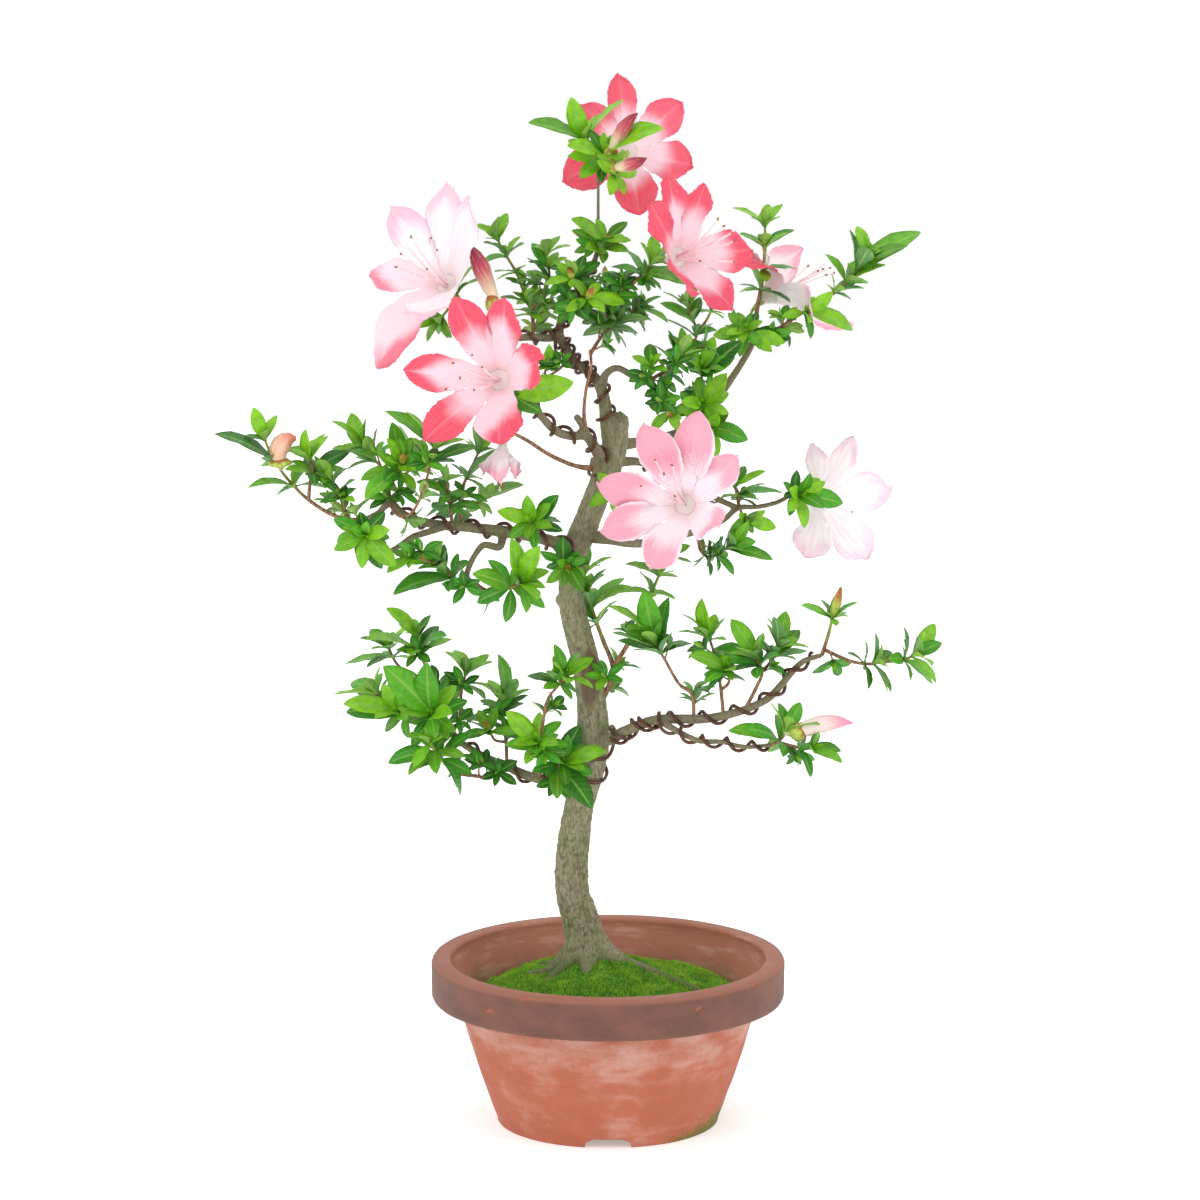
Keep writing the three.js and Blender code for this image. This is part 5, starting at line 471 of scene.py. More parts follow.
BUDS = {
  "bud_upper_left": {"on": "upper_left", "radii": (1, 1.1, 2.4, 4, 5.2, 3.6, 0.4),
    "line": [(494, 331, -9), (497, 314, -12), (495, 300, -12), (489, 287, -12), (481, 268, -14),
      (475, 255, -16), (469, 244, -17)]},
  "buds_apex_a": {"on": "apex", "radii": (1.2, 1.4, 2.6, 3.6, 4, 2.6, 0.3),
    "line": [(604, 164, -2), (609, 160, -8), (612, 151, -10), (617, 140, -13), (624, 128, -16),
      (631, 119, -18), (638, 113, -20)]},
  "buds_apex_b": {"on": "apex", "radii": (1.2, 1.4, 2.6, 3.6, 3.9, 2.6, 0.3),
    "line": [(606, 168, -2), (611, 168, -9), (617, 167, -13), (624, 166, -16), (632, 164, -19),
      (640, 161, -21), (647, 158, -22)]},
  "bud_lower_right": {"on": "lower_right_lower", "radii": (1.2, 1.6, 3, 4.6, 5, 3.6, 0.4),
    "line": [(787, 734, -49), (791, 734, -52), (797, 732, -53), (808, 728, -54), (822, 724, -55),
      (838, 722, -56), (853, 723, -57)]},
  "bud_withered": {"on": "middle_left_tip", "radii": (1.2, 2, 4.2, 5.6, 5.6, 4.2, 1.2),
    "line": [(280, 470, -22), (281, 466, -26), (279, 458, -27), (279, 450, -27), (283, 443, -27),
      (289, 439, -27), (296, 438, -27)]},
}

# ---- Points in space ----


class Spot:
    """A point with its column and row, its radius, and on a branch's foot the radius of what carries it."""

    def __init__(self, at, view=(0, 0), scale=1.0, r=0.0, carrier=0.0):
        self.at = np.array(at, dtype=float)
        self.view = np.array(view, dtype=float)
        self.scale, self.r, self.carrier = scale, r, carrier


def seen(column, row, depth):
    across = column - EYE_CENTRE
    up = EYE_CENTRE - row
    forward = EYE_FOCUS * math.cos(EYE_PITCH) + up * math.sin(EYE_PITCH)
    rise = up * math.cos(EYE_PITCH) - EYE_FOCUS * math.sin(EYE_PITCH)
    scale = (depth - EYE[1]) / forward
    return Spot((EYE[0] + scale * across, depth, EYE[2] + scale * rise), (column, row), scale)


def limb_line(name):
    reach = 1 if name in ("trunk", "leader") or name in ROOTS else BRANCH_REACH
    line = []
    for column, row, width, depth in (LIMBS | ROOTS)[name]:
        spot = seen(column, row, depth * reach)
        spot.r = 0.5 * width * spot.scale
        line.append(spot)
    return line


def foot_on(lines, column, row):
    """The point of these lines that is seen nearest to a column and row."""
    best, foot = math.inf, None
    for line in lines:
        for a, b in zip(line, line[1:]):
            run = b.view - a.view
            off = np.array([column, row]) - a.view
            share = min(max(off @ run / (run @ run), 0), 1)
            away = math.hypot(*(off - share * run))
            if away < best:
                best = away
                at = a.at + share * (b.at - a.at)
                foot = Spot(at, a.view + share * run, carrier=a.r + share * (b.r - a.r))
    return foot


def stem_line(lines, listed, radii, depth_of):
    line = []
    for i, (column, row, depth) in enumerate(listed):
        spot = foot_on(lines, column, row) if i == 0 else seen(column, row, depth_of(depth))
        linear = radii[0] + (radii[1] - radii[0]) * i / (len(listed) - 1)
        spot.r = radii[i] if len(radii) > 2 else linear
        line.append(spot)
    return line


def beyond(line, far):
    """A line without its first stretch."""
    left = far
    for i in range(1, len(line)):
        a, b = line[i - 1], line[i]
        length = np.linalg.norm(b.at - a.at)
        if left < length or i + 1 == len(line):
            share = min(left / length, 0.9)
            start = Spot(a.at + share * (b.at - a.at), a.view + share * (b.view - a.view), r=a.r)
            return [start, *line[i:]]
        left -= length
    return line


def draw(a, b, c):
    """A repeatable number from 0 to 1."""
    wide = math.sin(a * 12.9898 + b * 78.233 + c * 37.719) * 43758.5453
    return wide - math.floor(wide)


def unit(v):
    v = np.asarray(v, dtype=float)
    return v / np.linalg.norm(v, axis=-1, keepdims=True)


def smooth(low, high, x):
    t = np.clip((x - low) / (high - low), 0, 1)
    return t * t * (3 - 2 * t)


def rough(x, y, z, size, octaves=3):
    """Soft noise from -1 to 1 over these points, with features of this size."""
    places = np.stack(np.broadcast_arrays(x, y, z), -1).reshape(-1, 3) / size
    values = [noise.fractal(Vector(p), 0.6, 2.1, octaves) for p in places]
    return np.array(values).reshape(np.broadcast(x, y, z).shape)


limbs = {name: limb_line(name) for name in LIMBS | ROOTS}

# ---- Meshes ----

WELD = 0.02


class Sheet:
    """Gathers points, faces, material numbers and per-point values of one piece."""

    def __init__(self, *values):
        self.points, self.faces, self.kinds = [], [], []
        self.values = {name: [] for name in values}
        self.count = 0

    def add(self, points, faces, kind=0, **values):
        points = np.asarray(points, dtype=float).reshape(-1, 3)
        for name, store in self.values.items():
            value = np.asarray(values.get(name, 0.0), dtype=float)
            store.append(np.broadcast_to(value.reshape(-1) if value.ndim else value, len(points)))
        self.points.append(points)
        self.faces += [[i + self.count for i in face] for face in faces]
        self.kinds += [kind] * len(faces)
        self.count += len(points)

    def make(self, name, materials, weld=False):
        mesh = bpy.data.meshes.new(name)
        points = (np.concatenate(self.points) + POT_AXIS) * MM
        mesh.from_pydata(points.tolist(), [], self.faces)
        for material in materials:
            mesh.materials.append(material)
        mesh.polygons.foreach_set("material_index", self.kinds)
        finish_mesh(mesh, {value: np.concatenate(store) for value, store in self.values.items()})
        if weld:
            join_near(mesh, WELD, face_out=True)
        return linked(name, mesh)


def finish_mesh(mesh, values):
    """Shades a mesh smooth and gives its points these values."""
    mesh.polygons.foreach_set("use_smooth", [True] * len(mesh.polygons))
    for name, value in values.items():
        layer = mesh.attributes.new(name, "FLOAT", "POINT")
        layer.data.foreach_set("value", value.astype(np.float32))
    mesh.update()


def join_near(mesh, distance, face_out=False):
    """Joins the points of a mesh that lie within this distance of each other."""
    form = bmesh.new()
    form.from_mesh(mesh)
    bmesh.ops.remove_doubles(form, verts=form.verts, dist=distance * MM)
    if face_out:
        bmesh.ops.recalc_face_normals(form, faces=form.faces)
    form.to_mesh(mesh)
    form.free()


def linked(name, data):
    """A new object in the scene."""
    made = bpy.data.objects.new(name, data)
    bpy.context.scene.collection.objects.link(made)
    return made


def settle(piece, nodes):
    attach(piece, "root")
    if nodes:
        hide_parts(*nodes)


def baked(piece):
    """A piece's mesh with its modifiers applied."""
    graph = bpy.context.evaluated_depsgraph_get()
    mesh = bpy.data.meshes.new_from_object(piece.evaluated_get(graph))
    piece.modifiers.clear()
    piece.data = mesh
    return mesh


def grid_faces(rows, columns, loop=False, flip=False):
    faces = []
    across = columns if loop else columns - 1
    for i in range(rows - 1):
        for j in range(across):
            k = (j + 1) % columns
            quad = [i * columns + j, i * columns + k, (i + 1) * columns + k, (i + 1) * columns + j]
            faces.append(quad[::-1] if flip else quad)
    return faces


def smooth_line(line, parts):
    """Points and radii along a curve through the spots of a line."""
    at = np.array([spot.at for spot in line])
    r = np.array([spot.r for spot in line])
    if len(line) < 3:
        share = np.linspace(0, 1, parts * (len(line) - 1) + 1)[:, None]
        return at[0] + share * (at[-1] - at[0]), r[0] + share[:, 0] * (r[-1] - r[0])
    points, radii = [], []
    for i in range(len(line) - 1):
        before = at[i - 1] if i else 2 * at[0] - at[1]
        after = at[i + 2] if i + 2 < len(line) else 2 * at[-1] - at[-2]
        for t in np.linspace(0, 1, parts, endpoint=False):
            bend = (after - before + 3 * (at[i] - at[i + 1])) * t ** 3
            bend += (2 * before - 5 * at[i] + 4 * at[i + 1] - after) * t ** 2
            bend += (at[i + 1] - before) * t
            points.append(at[i] + 0.5 * bend)
            radii.append(r[i] + t * (r[i + 1] - r[i]))
    return np.array([*points, at[-1]]), np.array([*radii, r[-1]])


def length_of(line):
    return sum(np.linalg.norm(b.at - a.at) for a, b in zip(line, line[1:]))


def square_to(along, lean=(0.2, 0.3, 1.0)):
    """Two directions square to an axis and to each other."""
    side = unit(np.cross(along, lean))
    return side, np.cross(along, side)


def spoke(turn, side, cross):
    return math.cos(turn) * side + math.sin(turn) * cross


def tree_of(points):
    tree = KDTree(len(points))
    for i, point in enumerate(points):
        tree.insert(point, i)
    tree.balance()
    return tree


def bezier(start, bend, end, t):
    return (1 - t) ** 2 * start + 2 * t * (1 - t) * bend + t ** 2 * end


def upright(count):
    """As many numbers from 0 to 1, in a column."""
    return np.linspace(0, 1, count)[:, None]


def frames(points):
    """Directions along a line of points and square to it, carried along without twisting."""
    ahead = np.vstack([points[1:], points[-1:]]) - np.vstack([points[:1], points[:-1]])
    along = unit(ahead)
    side = np.array([0.0, 1.0, 0.0]) if abs(along[0][0]) > 0.8 else np.array([1.0, 0.0, 0.0])
    sides = []
    for direction in along:
        side = unit(side - direction * (side @ direction))
        sides.append(side)
    sides = np.array(sides)
    return along, sides, np.cross(along, sides)


def rings_round(points, angle):
    """The directions along a line of points, and those round each point at these angles."""
    along, side, cross = frames(points)
    angle = angle[None, :, None]
    return along, np.cos(angle) * side[:, None] + np.sin(angle) * cross[:, None]


def tube_faces(rows, sides):
    """A tube's faces, closed at both ends by fans to two points that follow those of its rings."""
    faces = grid_faces(rows, sides, loop=True)
    last = rows * sides
    for j in range(sides):
        k = (j + 1) % sides
        faces += [[last, k, j], [last + 1, last - sides + j, last - sides + k]]
    return faces


def turns_of(sides):
    return 2 * math.pi * np.arange(sides) / sides


def add_tube(sheet, points, radii, sides, kind=0, **values):
    """A closed round tube. Values are given for each ring; the one along it goes from 0 to 1."""
    along, ring = rings_round(points, turns_of(sides))
    skin = points[:, None] + ring * np.asarray(radii)[:, None, None]
    rows = len(points)
    faces = tube_faces(rows, sides)
    ends = [points[0] - 0.4 * radii[0] * along[0], points[-1] + 0.6 * radii[-1] * along[-1]]
    spread = {}
    for name, value in {"along": np.linspace(0, 1, rows), **values}.items():
        value = np.broadcast_to(np.asarray(value, dtype=float), rows)
        spread[name] = np.concatenate([np.repeat(value, sides), [value[0], value[-1]]])
    sheet.add(np.vstack([skin.reshape(-1, 3), ends]), faces, kind, **spread)

# ---- Materials ----


def colour(code):
    """A colour from its sRGB hex value, in linear light."""
    parts = [int(code[i:i + 2], 16) / 255 for i in (1, 3, 5)]
    return (*[c / 12.92 if c <= 0.04045 else ((c + 0.055) / 1.055) ** 2.4 for c in parts], 1)


def node(material, kind, *inputs, out=0, named=None, **settings):
    """Adds a node with its settings and links. Its inputs, in their order or by name, are values or sockets;
    None leaves one as it is."""
    tree = material.node_tree
    made = tree.nodes.new("ShaderNode" + kind)
    for key, value in settings.items():
        setattr(made, key, value)
    for key, value in [*enumerate(inputs), *(named or {}).items()]:
        if isinstance(value, bpy.types.NodeSocket):
            tree.links.new(value, made.inputs[key])
        elif value is not None:
            made.inputs[key].default_value = value
    return made.outputs[out] if made.outputs else None


SUM = {"operation": "MULTIPLY_ADD"}
PRODUCT = {"operation": "MULTIPLY"}
SOFT_STEP = {"interpolation_type": "SMOOTHSTEP"}


def start_material(name, *values):
    """What adds nodes to a new material, and a socket for each value that the points carry."""
    material = bpy.data.materials.new(name)
    material.use_nodes = True
    material.node_tree.nodes.clear()
    add = partial(node, material)
    return add, *(add("Attribute", out="Fac", attribute_name=value) for value in values)


def finish_material(add, base, roughness, height=None, depth=0.0, **more):
    """The material with its surface and its relief, whose depth is in mm. More sockets come by name."""
    sockets = {"Base Color": base, "Roughness": roughness}
    if height is not None:
        sockets["Normal"] = add("Bump", named={"Height": height, "Strength": 1.0, "Distance": depth * MM})
    sockets |= {key.replace("_", " "): value for key, value in more.items()}
    add("OutputMaterial", add("BsdfPrincipled", named=sockets))
    return add.args[0]


def scaled(add, size, stretch=(1, 1, 1)):
    """Places on the object in which one unit is this size in mm, stretched along an axis."""
    place = add("TexCoord", out="Object")
    return add("Mapping", place, named={"Scale": [1 / (MM * size * s) for s in stretch]})


def grain(add, size, detail=3.0, roughness=0.55, stretch=(1, 1, 1)):
    """Noise with features of this size in mm."""
    return add("TexNoise", scaled(add, size, stretch), None, 1.0, detail, roughness)


def coated(add, base, *coats):
    """Colours laid over a base. Each comes with its share, which is a socket or, in brackets, a value, where
    it starts and ends to show, and the most that it then shows."""
    for share, top in coats:
        if isinstance(share, tuple):
            value, low, high, *most = share
            share = add("MapRange", value, low, high, 0.0, *(most or [1.0]), **SOFT_STEP)
        base, top = (colour(c) if isinstance(c, str) else c for c in (base, top))
        base = add("Mix", share, *[None] * 5, base, top, out=2, data_type="RGBA")
    return base


def make_leaf(name, full, light, rib, roughness, vein_depth):
    add, along, across, tone, young = start_material(name, "along", "across", "tone", "young")
    side = add("Math", across, operation="ABSOLUTE")
    # nine pairs of side veins leave the midrib, about every 2 mm, and run forward to the margin
    slant = add("Math", side, -0.16, along, **SUM)
    vein = add("Math", add("Math", slant, 2 * math.pi * 9, **PRODUCT), operation="SINE")
    midrib = add("MapRange", side, 0.03, 0.17, 1.0, 0.0, **SOFT_STEP)
    mottle = grain(add, 5.0)
    base = coated(
        add, full[0], ((tone, 0.0, 1.0), full[1]), (add("Math", young, 0.9, **PRODUCT), light),
        ((mottle, 0.35, 0.7, 0.34), full[0]), ((vein, 0.86, 1.0, 0.22), rib),
        (add("Math", midrib, 0.62, **PRODUCT), rib))
    height = add("Math", vein, 0.25, add("Math", midrib, -1.0, **PRODUCT), **SUM)
    gloss = add("MapRange", mottle, 0.3, 0.7, roughness - 0.05, roughness + 0.08, **SOFT_STEP)
    return finish_material(add, base, gloss, height, vein_depth, Specular_IOR_Level=0.32)


def make_twig_bark():
    # thin azalea bark: red-brown and papery, green where it is this year's
    add, young = start_material("papery_twig_bark", "young")
    fibre = grain(add, 1.6, stretch=(1, 1, 3))
    base = coated(add, "#6E4630", ((fibre, 0.35, 0.65), "#A07A58"), ((young, 0.35, 0.9), "#8FA83A"))
    return finish_material(add, base, 0.7, fibre, 0.25)


def make_bud_scale():
    # papery bud scales: yellow-green, drying to orange-brown at their tips
    add, along, tone = start_material("papery_bud_scale", "along", "tone")
    speck = grain(add, 1.2, 2.0)
    dry = add("Math", tone, 0.5, add("Math", speck, 0.4, along, **SUM), **SUM)
    return finish_material(add, coated(add, "#B4C558", ((dry, 0.85, 1.35), "#A8622A")), 0.6, speck, 0.15)


def make_bark():
    # old azalea bark: dry, grey-olive plates over cracks painted darker as shade, with a bloom of green algae
    add, crack, plate, girth = start_material("fissured_azalea_bark", "crack", "plate", "girth")
    coarse = grain(add, 14, 4.0, stretch=(1, 1, 2))
    fine = grain(add, 1.3, 5.0, 0.65, (1, 1, 3.5))
    place = add("TexCoord", out="Object")
    # an old scar, red-brown, on the front of the trunk
    centre = (seen(590, 680, -12).at + POT_AXIS) * MM
    apart = add("VectorMath", place, tuple(centre), operation="SUBTRACT")
    away = add("VectorMath", add("VectorMath", apart, (1, 0.6, 0.42), **PRODUCT), out=1, operation="LENGTH")
    away = add("Math", coarse, 0.009, away, **SUM)
    damp = add("Math", coarse, -0.05, add("SeparateXYZ", place, out=2), **SUM)
    # small flakes, taller than wide, parted by narrow fissures that are painted dark as shade
    bent = add("VectorMath", scaled(add, 3.2, (1, 1, 2.3)), coarse, operation="ADD")
    flake = add("TexVoronoi", bent, feature="DISTANCE_TO_EDGE")
    base = coated(
        add, "#9C9674", (plate, "#C2BA98"), ((coarse, 0.42, 0.66), "#A0A874"),
        ((fine, 0.45, 0.68, 0.6), "#C6BFA4"), ((fine, 0.5, 0.3, 0.7), "#574B36"),
        # painted shade: darker in the cracks and, below, in the fissures between flakes
        ((girth, 0.36, 0.14, 0.5), "#86705C"), ((crack, 0.4, 1.0, 0.6), "#574A36"),
        ((away, 0.0135, 0.0105, 0.75), "#7A5644"), ((damp, 0.085, 0.058, 0.7), "#5E7A34"),
        ((flake, 0.09, 0.01, 0.4), "#5A5038"))
    height = add("Math", add("MapRange", flake, 0.0, 0.2, 0.0, 1.0, **SOFT_STEP), 0.6, fine, **SUM)
    return finish_material(add, base, 0.85, height, 0.7)


def make_terracotta():
    # fired terracotta: open-pored and matt, pale salts on the body, the band rubbed to a brown satin
    add, band, chip, inner = start_material("fired_terracotta", "band", "chip", "inner")
    place = add("TexCoord", out="Object")
    x, z = (add("SeparateXYZ", place, out=axis) for axis in (0, 2))
    cloud = grain(add, 26, 5.0, 0.6, (1, 1, 0.7))
    streak = grain(add, 16, 4.0, 0.6, (1.8, 1.8, 0.3))
    speck = grain(add, 2.2, 4.0, 0.65)
    grit = grain(add, 0.9, 2.0)
    # salts: thick under the band, thin clouds lower down
    high = add("MapRange", z, 0.028, 0.074, 0.0, 1.0, **SOFT_STEP)
    salt = add("Math", high, 0.22, add("Math", streak, 0.4, cloud, **SUM), **SUM)
    salt = add("Math", speck, 0.2, salt, **SUM)
    body = coated(add, "#A2563D", (cloud, "#BC6F53"), ((speck, 0.55, 0.72, 0.35), "#864631"),
                  ((salt, 0.78, 1.24, 0.5), "#D3B7AE"))
    # the band is darker brown; its rounded top lip turns lighter, evenly all round
    rubbed = coated(add, "#643F33", ((cloud, 0.35, 0.7), "#784B3B"), ((speck, 0.6, 0.74, 0.3), "#9A6F5C"),
                    ((z, 0.0962, 0.0992, 0.75), "#A06450"))
    tide = add("Math", cloud, 0.016, z, **SUM)
    within = coated(add, "#A15D47", (cloud, "#BA765E"), ((streak, 0.5, 0.75, 0.5), "#D6B0A0"),
                    ((tide, 0.094, 0.080, 0.6), "#5F5A2C"))
    # algae: on the lower right of the foot, where the pot stays wet
    wet = add("Math", x, 7.5, add("Math", z, -20.0, **PRODUCT), **SUM)
    wet = add("Math", speck, 0.5, wet, **SUM)
    base = coated(add, body, (band, rubbed), ((chip, 0.2, 0.6), "#9E543C"), (inner, within),
                  ((wet, 0.46, 0.68, 0.85), "#5C6A22"))
    gloss = add("Math", band, -0.24, 0.86, **SUM)
    return finish_material(add, base, gloss, add("Math", grit, 0.5, speck, **SUM), 0.35)


def make_soil():
    # potting soil: dark wet grains, with painted shade in the gaps between them
    add, = start_material("granular_potting_soil")
    grains = add("TexVoronoi", scaled(add, 1.8))
    base = coated(add, "#5A4634", ((grains, 0.1, 0.7), "#241A12"))
    return finish_material(add, base, 0.95, add("Math", grains, -1.0, **PRODUCT), 0.8)


def make_moss_green():
    # cushion moss: matt, bright at the shoot tips and darker down between them, partly the tips' own fresh
    # colour and partly painted shade, dry at the right
    add, tone, tip = start_material("cushion_moss", "tone", "tip")
    patch = grain(add, 18, 4.0)
    right = add("Math", patch, 0.03, add("SeparateXYZ", add("TexCoord", out="Object")), **SUM)
    right = add("MapRange", right, 0.035, 0.075, 0.0, 1.0, **SOFT_STEP)
    dry = add("MapRange", patch, 0.52, 0.68, 0.0, 0.6, **SOFT_STEP)
    base = coated(add, coated(add, "#28560A", (patch, "#3C7A0C")),
                  ((tip, 0.2, 0.95), coated(add, "#569A10", (tone, "#9AC92A"))),
                  (add("Math", dry, right, **PRODUCT), "#6E6A24"))
    return finish_material(add, base, 0.95)


def make_petal():
    # azalea petal: thin and silky, coral flushed over white with fine lengthwise veins
    names = ("along", "across", "flush", "hue", "blotch", "depth")
    add, along, across, flush, hue, blotch, depth = start_material("silky_petal", *names)
    lane = add("CombineXYZ", *(add("Math", value, times, **PRODUCT)
                               for value, times in ((across, 9.0), (along, 2.6), (hue, 7.0))))
    veins = add("TexNoise", lane, None, 1.0, 4.0, 0.6)
    shaken = add("Math", grain(add, 7.0), 0.16, add("Math", veins, 0.17, flush, **SUM), **SUM)
    tint = coated(add, "#EED4E1", ((hue, 0.0, 0.5), "#EFA2B5"), ((hue, 0.5, 1.0), "#DF3856"),
                  ((veins, 0.35, 0.7, 0.16), "#F293A8"))
    pale = coated(add, "#F4EAEF", ((hue, 0.2, 1.0), "#F3C4D0"), ((veins, 0.4, 0.7, 0.5), "#EFC9D6"))
    midrib = add("MapRange", add("Math", across, operation="ABSOLUTE"), 0.0, 0.12, 0.14, 0.0, **SOFT_STEP)
    dots = add("MapRange", add("TexVoronoi", scaled(add, 2.4)), 0.5, 0.25, 0.0, 0.85, **SOFT_STEP)
    base = coated(add, pale, ((shaken, 0.0, 0.38), tint), (midrib, "#F6C6D0"),
                  (add("Math", depth, 0.35, **PRODUCT), "#F7EBCB"),
                  (add("Math", dots, blotch, **PRODUCT), "#E0356E"))
    return finish_material(add, base, 0.55, veins, 0.3, Sheen_Weight=0.12, Sheen_Roughness=0.4,
                           Subsurface_Weight=0.4, Subsurface_Radius=(1.0, 0.7, 0.7), Subsurface_Scale=3 * MM)


def make_bud_petal(name, foot, body, tip, reach):
    add, along, across = start_material(name, "along", "across")
    lane = add("CombineXYZ", *(add("Math", value, 5.0, **PRODUCT) for value in (across, along)))
    veins = add("TexNoise", lane, None, 1.0, 3.0, 0.55)
    height = add("Math", veins, 0.25, along, **SUM)
    base = coated(add, foot, ((height, reach, reach + 0.28), body), ((height, 0.72, 1.1), tip),
                  ((across, 0.2, 0.0, 0.6), foot))
    return finish_material(add, base, 0.5, veins, 0.3, Sheen_Weight=0.2, Sheen_Roughness=0.4)


def make_plain(name, one, two, size, roughness, detail=3.0, ends=(0.35, 0.65), depth=0.1, **more):
    add, = start_material(name)
    mottle = grain(add, size, detail)
    return finish_material(add, coated(add, one, ((mottle, *ends), two)), roughness, mottle, depth, **more)


# azalea leaf, upper side: a waxed skin, so each blade catches a soft highlight
leaf_upper = make_leaf("waxed_leaf_upper", ("#1C6210", "#40A01A"), "#8CCE16", "#8CBA52", 0.36, 0.16)
# azalea leaf, under side: matt and pale, with the veins standing out
leaf_under = make_leaf("matt_leaf_under", ("#568850", "#76A85C"), "#9CCB46", "#B2CC90", 0.6, -0.14)
twig_bark = make_twig_bark()
bud_scale = make_bud_scale()
bark = make_bark()
# anodised aluminium wire: dyed brown, dull, a little scuffed where it bends
anodised_wire = make_plain("brown_anodised_aluminium", "#5B3A2C", "#8A6650", 2.5, 0.46, 4.0, (0.48, 0.72),
                           0.06, Metallic=0.55)
terracotta = make_terracotta()
potting_soil = make_soil()
moss_green = make_moss_green()
petal = make_petal()
# folded petals of a bud about to open: satin crimson over a pale foot
crimson_bud = make_bud_petal("satin_crimson_bud", "#EFD9B8", "#CC4A60", "#8E1B38", 0.56)
# a younger bud: waxy white with a pink tip
pale_bud = make_bud_petal("waxy_pale_bud", "#DDE2B4", "#F3DCD6", "#E88BA6", 0.35)
# a bud that dried before it opened: papery, salmon going tan
withered_bud = make_bud_petal("papery_withered_bud", "#D9C9A2", "#EDB79C", "#D97B62", 0.3)
# soft hairy flower stalk and calyx
green_stalk = make_plain("hairy_green_stalk", "#7FA03A", "#B2C263", 1.5, 0.6)
# filament and style: smooth and almost white
filament = make_plain("smooth_filament", "#FBE7EA", "#F7C9D2", 4.0, 0.45)
# anther: dry, granular, brown
anther = make_plain("granular_anther", "#7A3A22", "#C07A3C", 0.6, 0.8)

# ---- Leafy sprays ----

# How a leaf may be turned from its listed place, as yaw and pitch in degrees and a share of its length. The
# packed spray's leaves were turned likewise where they would have crossed.
TURNS = [
    (far * math.cos(math.radians(toward)), far * math.sin(math.radians(toward)), scale)
    for scale in (1, 0.8, 0.62)
    for far in (0, 14, 28, 42)
    for toward in ((0, 180, 90, 270, 45, 225, 135, 315) if far else (0,))
]


def spray_stems(spray):
    lines = [limbs[spray["on"]]]
    first = spray["shoots"][0]["stem"][0]
    origin = foot_on(lines, *first[:2]).at[1]

    def depth_of(depth):
        return origin + spray["fan"] * (depth - first[2])

    stems = []
    for shoot in spray["shoots"]:
        line = stem_line(lines, shoot["stem"], shoot["radii"], depth_of)
        if lines[0] is limbs[spray["on"]]:
            lines = [beyond(line, line[0].carrier + FORK_CLEAR)]
        else:
            lines.append(line)
        end = shoot["stem"][-1][2]
        tips = [seen(c, r, depth_of(end) + LEAF_REACH * (d - end)).at for c, r, d in shoot["tips"]]
        stems.append({**shoot, "line": line, "tips": tips})
    return stems


def back_on(line, back):
    """The place and direction of a line at a distance back from its end."""
    for i in range(len(line) - 1, 0, -1):
        run = line[i - 1].at - line[i].at
        length = np.linalg.norm(run)
        if back > length and i > 1:
            back -= length
            continue
        return line[i].at + min(back / length, 1) * run, -run / length


def whorls_of(shoot, spray_index, shoot_index):
    line, count = shoot["line"], len(shoot["tips"])
    end, end_along = back_on(line, 0)
    leaves = []
    for i, tip in enumerate(shoot["tips"]):
        x, y, z = (2 * draw(spray_index + 1, 17 * shoot_index + i, channel) - 1 for channel in (3, 4, 5))
        leaves.append((tip, np.array([0.3 * x, -0.3 + 0.3 * y, 0.4 + 0.3 * z])))
    leader = shoot["spread"] > LEADER_SPREAD
    tiers = math.ceil(count / 3) if leader else 2 if count > 5 else 1
    if not leader:
        leaves.sort(key=lambda leaf: unit(leaf[0] - end) @ end_along)
    reach = min(shoot["spread"], 0.75 * length_of(line))
    whorls = []
    for k in range(tiers):
        back = WHORL_HEIGHT + reach * (tiers - 1 - k) / max(tiers - (0 if leader else 0.4), 1)
        seat, along = back_on(line, back)
        low, high = (math.floor(m * count / tiers + 0.5) for m in (k, k + 1))
        whorls.append((seat, along, leaves[low:high], (k + 1) / tiers))
    return whorls


def turned_run(run, yaw, pitch, scale):
    length = np.linalg.norm(run)
    azimuth = math.atan2(run[1], run[0]) + math.radians(yaw)
    lift = math.asin(run[2] / length) + math.radians(pitch)
    level = math.cos(lift)
    ahead = [level * math.cos(azimuth), level * math.sin(azimuth), math.sin(lift)]
    return scale * length * np.array(ahead)


# Leaf outline over its length: a short stalk, then an ellipse drawn out at both ends.
LEAF_ROWS = np.array([0, 0.06, 0.14, 0.25, 0.38, 0.52, 0.66, 0.79, 0.9, 0.97, 1])
LEAF_COLUMNS = np.array([-1, -0.55, 0, 0.55, 1])
LEAF_THICK = 0.35
LEAF_STALK = 0.55  # half width


def leaf_half_width(length):
    share = np.clip((LEAF_ROWS - 0.05) / 0.95, 0, 1)
    shape = (4 * share * (1 - share)) ** 0.82 * (1 + 0.1 * (share - 0.5))
    half = 0.5 * BLADE_BREADTH * 1.1 * length * shape
    stalk = LEAF_STALK * (1 - smooth(0.05, 0.2, LEAF_ROWS)) + 0.03
    return np.maximum(half, stalk) * (1 - smooth(0.985, 1.02, LEAF_ROWS))


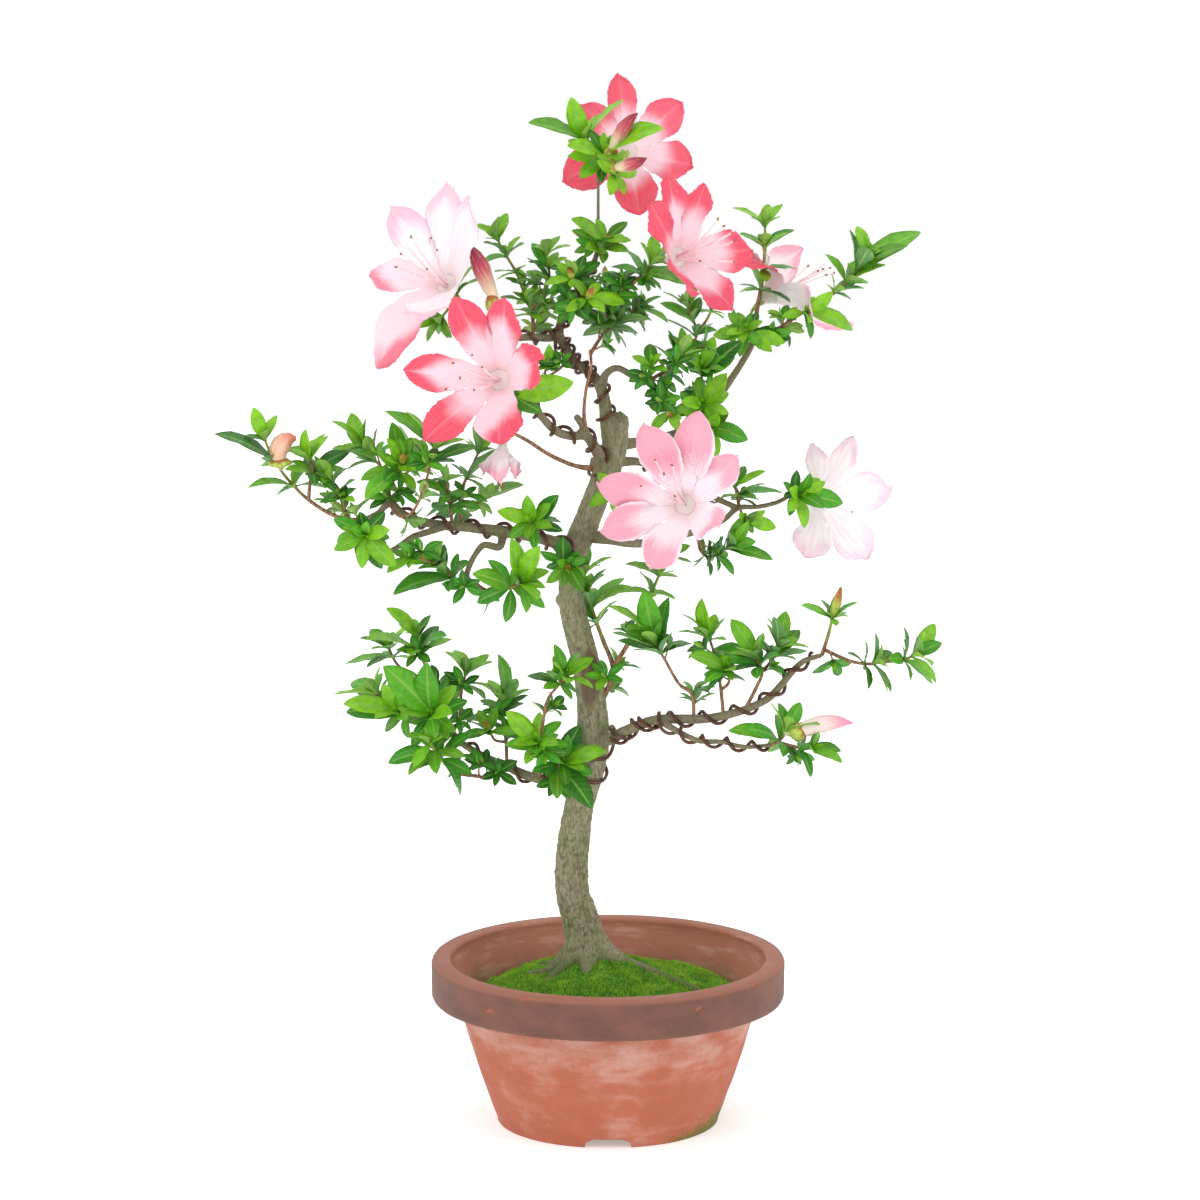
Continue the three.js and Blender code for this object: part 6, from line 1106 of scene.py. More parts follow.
def add_leaf(sheet, base, tip, up, young, seed, bend=1.0, breadth=1.0):
    """One leaf: a folded, arched and slightly waved blade, glossy above and pale beneath."""
    run = tip - base
    length = np.linalg.norm(run)
    side = unit(np.cross(up, run))
    face = unit(np.cross(run, side))
    fold, arch, roll, wave, tone = (draw(seed, 3, k) for k in range(5))
    t, u = LEAF_ROWS[:, None], LEAF_COLUMNS[None, :]
    half = leaf_half_width(length)[:, None] * breadth
    middle = BLADE_ARCH * length * (0.6 + 0.8 * arch) * bend * 4 * t * (1 - t)
    lift = (0.1 + 0.22 * fold) * np.abs(u) ** 1.4 * half
    lift = lift + 0.1 * half * (roll - 0.5) * u
    lift = lift + 0.05 * half * np.sin(2 * math.pi * (2.6 * t + wave) + 1.3 * np.sign(u)) * np.abs(u) ** 3
    body = smooth(0, 0.12, t)
    centre = base + t[..., None] * run + (side * (u * half)[..., None])
    height = middle + lift * body
    thick = np.where(np.abs(u) > 0.9, 0.3, 1) * LEAF_THICK * (1 + 1.6 * (1 - smooth(0.03, 0.2, t)))
    thick = thick * (1 + 0.7 * np.exp(-(u / 0.16) ** 2)) * (0.25 + 0.75 * (1 - t ** 6))
    upper = centre + face * (height + 0.3 * thick)[..., None]
    under = centre + face * (height - 0.7 * thick)[..., None]
    shape = (2, len(LEAF_ROWS), len(LEAF_COLUMNS))
    sheet.add(np.stack([upper, under]), LEAF_TOP, LEAF_UPPER, along=np.broadcast_to(t, shape),
              across=np.broadcast_to(u, shape), tone=tone, young=young)
    first = sheet.count - math.prod(shape)
    sheet.faces += [[i + first for i in face] for face in LEAF_BOTTOM]
    sheet.kinds += [LEAF_UNDER] * len(LEAF_BOTTOM)


def leaf_faces():
    """The faces of a leaf's upper side with its rim, and of its under side."""
    rows, columns = len(LEAF_ROWS), len(LEAF_COLUMNS)
    count = rows * columns
    ids = np.arange(count).reshape(rows, columns)
    border = [int(i) for i in (*ids[0], *ids[1:, -1], *ids[-1, -2::-1], *ids[-2:0:-1, 0])]
    rim = [[a + count, b + count, b, a] for a, b in zip(border, border[1:] + border[:1])]
    top = grid_faces(rows, columns)
    return top + rim, [[i + count for i in face[::-1]] for face in top]


LEAF_TOP, LEAF_BOTTOM = leaf_faces()
LEAF_UPPER, LEAF_UNDER, TWIG, BUD_SCALE = range(4)
WHORL_GAP = math.radians(78)  # between two leaves of a whorl, at most about twice this
SIDE_TWIG_STEP = 7.0  # between the side twigs along a shoot
LEANING = np.array([0, -0.2, 0.3])  # how a leaf's upper side turns from its shoot to the light
SPARSE_SHARE = 0.4  # of the side twigs that open outside the crown
DENSE = ("top_centre", "top_front", "top_left", "upper_left_end", "inner_right", "inner_left",
         "right_inner_crown", "right_upper_low", "left_lower_end", "right_crown")


def add_bud_scales(sheet, at, along, length, radius, seed):
    """A closed end bud: a pointed core in five overlapping scales with brown tips."""
    axes = square_to(along, (0.3, 0.9, 0.2))
    rows = np.linspace(0, 1, 7)
    for k in range(6):
        turn = 2 * math.pi * (k / 2.6 + draw(seed, k, 9))
        out = spoke(turn, *axes)
        wide = np.cross(along, out)
        size = length * (0.62 + 0.38 * (k % 3) / 2)
        bulge = radius * 1.15 * np.sin(math.pi * np.clip(0.12 + 0.86 * rows, 0, 1)) ** 0.8
        half = 0.85 * bulge
        u = np.linspace(-1, 1, 5)[None, :, None]
        ring = at + rows[:, None, None] * along * size
        ring = ring + out * (bulge[:, None, None] * (1 - 0.42 * u ** 2)) + wide * u * half[:, None, None]
        flare = smooth(0.75, 1, rows)[:, None, None] * out * 0.35 * radius * (k % 2)
        skin = (ring + flare).reshape(-1, 3)
        sheet.add(skin, grid_faces(len(rows), 5), BUD_SCALE, along=np.repeat(rows, 5),
                  across=np.tile(u.reshape(-1), len(rows)), tone=draw(seed, k, 4), young=0.5)
    core = at + rows[:, None] * along * length * 0.92
    add_tube(sheet, core, radius * np.sin(math.pi * (0.2 + 0.78 * rows)) ** 0.8, 8, BUD_SCALE,
             along=rows, across=0.0, tone=0.5, young=0.6)


def gap_leaves(seat, along, leaves, seed):
    """Tips and upper sides of the leaves that close wide gaps in a whorl."""
    side, cross = square_to(along)
    runs = [tip - seat for tip, _ in leaves]
    length = 0.72 * np.mean([np.linalg.norm(run) for run in runs])
    rise = np.clip(np.mean([unit(run) @ along for run in runs]), 0.05, 0.6)
    turns = sorted(math.atan2(run @ cross, run @ side) for run in runs)
    found = []
    for low, high in zip(turns, turns[1:] + [turns[0] + 2 * math.pi]):
        room = min(int((high - low) / WHORL_GAP), 3)
        for k in range(room):
            turn = low + (high - low) * (k + 1) / (room + 1) + 0.3 * (draw(seed, k, 1) - 0.5)
            out = spoke(turn, side, cross)
            lift = rise + 0.3 * (draw(seed, k, 2) - 0.5)
            run = unit(out * math.sqrt(1 - lift ** 2) + along * lift)
            found.append((seat + length * (0.8 + 0.3 * draw(seed, k, 3)) * run, along + LEANING))
    return found


def side_twigs(shoot, seed):
    """Short side twigs below the whorls of a shoot: their two ends and the size of their leaves."""
    line = shoot["line"]
    size = np.mean([np.linalg.norm(tip - line[-1].at) for tip in shoot["tips"]] or [8])
    back = shoot["spread"] + 2.5
    while back < length_of(line) - 2:
        seat, along = back_on(line, back)
        out = spoke(2 * math.pi * draw(seed, back, 1), *square_to(along))
        run = unit(out + 0.7 * along + 0.35 * UP)
        yield seat, seat + (4 + 6 * draw(seed, back, 2)) * run, min(max(size, 8), 15)
        back += SIDE_TWIG_STEP * (0.8 + 0.5 * draw(seed, back, 3))


def add_side_twig(sheet, seat, end, size, young, seed):
    along = unit(end - seat)
    side, cross = square_to(along)
    points = np.array([seat, 0.5 * (seat + end) + 0.3 * side, end])
    add_tube(sheet, points, np.array([0.6, 0.5, 0.45]), 6, TWIG, tone=draw(seed, 1, 1), young=young)
    for k in range(6):
        turn = 2 * math.pi * (0.382 * k + 0.1 * draw(seed, k, 2))
        lift = 0.1 + 0.5 * draw(seed, k, 3)
        run = unit(spoke(turn, side, cross) + lift * along)
        length = size * (0.62 + 0.35 * draw(seed, k, 4))
        tone = float(smooth(0.35, 0.9, young * (0.5 + draw(seed, k, 5))))
        add_leaf(sheet, end - 0.25 * k * along, end + length * run, along + LEANING, tone, seed + 11 * k)
    tip = end + 0.5 * size * unit(along + 0.3 * side)
    add_leaf(sheet, end - 0.5 * along, tip, side, 1.0, seed, breadth=0.8)


AT_CORNER = 0.15  # a leaf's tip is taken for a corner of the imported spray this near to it
END_CLEAR = 22  # side twigs keep this far from the ends of the tree


def make_spray(name, spray, spray_index):
    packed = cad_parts["spray_" + name]
    tree = tree_of([np.array(v.co) / MM - POT_AXIS for v in packed.data.vertices])
    sheet = Sheet("along", "across", "tone", "young")
    share_young = spray["young"]

    def lightness(height, seed):
        return float(smooth(0.35, 0.9, 0.45 * height + share_young * draw(seed, 6, 6) * 1.3))

    for shoot_index, shoot in enumerate(spray_stems(spray)):
        line, bud = shoot["line"], shoot["bud"]
        seed = 31 * spray_index + 7 * shoot_index
        points, radii = smooth_line(line, 5)
        total = len(points)
        fresh = np.linspace(0, 1, total) * (0.4 + 0.6 * (draw(seed, 1, 1) < share_young))
        knobs = 1 + 0.16 * np.array([draw(seed, i, 2) for i in range(total)])
        add_tube(sheet, points, radii * 0.78 * knobs, 8, TWIG, tone=draw(seed, 2, 2), young=fresh)
        end, end_along = back_on(line, 0)
        for k, (seat, along, leaves, height) in enumerate(whorls_of(shoot, spray_index, shoot_index)):
            for m, (listed, sway) in enumerate(leaves):
                up = along + sway
                leaf_seed = seed + 101 * k + 13 * m
                ways = (seat + turned_run(listed - seat, *turn) for turn in TURNS)
                tip = next((way for way in ways if tree.find(way)[2] < AT_CORNER), listed)
                add_leaf(sheet, seat, tip, up, lightness(height, leaf_seed), leaf_seed)
            for m, (tip, up) in enumerate(gap_leaves(seat, along, leaves, seed + 17 * k)):
                leaf_seed = seed + 211 * k + 19 * m
                add_leaf(sheet, seat, tip, up, lightness(height, leaf_seed), leaf_seed)
        for m, (seat, tip, size) in enumerate(side_twigs(shoot, seed)):
            near_end = abs(tip[0] + POT_AXIS[0]) > cad_box[1][0] / MM - END_CLEAR
            if not near_end and draw(seed, m, 11) < (1 if name in DENSE else SPARSE_SHARE):
                add_side_twig(sheet, seat, tip, size, share_young, seed + 37 * m)
        if bud > 0:
            add_bud_scales(sheet, end - 0.5 * end_along, end_along, bud + 0.5, 0.9 + 0.1 * bud, seed)
        axes = square_to(end_along)
        for m in range(3 if bud == 0 else 2):
            out = spoke(2 * math.pi * (m / 3 + draw(seed, m, 8)), *axes)
            size = 5 + 4 * draw(seed, m, 7)
            tip = end + size * unit(end_along + (0.35 + 0.3 * draw(seed, m, 5)) * out)
            add_leaf(sheet, end - 0.6 * end_along + 0.4 * out, tip, 1.2 * end_along - out,
                     1.0, seed + 7 * m, breadth=0.85)
    piece = sheet.make("foliage_" + name, [leaf_upper, leaf_under, twig_bark, bud_scale], weld=True)
    settle(piece, ["spray_" + name])

# ---- Wood ----

BARK_VOXEL = 1.05
LIMB_SIDES = 24
LIMB_APART = 300  # parts the limbs' patterns from each other
PLATE_WIDE, PLATE_TALL = 2.5, 6.5
CRACK_WIDE = 0.34  # over the width of a plate
KNOB_SEAT = 0.85  # how far out from a limb's middle a knob may sit, over the limb's radius

# Knots and scars that stand out of the bark: column, row, depth, radius.
KNOBS = [
    (587, 838, -6, 3.8), (575, 852, -8, 3.4), (561, 872, 4, 3.8), (589, 757, -8, 4.4), (562, 600, 2, 4.2),
    (583, 545, -10, 6), (599, 468, -8, 6.5), (560, 545, -8, 5), (601, 930, 2, 3.2), (570, 940, -4, 4.4),
    (597, 700, 3, 4), (566, 800, 2, 3.6),
]

SEPARATE_TWIGS = ("thin_twig", "long_twig")


def flakes(x, y, z):
    """Bark plates: how near a point is to a crack, and a number of its plate."""
    (first, second, *_), places = noise.voronoi(Vector((x, y, z)))
    cell = places[0]
    return second - first, draw(round(cell[0], 3), round(cell[1], 3), round(cell[2], 3))


def laid_on_moss(line):
    """A root's line, with all of it beyond its start sunk halfway into the moss."""
    laid = list(line[:1])
    for spot in line[1:]:
        x, y, z = spot.at
        top = float(moss_height(x, y)) + 0.1 * spot.r
        laid.append(Spot((x, y, min(z, top)), r=0.85 * spot.r))
    return laid


def make_wood():
    sheet = Sheet()
    samples = []
    for name, line in limbs.items():
        if name in SEPARATE_TWIGS:
            continue
        points, radii = smooth_line(laid_on_moss(line) if name in ROOTS else line, 6)
        add_tube(sheet, points, radii * 0.99, LIMB_SIDES)
        _, side, cross = frames(points)
        travel = np.concatenate([[0], np.cumsum(np.linalg.norm(np.diff(points, axis=0), axis=1))])
        samples += zip(points, radii, travel + LIMB_APART * len(samples), side, cross)
    for column, row, depth, r in KNOBS:
        knob = seen(column, row, depth).at
        point, carrier, *_ = min(samples, key=lambda sample: np.linalg.norm(sample[0] - knob))
        off = knob - point
        off = off * min(1, KNOB_SEAT * carrier / np.linalg.norm(off))
        rise = np.linspace(-0.9, 0.9, 7)
        line = point + off + np.outer(rise, UP) * r
        add_tube(sheet, line, r * np.sqrt(1 - rise ** 2), 14)
    piece = sheet.make("wood", [bark])
    shell = piece.modifiers.new("fused", "REMESH")
    shell.mode = "VOXEL"
    shell.voxel_size = BARK_VOXEL * MM
    mesh = baked(piece)

    tree = tree_of([sample[0] for sample in samples])
    count = len(mesh.vertices)
    at, normals = np.zeros((2, 3 * count))
    mesh.vertices.foreach_get("co", at)
    mesh.vertices.foreach_get("normal", normals)
    at = at.reshape(-1, 3) / MM - POT_AXIS
    crack, plate, girth, shift = np.zeros((4, count))
    for i in range(count):
        point, r, travel, side, cross = samples[tree.find(at[i])[1]]
        off = at[i] - point
        x, y = off @ side, off @ cross
        size = math.hypot(x, y) + 1e-6
        wide = max(r, 3.0)
        x, y = x / size * wide, y / size * wide
        run = travel + off @ np.cross(side, cross)
        fine = 0.55 + 0.45 * min(r / 11, 1)
        warp = noise.noise(Vector((x / 6, y / 6, run / 14))) * 1.4
        broad, tall = PLATE_WIDE * fine, PLATE_TALL * fine
        edge, cell = flakes(x / broad + warp, y / broad - warp, run / tall)
        depth = 1 - min(edge / CRACK_WIDE, 1)
        strength = min(max(r - 1.8, 0) / 9, 1)
        swell = noise.noise(Vector((x / 11, y / 11, run / 34)))
        grain = noise.noise(Vector((x / 1.5, y / 1.5, run / 4)))
        shift[i] = strength * (0.5 * (cell - 0.45) - 0.6 * depth ** 1.6 + 1.1 * swell + 0.4 * grain)
        # a crack's depth also darkens the bark's colour in its material: painted shade
        crack[i], plate[i], girth[i] = depth * strength, cell, min(r / 16, 1)
    moved = (at + normals.reshape(-1, 3) * shift[:, None] + POT_AXIS) * MM
    mesh.vertices.foreach_set("co", moved.reshape(-1))
    finish_mesh(mesh, {"crack": crack, "plate": plate, "girth": girth})
    settle(piece, ["trunk"])

    twigs = Sheet("along", "across", "tone", "young")
    for name in SEPARATE_TWIGS:
        points, radii = smooth_line(limbs[name], 6)
        add_tube(twigs, points, radii * 0.9, 10, tone=0.4)
    settle(twigs.make("inner_twigs", [twig_bark], weld=True), ["trunk"])


# ---- Training wires ----

WIRE_SWELL = 0.42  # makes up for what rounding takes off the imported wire's three edges


def make_wires():
    for name in [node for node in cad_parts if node.startswith("wire_")]:
        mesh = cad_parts[name].data.copy()
        mesh.materials.clear()
        mesh.materials.append(anodised_wire)
        join_near(mesh, 0.5 * WELD)
        piece = linked(name + "_round", mesh)
        rounded = piece.modifiers.new("rounded", "SUBSURF")
        rounded.levels = rounded.render_levels = 2
        mesh = baked(piece)
        for vertex in mesh.vertices:
            vertex.co += vertex.normal * WIRE_SWELL * MM
        finish_mesh(mesh, {})
        settle(piece, [name])


# ---- Pot, soil and moss ----


def dome_at(r):
    return SOIL_EDGE + SOIL_DOME * (1 - (r / SOIL_RADIUS) ** 2)


def arc(centre, r, start, end, parts=6):
    turn = np.radians(np.linspace(start, end, parts))
    return [(centre[0] + r * math.cos(a), centre[1] + r * math.sin(a)) for a in turn]


# Chips off the edge of the rim, as seen: column, row, radius.
RIM_CHIPS = [(482, 986, 3.4), (523, 999, 2.6), (490, 1012, 2.2), (449, 968, 2.4), (700, 1008, 1.8),
             (756, 985, 1.6)]


def pot_profile():
    band = POT_HEIGHT - RIM_BAND
    high, low = np.array([(RIM_RADIUS - 11.4, POT_HEIGHT - 3.5), (RIM_RADIUS - 22.9, SOIL_EDGE)])
    floor = [(FOOT_RADIUS - 2, FLOOR_TOP), (DRAIN_RADIUS, FLOOR_TOP), (DRAIN_RADIUS, FOOT_HEIGHT)]
    corner = arc((FOOT_RADIUS - 1.2, 1.4), 1.4, -90, 0)
    body = [(FOOT_RADIUS + 0.2 + (BODY_RADIUS - FOOT_RADIUS) * s + 0.9 * math.sin(math.pi * s),
             2 + (band - 5) * s) for s in np.linspace(0, 1, 28)]
    shelf = arc((RIM_RADIUS - 3, band + 2.8), 3, -90, 0)
    lip = arc((RIM_RADIUS - 3.6, POT_HEIGHT - 3.6), 3.6, 0, 80)
    wall = [(RIM_RADIUS, band + 3 + (POT_HEIGHT - 7 - band) * s) for s in np.linspace(0, 1, 9)[1:]]
    top = [(RIM_RADIUS - 9, POT_HEIGHT), *arc((RIM_RADIUS - 9.4, POT_HEIGHT - 2.2), 2.2, 100, 190)]
    inside = [tuple(high + (low - high) * s) for s in np.linspace(0.05, 1, 12)]
    heel = FOOT_RADIUS - FOOT_RING
    ring = [(heel, FOOT_HEIGHT), *arc((heel + 1.2, 1.2), 1.2, 180, 270)]
    neck = [(BODY_RADIUS + 0.2, band - 2.3), (BODY_RADIUS + 1.4, band - 0.6)]
    return corner + body + neck + shelf + wall + lip + top + inside + floor + ring


POT_SEGMENTS = 216
NOTCH_TURNS = (-90, 30, 150)
CHIP_DEPTH = 0.9


def make_pot():
    profile = pot_profile()
    turn = turns_of(POT_SEGMENTS)
    r, z = np.array(profile).T[..., None]
    x, y = r * np.cos(turn), r * np.sin(turn)
    z = np.broadcast_to(z, x.shape)
    outside = np.broadcast_to(r > FOOT_RADIUS - 1, x.shape)
    wobble = 0.28 * rough(x, y, z, 46.0, 2) + 0.1 * rough(x, y, z, 7.0, 2)
    wheel = 0.07 * np.sin(z * 2.1 + 1.5 * rough(x, y, z * 0.2, 60.0, 1))
    push = np.where(outside, wobble + wheel, 0)
    chip = np.zeros(x.shape)
    for column, row, size in RIM_CHIPS:
        hit = on_rim(column, row)
        away = np.sqrt((x - hit[0]) ** 2 + (y - hit[1]) ** 2 + 1.6 * (z - hit[2]) ** 2)
        chip = np.maximum(chip, 1 - smooth(0.55 * size, 1.15 * size, away))
    push = push - CHIP_DEPTH * chip
    points = np.stack([x + push * np.cos(turn), y + push * np.sin(turn), z], -1)
    sheet = Sheet("band", "chip", "inner")
    in_band = smooth(POT_HEIGHT - RIM_BAND - 1.6, POT_HEIGHT - RIM_BAND + 0.6, z) * outside
    order = np.arange(len(profile))[:, None]
    top = len(profile) - 1 - next(i for i, p in enumerate(profile[::-1]) if p[1] >= POT_HEIGHT - 0.5)
    inner = np.broadcast_to(smooth(top - 6, top + 3, order), x.shape)
    grid = grid_faces(len(profile) + 1, POT_SEGMENTS, loop=True)
    faces = [[i % x.size for i in face] for face in grid]  # the last row is the first again
    sheet.add(points, faces, band=in_band, chip=chip, inner=inner)
    piece = sheet.make("clay_pot", [terracotta], weld=True)
    for angle in NOTCH_TURNS:
        cutter = notch_cutter(math.radians(angle))
        cut = piece.modifiers.new("notch", "BOOLEAN")
        cut.operation, cut.solver, cut.object = "DIFFERENCE", "EXACT", cutter
        baked(piece)
        bpy.data.objects.remove(cutter)
    settle(piece, ["pot"])


def notch_cutter(angle):
    """A wedge with a rounded top that opens the foot ring."""
    out = np.array([math.cos(angle), math.sin(angle), 0])
    wide = np.array([-math.sin(angle), math.cos(angle), 0])
    rise = [(-0.5, -4), (0.5, -4), (0.46, 0.55 * NOTCH_HEIGHT), (0.3, 0.95 * NOTCH_HEIGHT),
            (-0.3, 0.95 * NOTCH_HEIGHT), (-0.46, 0.55 * NOTCH_HEIGHT)]
    sheet = Sheet()
    points = [out * r + wide * w * NOTCH_WIDTH + UP * h
              for r in (FOOT_RADIUS - 2 * FOOT_RING, FOOT_RADIUS + 2 * FOOT_RING) for w, h in rise]
    faces = [[i, (i + 1) % 6, 6 + (i + 1) % 6, 6 + i] for i in range(6)]
    sheet.add(points, faces + [[5, 4, 3, 2, 1, 0], [6, 7, 8, 9, 10, 11]])
    return sheet.make("notch_cutter", [], weld=True)


def on_rim(column, row):
    """The place on the front of the rim band that is seen at a column and row."""
    near, far = seen(column, row, -RIM_RADIUS).at, seen(column, row, RIM_RADIUS).at
    run = (far - near)[:2]
    start = near[:2]
    a, b, c = run @ run, 2 * run @ start, start @ start - RIM_RADIUS ** 2
    share = (-b - math.sqrt(max(b * b - 4 * a * c, 0))) / (2 * a)
    return near + share * (far - near)


def moss_height(x, y):
    r = np.hypot(x, y)
    angle = np.arctan2(y, x)
    bump = MOSS_BUMP * (np.sin(0.21 * r + 3 * angle) + 0.7 * np.sin(5 * angle - 0.13 * r))
    depth = (MOSS_DEPTH - MOSS_EDGE + bump) * smooth(0, 12, MOSS_RADIUS - r) + MOSS_EDGE
    mounds = (MOSS_MOUND, MOSS_MOUND_RADIUS), (ROOT_MOSS, ROOT_MOSS_RADIUS)
    return dome_at(r) + 0.3 + depth + sum(high * np.exp(-(r / wide) ** 2) for high, wide in mounds)


# Moss that has crept up over the roots: height and radius.
ROOT_MOSS = 4.2
ROOT_MOSS_RADIUS = 42
MOSS_RINGS = 84
MOSS_SECTORS = 240
CUSHION_SWELL = 1.1
TUFTS = 30000
TUFT_HEIGHT = (0.9, 2.3)
TUFT_CLEAR = 0.6  # between a tuft and the wood


def make_moss():
    turn = turns_of(MOSS_SECTORS)
    r = (MOSS_RADIUS * np.linspace(0.06, 1, MOSS_RINGS))[:, None]
    r = np.minimum(r, MOSS_RADIUS - 0.2)
    x, y = r * np.cos(turn), r * np.sin(turn)
    cushion = rough(x, y, 0.0 * x, 13.0, 3)
    grain = rough(x, y, 5 + 0.0 * x, 2.6, 2)
    z = moss_height(x, y) + CUSHION_SWELL * cushion + 0.55 * grain
    sheet = Sheet("tone", "tip")
    tone = np.clip(0.5 + 0.9 * cushion, 0, 1)
    top = np.stack([x, y, z], -1)
    sheet.add(top, grid_faces(MOSS_RINGS, MOSS_SECTORS, loop=True), tone=tone, tip=0.25)
    sheet.add([(0, 0, float(moss_height(0.0, 0.0)))], [], tone=0.5, tip=0.2)
    hub = MOSS_RINGS * MOSS_SECTORS
    sheet.faces += [[hub, j, (j + 1) % MOSS_SECTORS] for j in range(MOSS_SECTORS)]
    sheet.kinds += [0] * MOSS_SECTORS
    draws = np.random.default_rng(11)
    reach = (MOSS_RADIUS - 1.6) * np.sqrt(draws.random(TUFTS))
    angle = 2 * math.pi * draws.random(TUFTS)
    tx, ty = reach * np.cos(angle), reach * np.sin(angle)
    wood = [spot for name in (*ROOTS, "trunk") for spot in limbs[name]]
    tc = rough(tx, ty, 0.0 * tx, 13.0, 3)
    tz = moss_height(tx, ty) + CUSHION_SWELL * tc
    off = np.stack([tx, ty, tz], -1)[:, None] - np.array([spot.at for spot in wood])
    away = np.min(np.linalg.norm(off, axis=2) - np.array([spot.r for spot in wood]), axis=1)
    tx, ty, tz, tc = (value[away > TUFT_CLEAR] for value in (tx, ty, tz, tc))
    count = len(tx)
    least, most = TUFT_HEIGHT
    tall = least + (most - least) * draws.random(count) ** 1.5
    wide = 0.42 + 0.3 * draws.random(count)
    spin = 2 * math.pi * draws.random(count)
    lean = 0.55 * draws.normal(size=(count, 2)) * tall[:, None]
    base = np.stack([tx, ty, tz - 0.7], -1)
    corners = [base + np.stack([wide * np.cos(spin + k * 2.094), wide * np.sin(spin + k * 2.094),
                                0 * wide], -1) for k in range(3)]
    tips = base + np.concatenate([lean, (tall + 0.7)[:, None]], 1)
    points = np.stack([*corners, tips], 1).reshape(-1, 3)
    first = 4 * np.arange(count)[:, None]
    faces = np.concatenate([first + f for f in ([0, 1, 3], [1, 2, 3], [2, 0, 3])])
    tones = np.clip(0.5 + 0.9 * tc + 0.25 * draws.normal(size=count), 0, 1)
    # tip: dark at a tuft's foot and on the cushion between tufts as painted shade, bright at the tip
    tip = np.tile([0.15, 0.15, 0.15, 1.0], count)
    sheet.add(points, faces.tolist(), tone=np.repeat(tones, 4), tip=tip)
    settle(sheet.make("moss_cushion", [moss_green]), ["moss"])

# ---- Blooms ----

WHITE_MARGIN = {"centre_front": 0.55, "right_pale": 0.0}
BLOTCHED = {"centre_front": (0, 1)}  # the lobes that carry a blotch of dots

PETAL_THICK = 0.45
LOBE_FULLNESS = 1.2  # each lobe's breadth over that of its solid: the soft margins lie over each other
LEAST_BREADTH = 0.25  # half the breadth over the reach
WIDEST = 0.42  # where a lobe is taken to be widest, over its length
LOBE_ROWS = np.concatenate([np.linspace(0, 0.92, 24), [0.95, 0.972, 0.988, 0.996, 1.0]])
LOBE_COLUMNS = np.linspace(-1, 1, 17)
THROAT_ROWS = np.linspace(0.12, 1, 8)[:-1]
FLOOR_RINGS, FLOOR_SIDES = 6, 24
FLOOR_SHARE = 0.7  # how far up the tube its pale, downy floor shows


def hanging(bloom, listed, radii):
    carriers = bloom["on"]
    if carriers in SPRAYS:
        lines = [shoot["line"] for shoot in spray_stems(SPRAYS[carriers])]
    else:
        lines = [limbs[carriers]]
    shift = foot_on(lines, *listed[0][:2]).at[1] - listed[0][2]
    return stem_line(lines, listed, radii, lambda depth: depth + shift), shift


def lobe_share(t):
    """Half width of a lobe over its widest, along its length."""
    low = 1 - 0.18 * smooth(0.5, 0.25, t) + 0.2 * smooth(0.3, 0.05, t)
    high = np.clip(1 - np.clip((t - 0.46) / 0.54, 0, 1) ** 2, 0, 1) ** 0.78
    return low * high


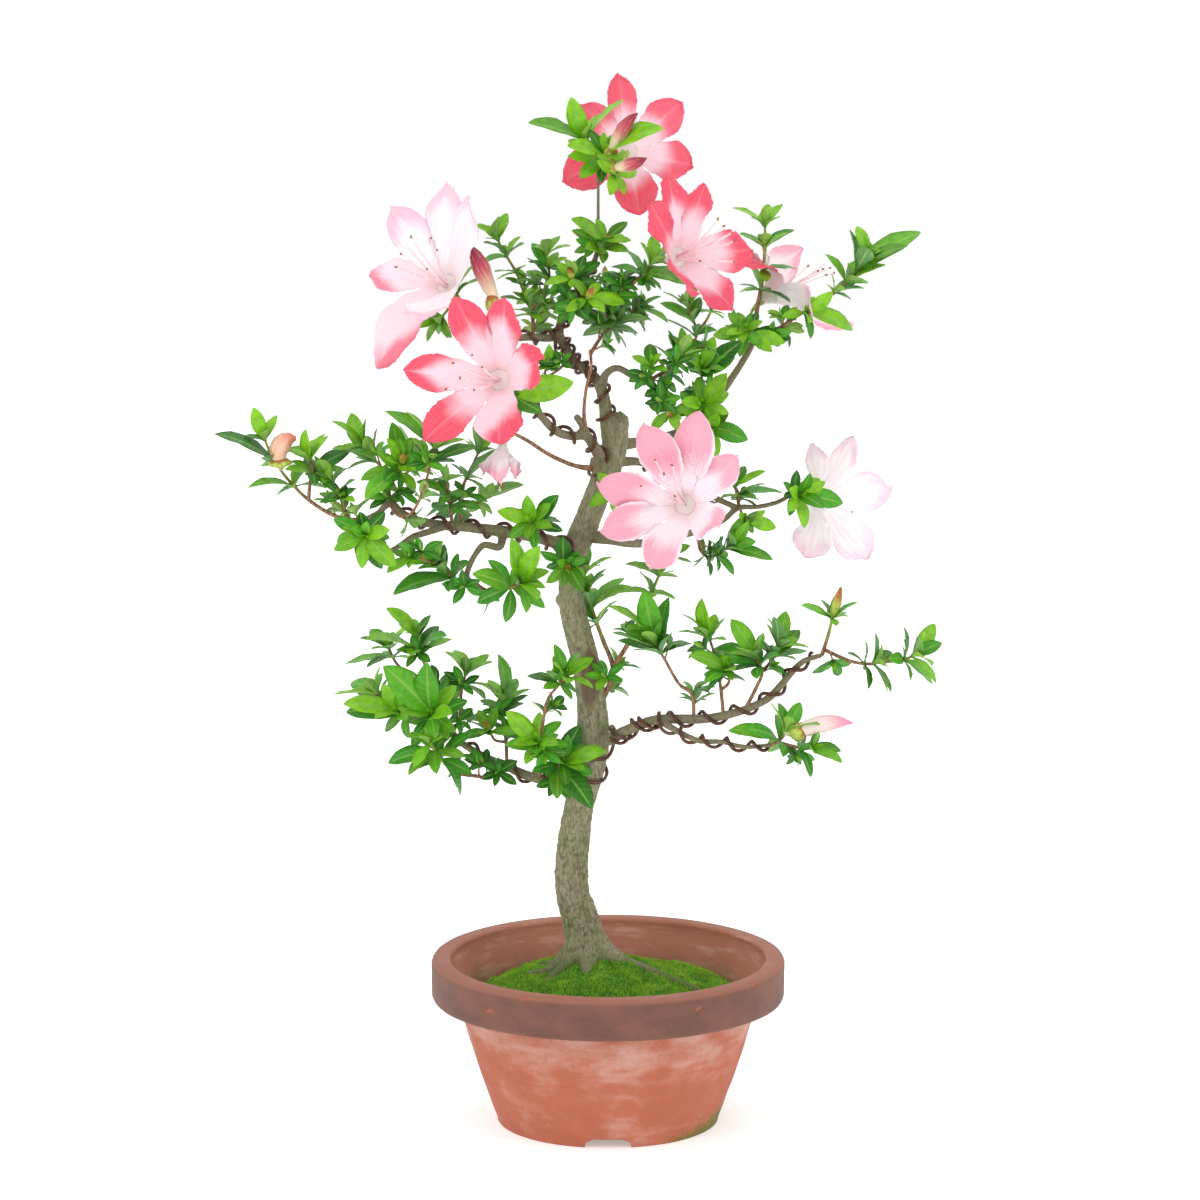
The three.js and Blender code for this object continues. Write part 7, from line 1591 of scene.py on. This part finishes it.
def make_bloom(name, bloom, seed):
    listed = [*bloom["stalk"], bloom["throat"], bloom["bunch"], *(lobe[:3] for lobe in bloom["lobes"])]
    line, shift = hanging(bloom, listed, [1, 1])
    foot, bend, base, mouth, bunch, *tips = (spot.at for spot in line)
    axis = mouth - base
    height = np.linalg.norm(axis)
    axis = axis / height
    side = unit(UP - axis * axis[2])
    cross = np.cross(axis, side)

    def around(angle, r, rise):
        angle, r, rise = (np.asarray(value)[..., None] for value in (angle, r, rise))
        return base + axis * rise + side * (r * np.cos(angle)) + cross * (r * np.sin(angle))

    def angle_of(tip):
        off = tip - mouth
        return math.atan2(off @ cross, off @ side)

    from_axis = [np.linalg.norm(np.cross(tip - mouth, axis)) for tip in tips]
    opening = min(THROAT_RADIUS, OPENING_SHARE * min(from_axis))
    order = sorted(range(len(tips)), key=lambda k: angle_of(tips[k]))
    angles = [angle_of(tips[k]) for k in order]
    count = len(order)
    notches = [0.5 * (angles[k] + angles[(k + 1) % count] + (2 * math.pi if k + 1 == count else 0))
               for k in range(count)]
    ribs = []
    for k, which in enumerate(order):
        start = around(angles[k], opening, height)
        reach = np.linalg.norm(tips[which] - start)
        bent = around(angles[k], opening + 0.45 * reach, height + 0.3 * reach)
        bent = bent + 0.25 * (tips[which] - bent)
        ribs.append((start, bent, reach, bezier(start, bent, tips[which], WIDEST)))
    sheet = Sheet("along", "across", "flush", "hue", "blotch", "depth")
    for k, which in enumerate(order):
        tip, angle = tips[which], angles[k]
        low = notches[k - 1] - (2 * math.pi if k == 0 else 0)
        high = notches[k]
        start, bent, reach, widest = ribs[k]
        room = min(np.linalg.norm(ribs[(k + m) % count][3] - widest) for m in (-1, 1))
        t, u = LOBE_ROWS[:, None, None], LOBE_COLUMNS[None, :, None]
        ends = [around(a, 1.35 * opening, height + 2) for a in (low, high)]
        span = np.linalg.norm(ends[0] - ends[1])
        half = min(min(0.62 * span, 0.5 * reach) + 0.2 * opening, 0.46 * room)
        half = max(LOBE_FULLNESS * half, LEAST_BREADTH * reach)
        middle = bezier(start, bent, tip, t)
        along = unit(2 * (1 - t) * (bent - start) + 2 * t * (tip - bent))
        across = -side * math.sin(angle) + cross * math.cos(angle)
        normal = unit(np.cross(along, across))
        wide = half * lobe_share(t)
        one, two, three = (draw(seed, 7 * which + i, 1) for i in range(3))
        cup = (0.2 * (1 - 0.9 * t) - 0.1 * t) * half * u ** 2
        ripple = 1.5 * np.sin(2 * math.pi * (1.7 * t + one) + 2.1 * np.sign(u)) * np.abs(u) ** 2.2
        frill = 0.42 * np.sin(2 * math.pi * (8.5 * t + two) + 3 * three * np.sign(u)) * np.abs(u) ** 6
        groove = -0.75 * np.exp(-(u / 0.1) ** 2) * (1 - 0.7 * t)
        creases = 0.3 * np.cos(5.2 * math.pi * u * (1 - 0.35 * t)) * (1 - u ** 2)
        lift = (cup + (ripple + frill) * smooth(0.12, 0.5, t) + groove + creases) * smooth(0, 0.25, t)
        twist = half * (0.1 * (one - 0.5) - 0.13) * u * smooth(0.1, 0.6, t)
        lobe = middle + across * (u * wide) + normal * (lift + twist)
        jag = 0.65 * rough(3 * u + 9 * k, 20 * t, 5.0 * seed, 1.0, 2) * np.abs(u) ** 8
        lobe = lobe + across * (np.sign(u) * jag)
        turn = np.where(u < 0, angle + (angle - low) * u, angle + (high - angle) * u)[..., 0]
        edge = np.abs(LOBE_COLUMNS) ** 2.0
        ring = around(turn, opening * (1 + 0.35 * edge), height + 2 * edge)
        held = ring + (middle - start)
        share = smooth(0.0, 0.3, t)
        lobe = held + (lobe - held) * share
        lobe[0] = ring[0]
        x = (THROAT_ROWS[:, None] - THROAT_ROWS[0]) / (1 - THROAT_ROWS[0])
        r = TUBE_RADIUS + (opening * (1 + 0.35 * edge * x ** 3) - TUBE_RADIUS) * x ** 1.5
        funnel = around(turn[0], r, THROAT_ROWS[:, None] * height + 2 * edge * x ** 3)
        points = np.concatenate([funnel, lobe])
        tt, uu = np.meshgrid([*(THROAT_ROWS - 1), *LOBE_ROWS], LOBE_COLUMNS, indexing="ij")
        left, centre, right, hue = bloom["lobes"][which][3:]
        spread = np.abs(uu) ** 0.8
        white = centre + (np.where(uu < 0, left, right) - centre) * spread
        flush = tt - white + 0.05
        if name in WHITE_MARGIN:
            border = np.maximum(np.abs(uu), smooth(0.75, 1.0, tt))
            flush = flush - WHITE_MARGIN[name] * smooth(0.8, 1.0, border)
        blotch = 0.0 * tt
        if which in BLOTCHED.get(name, ()):
            blotch = smooth(0.1, 0.25, tt) * (1 - smooth(0.42, 0.6, tt)) * (1 - smooth(0.3, 0.9, np.abs(uu)))
        sheet.add(points, grid_faces(*tt.shape), along=tt, across=uu, flush=flush, hue=hue,
                  blotch=blotch, depth=smooth(0.1, -0.5, tt))
    s = upright(FLOOR_RINGS)
    r = TUBE_RADIUS + (opening - TUBE_RADIUS) * FLOOR_SHARE ** 1.5
    high = (FLOOR_SHARE - 0.06 * (1 - s)) * height
    floor = around(*np.broadcast_arrays(turns_of(FLOOR_SIDES), 0.3 + (r - 0.3) * s, high))
    sheet.add(floor, grid_faces(FLOOR_RINGS, FLOOR_SIDES, loop=True), along=-0.5, across=0.4, flush=-1.0,
              hue=0.3, depth=1.0)
    piece = sheet.make("petals_" + name, [petal], weld=True)
    shell = piece.modifiers.new("petal_thickness", "SOLIDIFY")
    shell.thickness = PETAL_THICK * MM
    shell.offset = 0
    baked(piece)
    settle(piece, ["bloom_" + name])

    parts = Sheet("along", "across", "tone", "young")
    stalk = (foot, 0.75), (bend, 0.8), (base, 1.15), (base + 0.13 * height * axis, 2.2)
    points, radii = smooth_line([Spot(at, r=r) for at, r in stalk], 5)
    add_tube(parts, points, radii, 10, GREEN_STALK, tone=0.5, young=0.8)
    for k in range(5):
        turn = 2 * math.pi * k / 5 + draw(seed, k, 3)
        u, s = np.linspace(-1, 1, 5), upright(6)
        r = 1.3 + 1.9 * s ** 0.7
        sepal = around(turn + 0.5 * u * (1 - s ** 2) ** 0.5, r, (0.02 + 0.24 * s) * height)
        parts.add(sepal, grid_faces(6, 5), GREEN_STALK, along=np.repeat(s[:, 0], 5), tone=0.6, young=0.9)
    root = base + 0.1 * height * axis
    listed = [(c, r, d + shift) for c, r, d in bloom["anthers"]]
    for i, place in enumerate(listed):
        tip = seen(*place).at
        bow = 0.5 * (root + tip) - 0.1 * np.linalg.norm(tip - root) * UP * (0.6 + 0.8 * draw(seed, i, 4))
        bow = 0.5 * bow + 0.5 * (root + axis * 0.62 * np.linalg.norm(tip - root))
        path = bezier(root, bow, tip, upright(12))
        add_tube(parts, path, np.linspace(0.5, 0.34, 12), 6, FILAMENT, tone=0.5)
        ahead = unit(path[-1] - path[-2])
        lie = unit(ahead + 1.2 * (np.array([draw(seed, i, c) for c in (6, 7, 8)]) - 0.5))
        grain = np.linspace(-1, 1, 7)
        add_tube(parts, tip + np.outer(grain, lie) * 1.15, 0.62 * np.sqrt(1.02 - grain ** 2), 8, ANTHER,
                 along=0.5 + 0.5 * grain, tone=draw(seed, i, 2))
    goal = seen(*listed[0]).at * 0.35 + bunch * 0.65
    far = root + (goal - root) * 1.12
    path = bezier(root, root + 0.6 * (far - root) - 3.5 * UP, far, upright(14))
    add_tube(parts, path, np.linspace(0.5, 0.4, 14), 6, FILAMENT, tone=0.8)
    grain = np.linspace(-1, 1, 6)
    add_tube(parts, far + np.outer(grain, axis) * 0.7, 0.8 * np.sqrt(1.02 - grain ** 2), 8, FILAMENT,
             along=1.0, tone=1.0)
    settle(parts.make("stamens_" + name, [green_stalk, filament, anther], weld=True), [])


GREEN_STALK, FILAMENT, ANTHER = range(3)

# ---- Large buds ----

BUD_SIDES = 40
BUD_FOLDS = 5
BUD_TWIST = 0.96  # how far the folds turn from foot to tip, over the width of one
FOLDED = 1  # the material of the petals


def add_closed_bud(sheet, line):
    """A bud's petals, folded round each other and twisted."""
    points, radii = smooth_line(line, 5)
    angle = turns_of(BUD_SIDES)
    s = upright(len(points))
    phase = BUD_FOLDS * angle + BUD_TWIST * 2 * math.pi * s
    saw = (phase / (2 * math.pi)) % 1.0
    swell = 1 + 0.2 * (saw - 0.5) * smooth(0.25, 0.6, s) + 0.03 * np.sin(2 * phase)
    skin = points[:, None] + rings_round(points, angle)[1] * (radii[:, None] * swell)[..., None]
    ends = [0.0, 0.0]
    sheet.add(np.vstack([skin.reshape(-1, 3), points[[0, -1]]]), tube_faces(len(points), BUD_SIDES), FOLDED,
              along=np.append(np.repeat(s, BUD_SIDES), ends), across=np.append(saw, ends))


def make_buds():
    for packed, petals in (("bud_upper_left", crimson_bud), ("buds_apex", crimson_bud),
                           ("bud_lower_right", pale_bud), ("bud_withered", withered_bud)):
        sheet = Sheet("along", "across", "tone", "young")
        for i, name in enumerate(name for name in BUDS if name.startswith(packed)):
            bud = BUDS[name]
            line, _ = hanging(bud, bud["line"], bud["radii"])
            add_closed_bud(sheet, line)
            foot = line[1]
            along = unit(line[3].at - foot.at)
            add_bud_scales(sheet, foot.at, along, 0.3 * np.linalg.norm(line[-1].at - foot.at),
                           1.12 * max(spot.r for spot in line[1:4]), 40 + i)
        sheet.kinds = [1 if kind == FOLDED else 0 for kind in sheet.kinds]
        settle(sheet.make(packed + "_folded", [bud_scale, petals], weld=True), [packed])


# ---- Assembly ----

for spray_index, (name, spray) in enumerate(SPRAYS.items()):
    make_spray(name, spray, spray_index)
for bloom_index, (name, bloom) in enumerate(BLOOMS.items()):
    make_bloom(name, bloom, bloom_index + 1)
make_buds()
make_wood()
make_wires()
make_pot()
make_moss()
soil_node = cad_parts["soil"]
soil_node.data.materials.clear()
soil_node.data.materials.append(potting_soil)

# ---- Floor, light and camera ----

FLOOR_HALF = 3.0  # metres
mesh = bpy.data.meshes.new("studio_floor")
corners = [(x * FLOOR_HALF, y * FLOOR_HALF, 0) for x, y in ((-1, -1), (1, -1), (1, 1), (-1, 1))]
mesh.from_pydata(corners, [], [(0, 1, 2, 3)])
add, = start_material("matt_white_floor")
white = colour("#FFFFFF")
mesh.materials.append(finish_material(add, white, 0.95, Specular_IOR_Level=0.0, Emission_Color=white,
                                      Emission_Strength=0.32))
linked("studio_floor", mesh)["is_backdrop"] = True
# softboxes: place and size in metres, power in watts
for name, place, size, power in (("left", (-1.6, -1.5, 1.7), 1.3, 11), ("right", (1.7, -1.2, 1.2), 1.3, 6),
                                 ("top", (0.1, 0.5, 2.2), 1.4, 4)):
    light = bpy.data.lights.new("softbox_" + name, "AREA")
    light.shape, light.size, light.energy = "SQUARE", size, power
    lamp = linked("softbox_" + name, light)
    lamp.location = place
    lamp.rotation_euler = (Vector((0, 0, 0.3)) - Vector(place)).to_track_quat("-Z", "Y").to_euler()

world = bpy.data.worlds.new("white_studio")
world.use_nodes = True
background = world.node_tree.nodes["Background"].inputs
background["Color"].default_value = white
background["Strength"].default_value = 1.0
bpy.context.scene.world = world
bpy.context.scene.view_settings.view_transform = "Standard"

lens = bpy.data.cameras.new("camera")
lens.lens = 180
lens.sensor_width = 36
lens.clip_end = 50
camera = linked("camera", lens)
camera.location = (EYE + POT_AXIS) * MM
camera.rotation_euler = (math.pi / 2 - EYE_PITCH, 0, 0)
bpy.context.scene.camera = camera

boxes = {"cad": cad_box, "visual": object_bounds()}
{key: [[float(v) for v in corner] for corner in box] for key, box in boxes.items()}
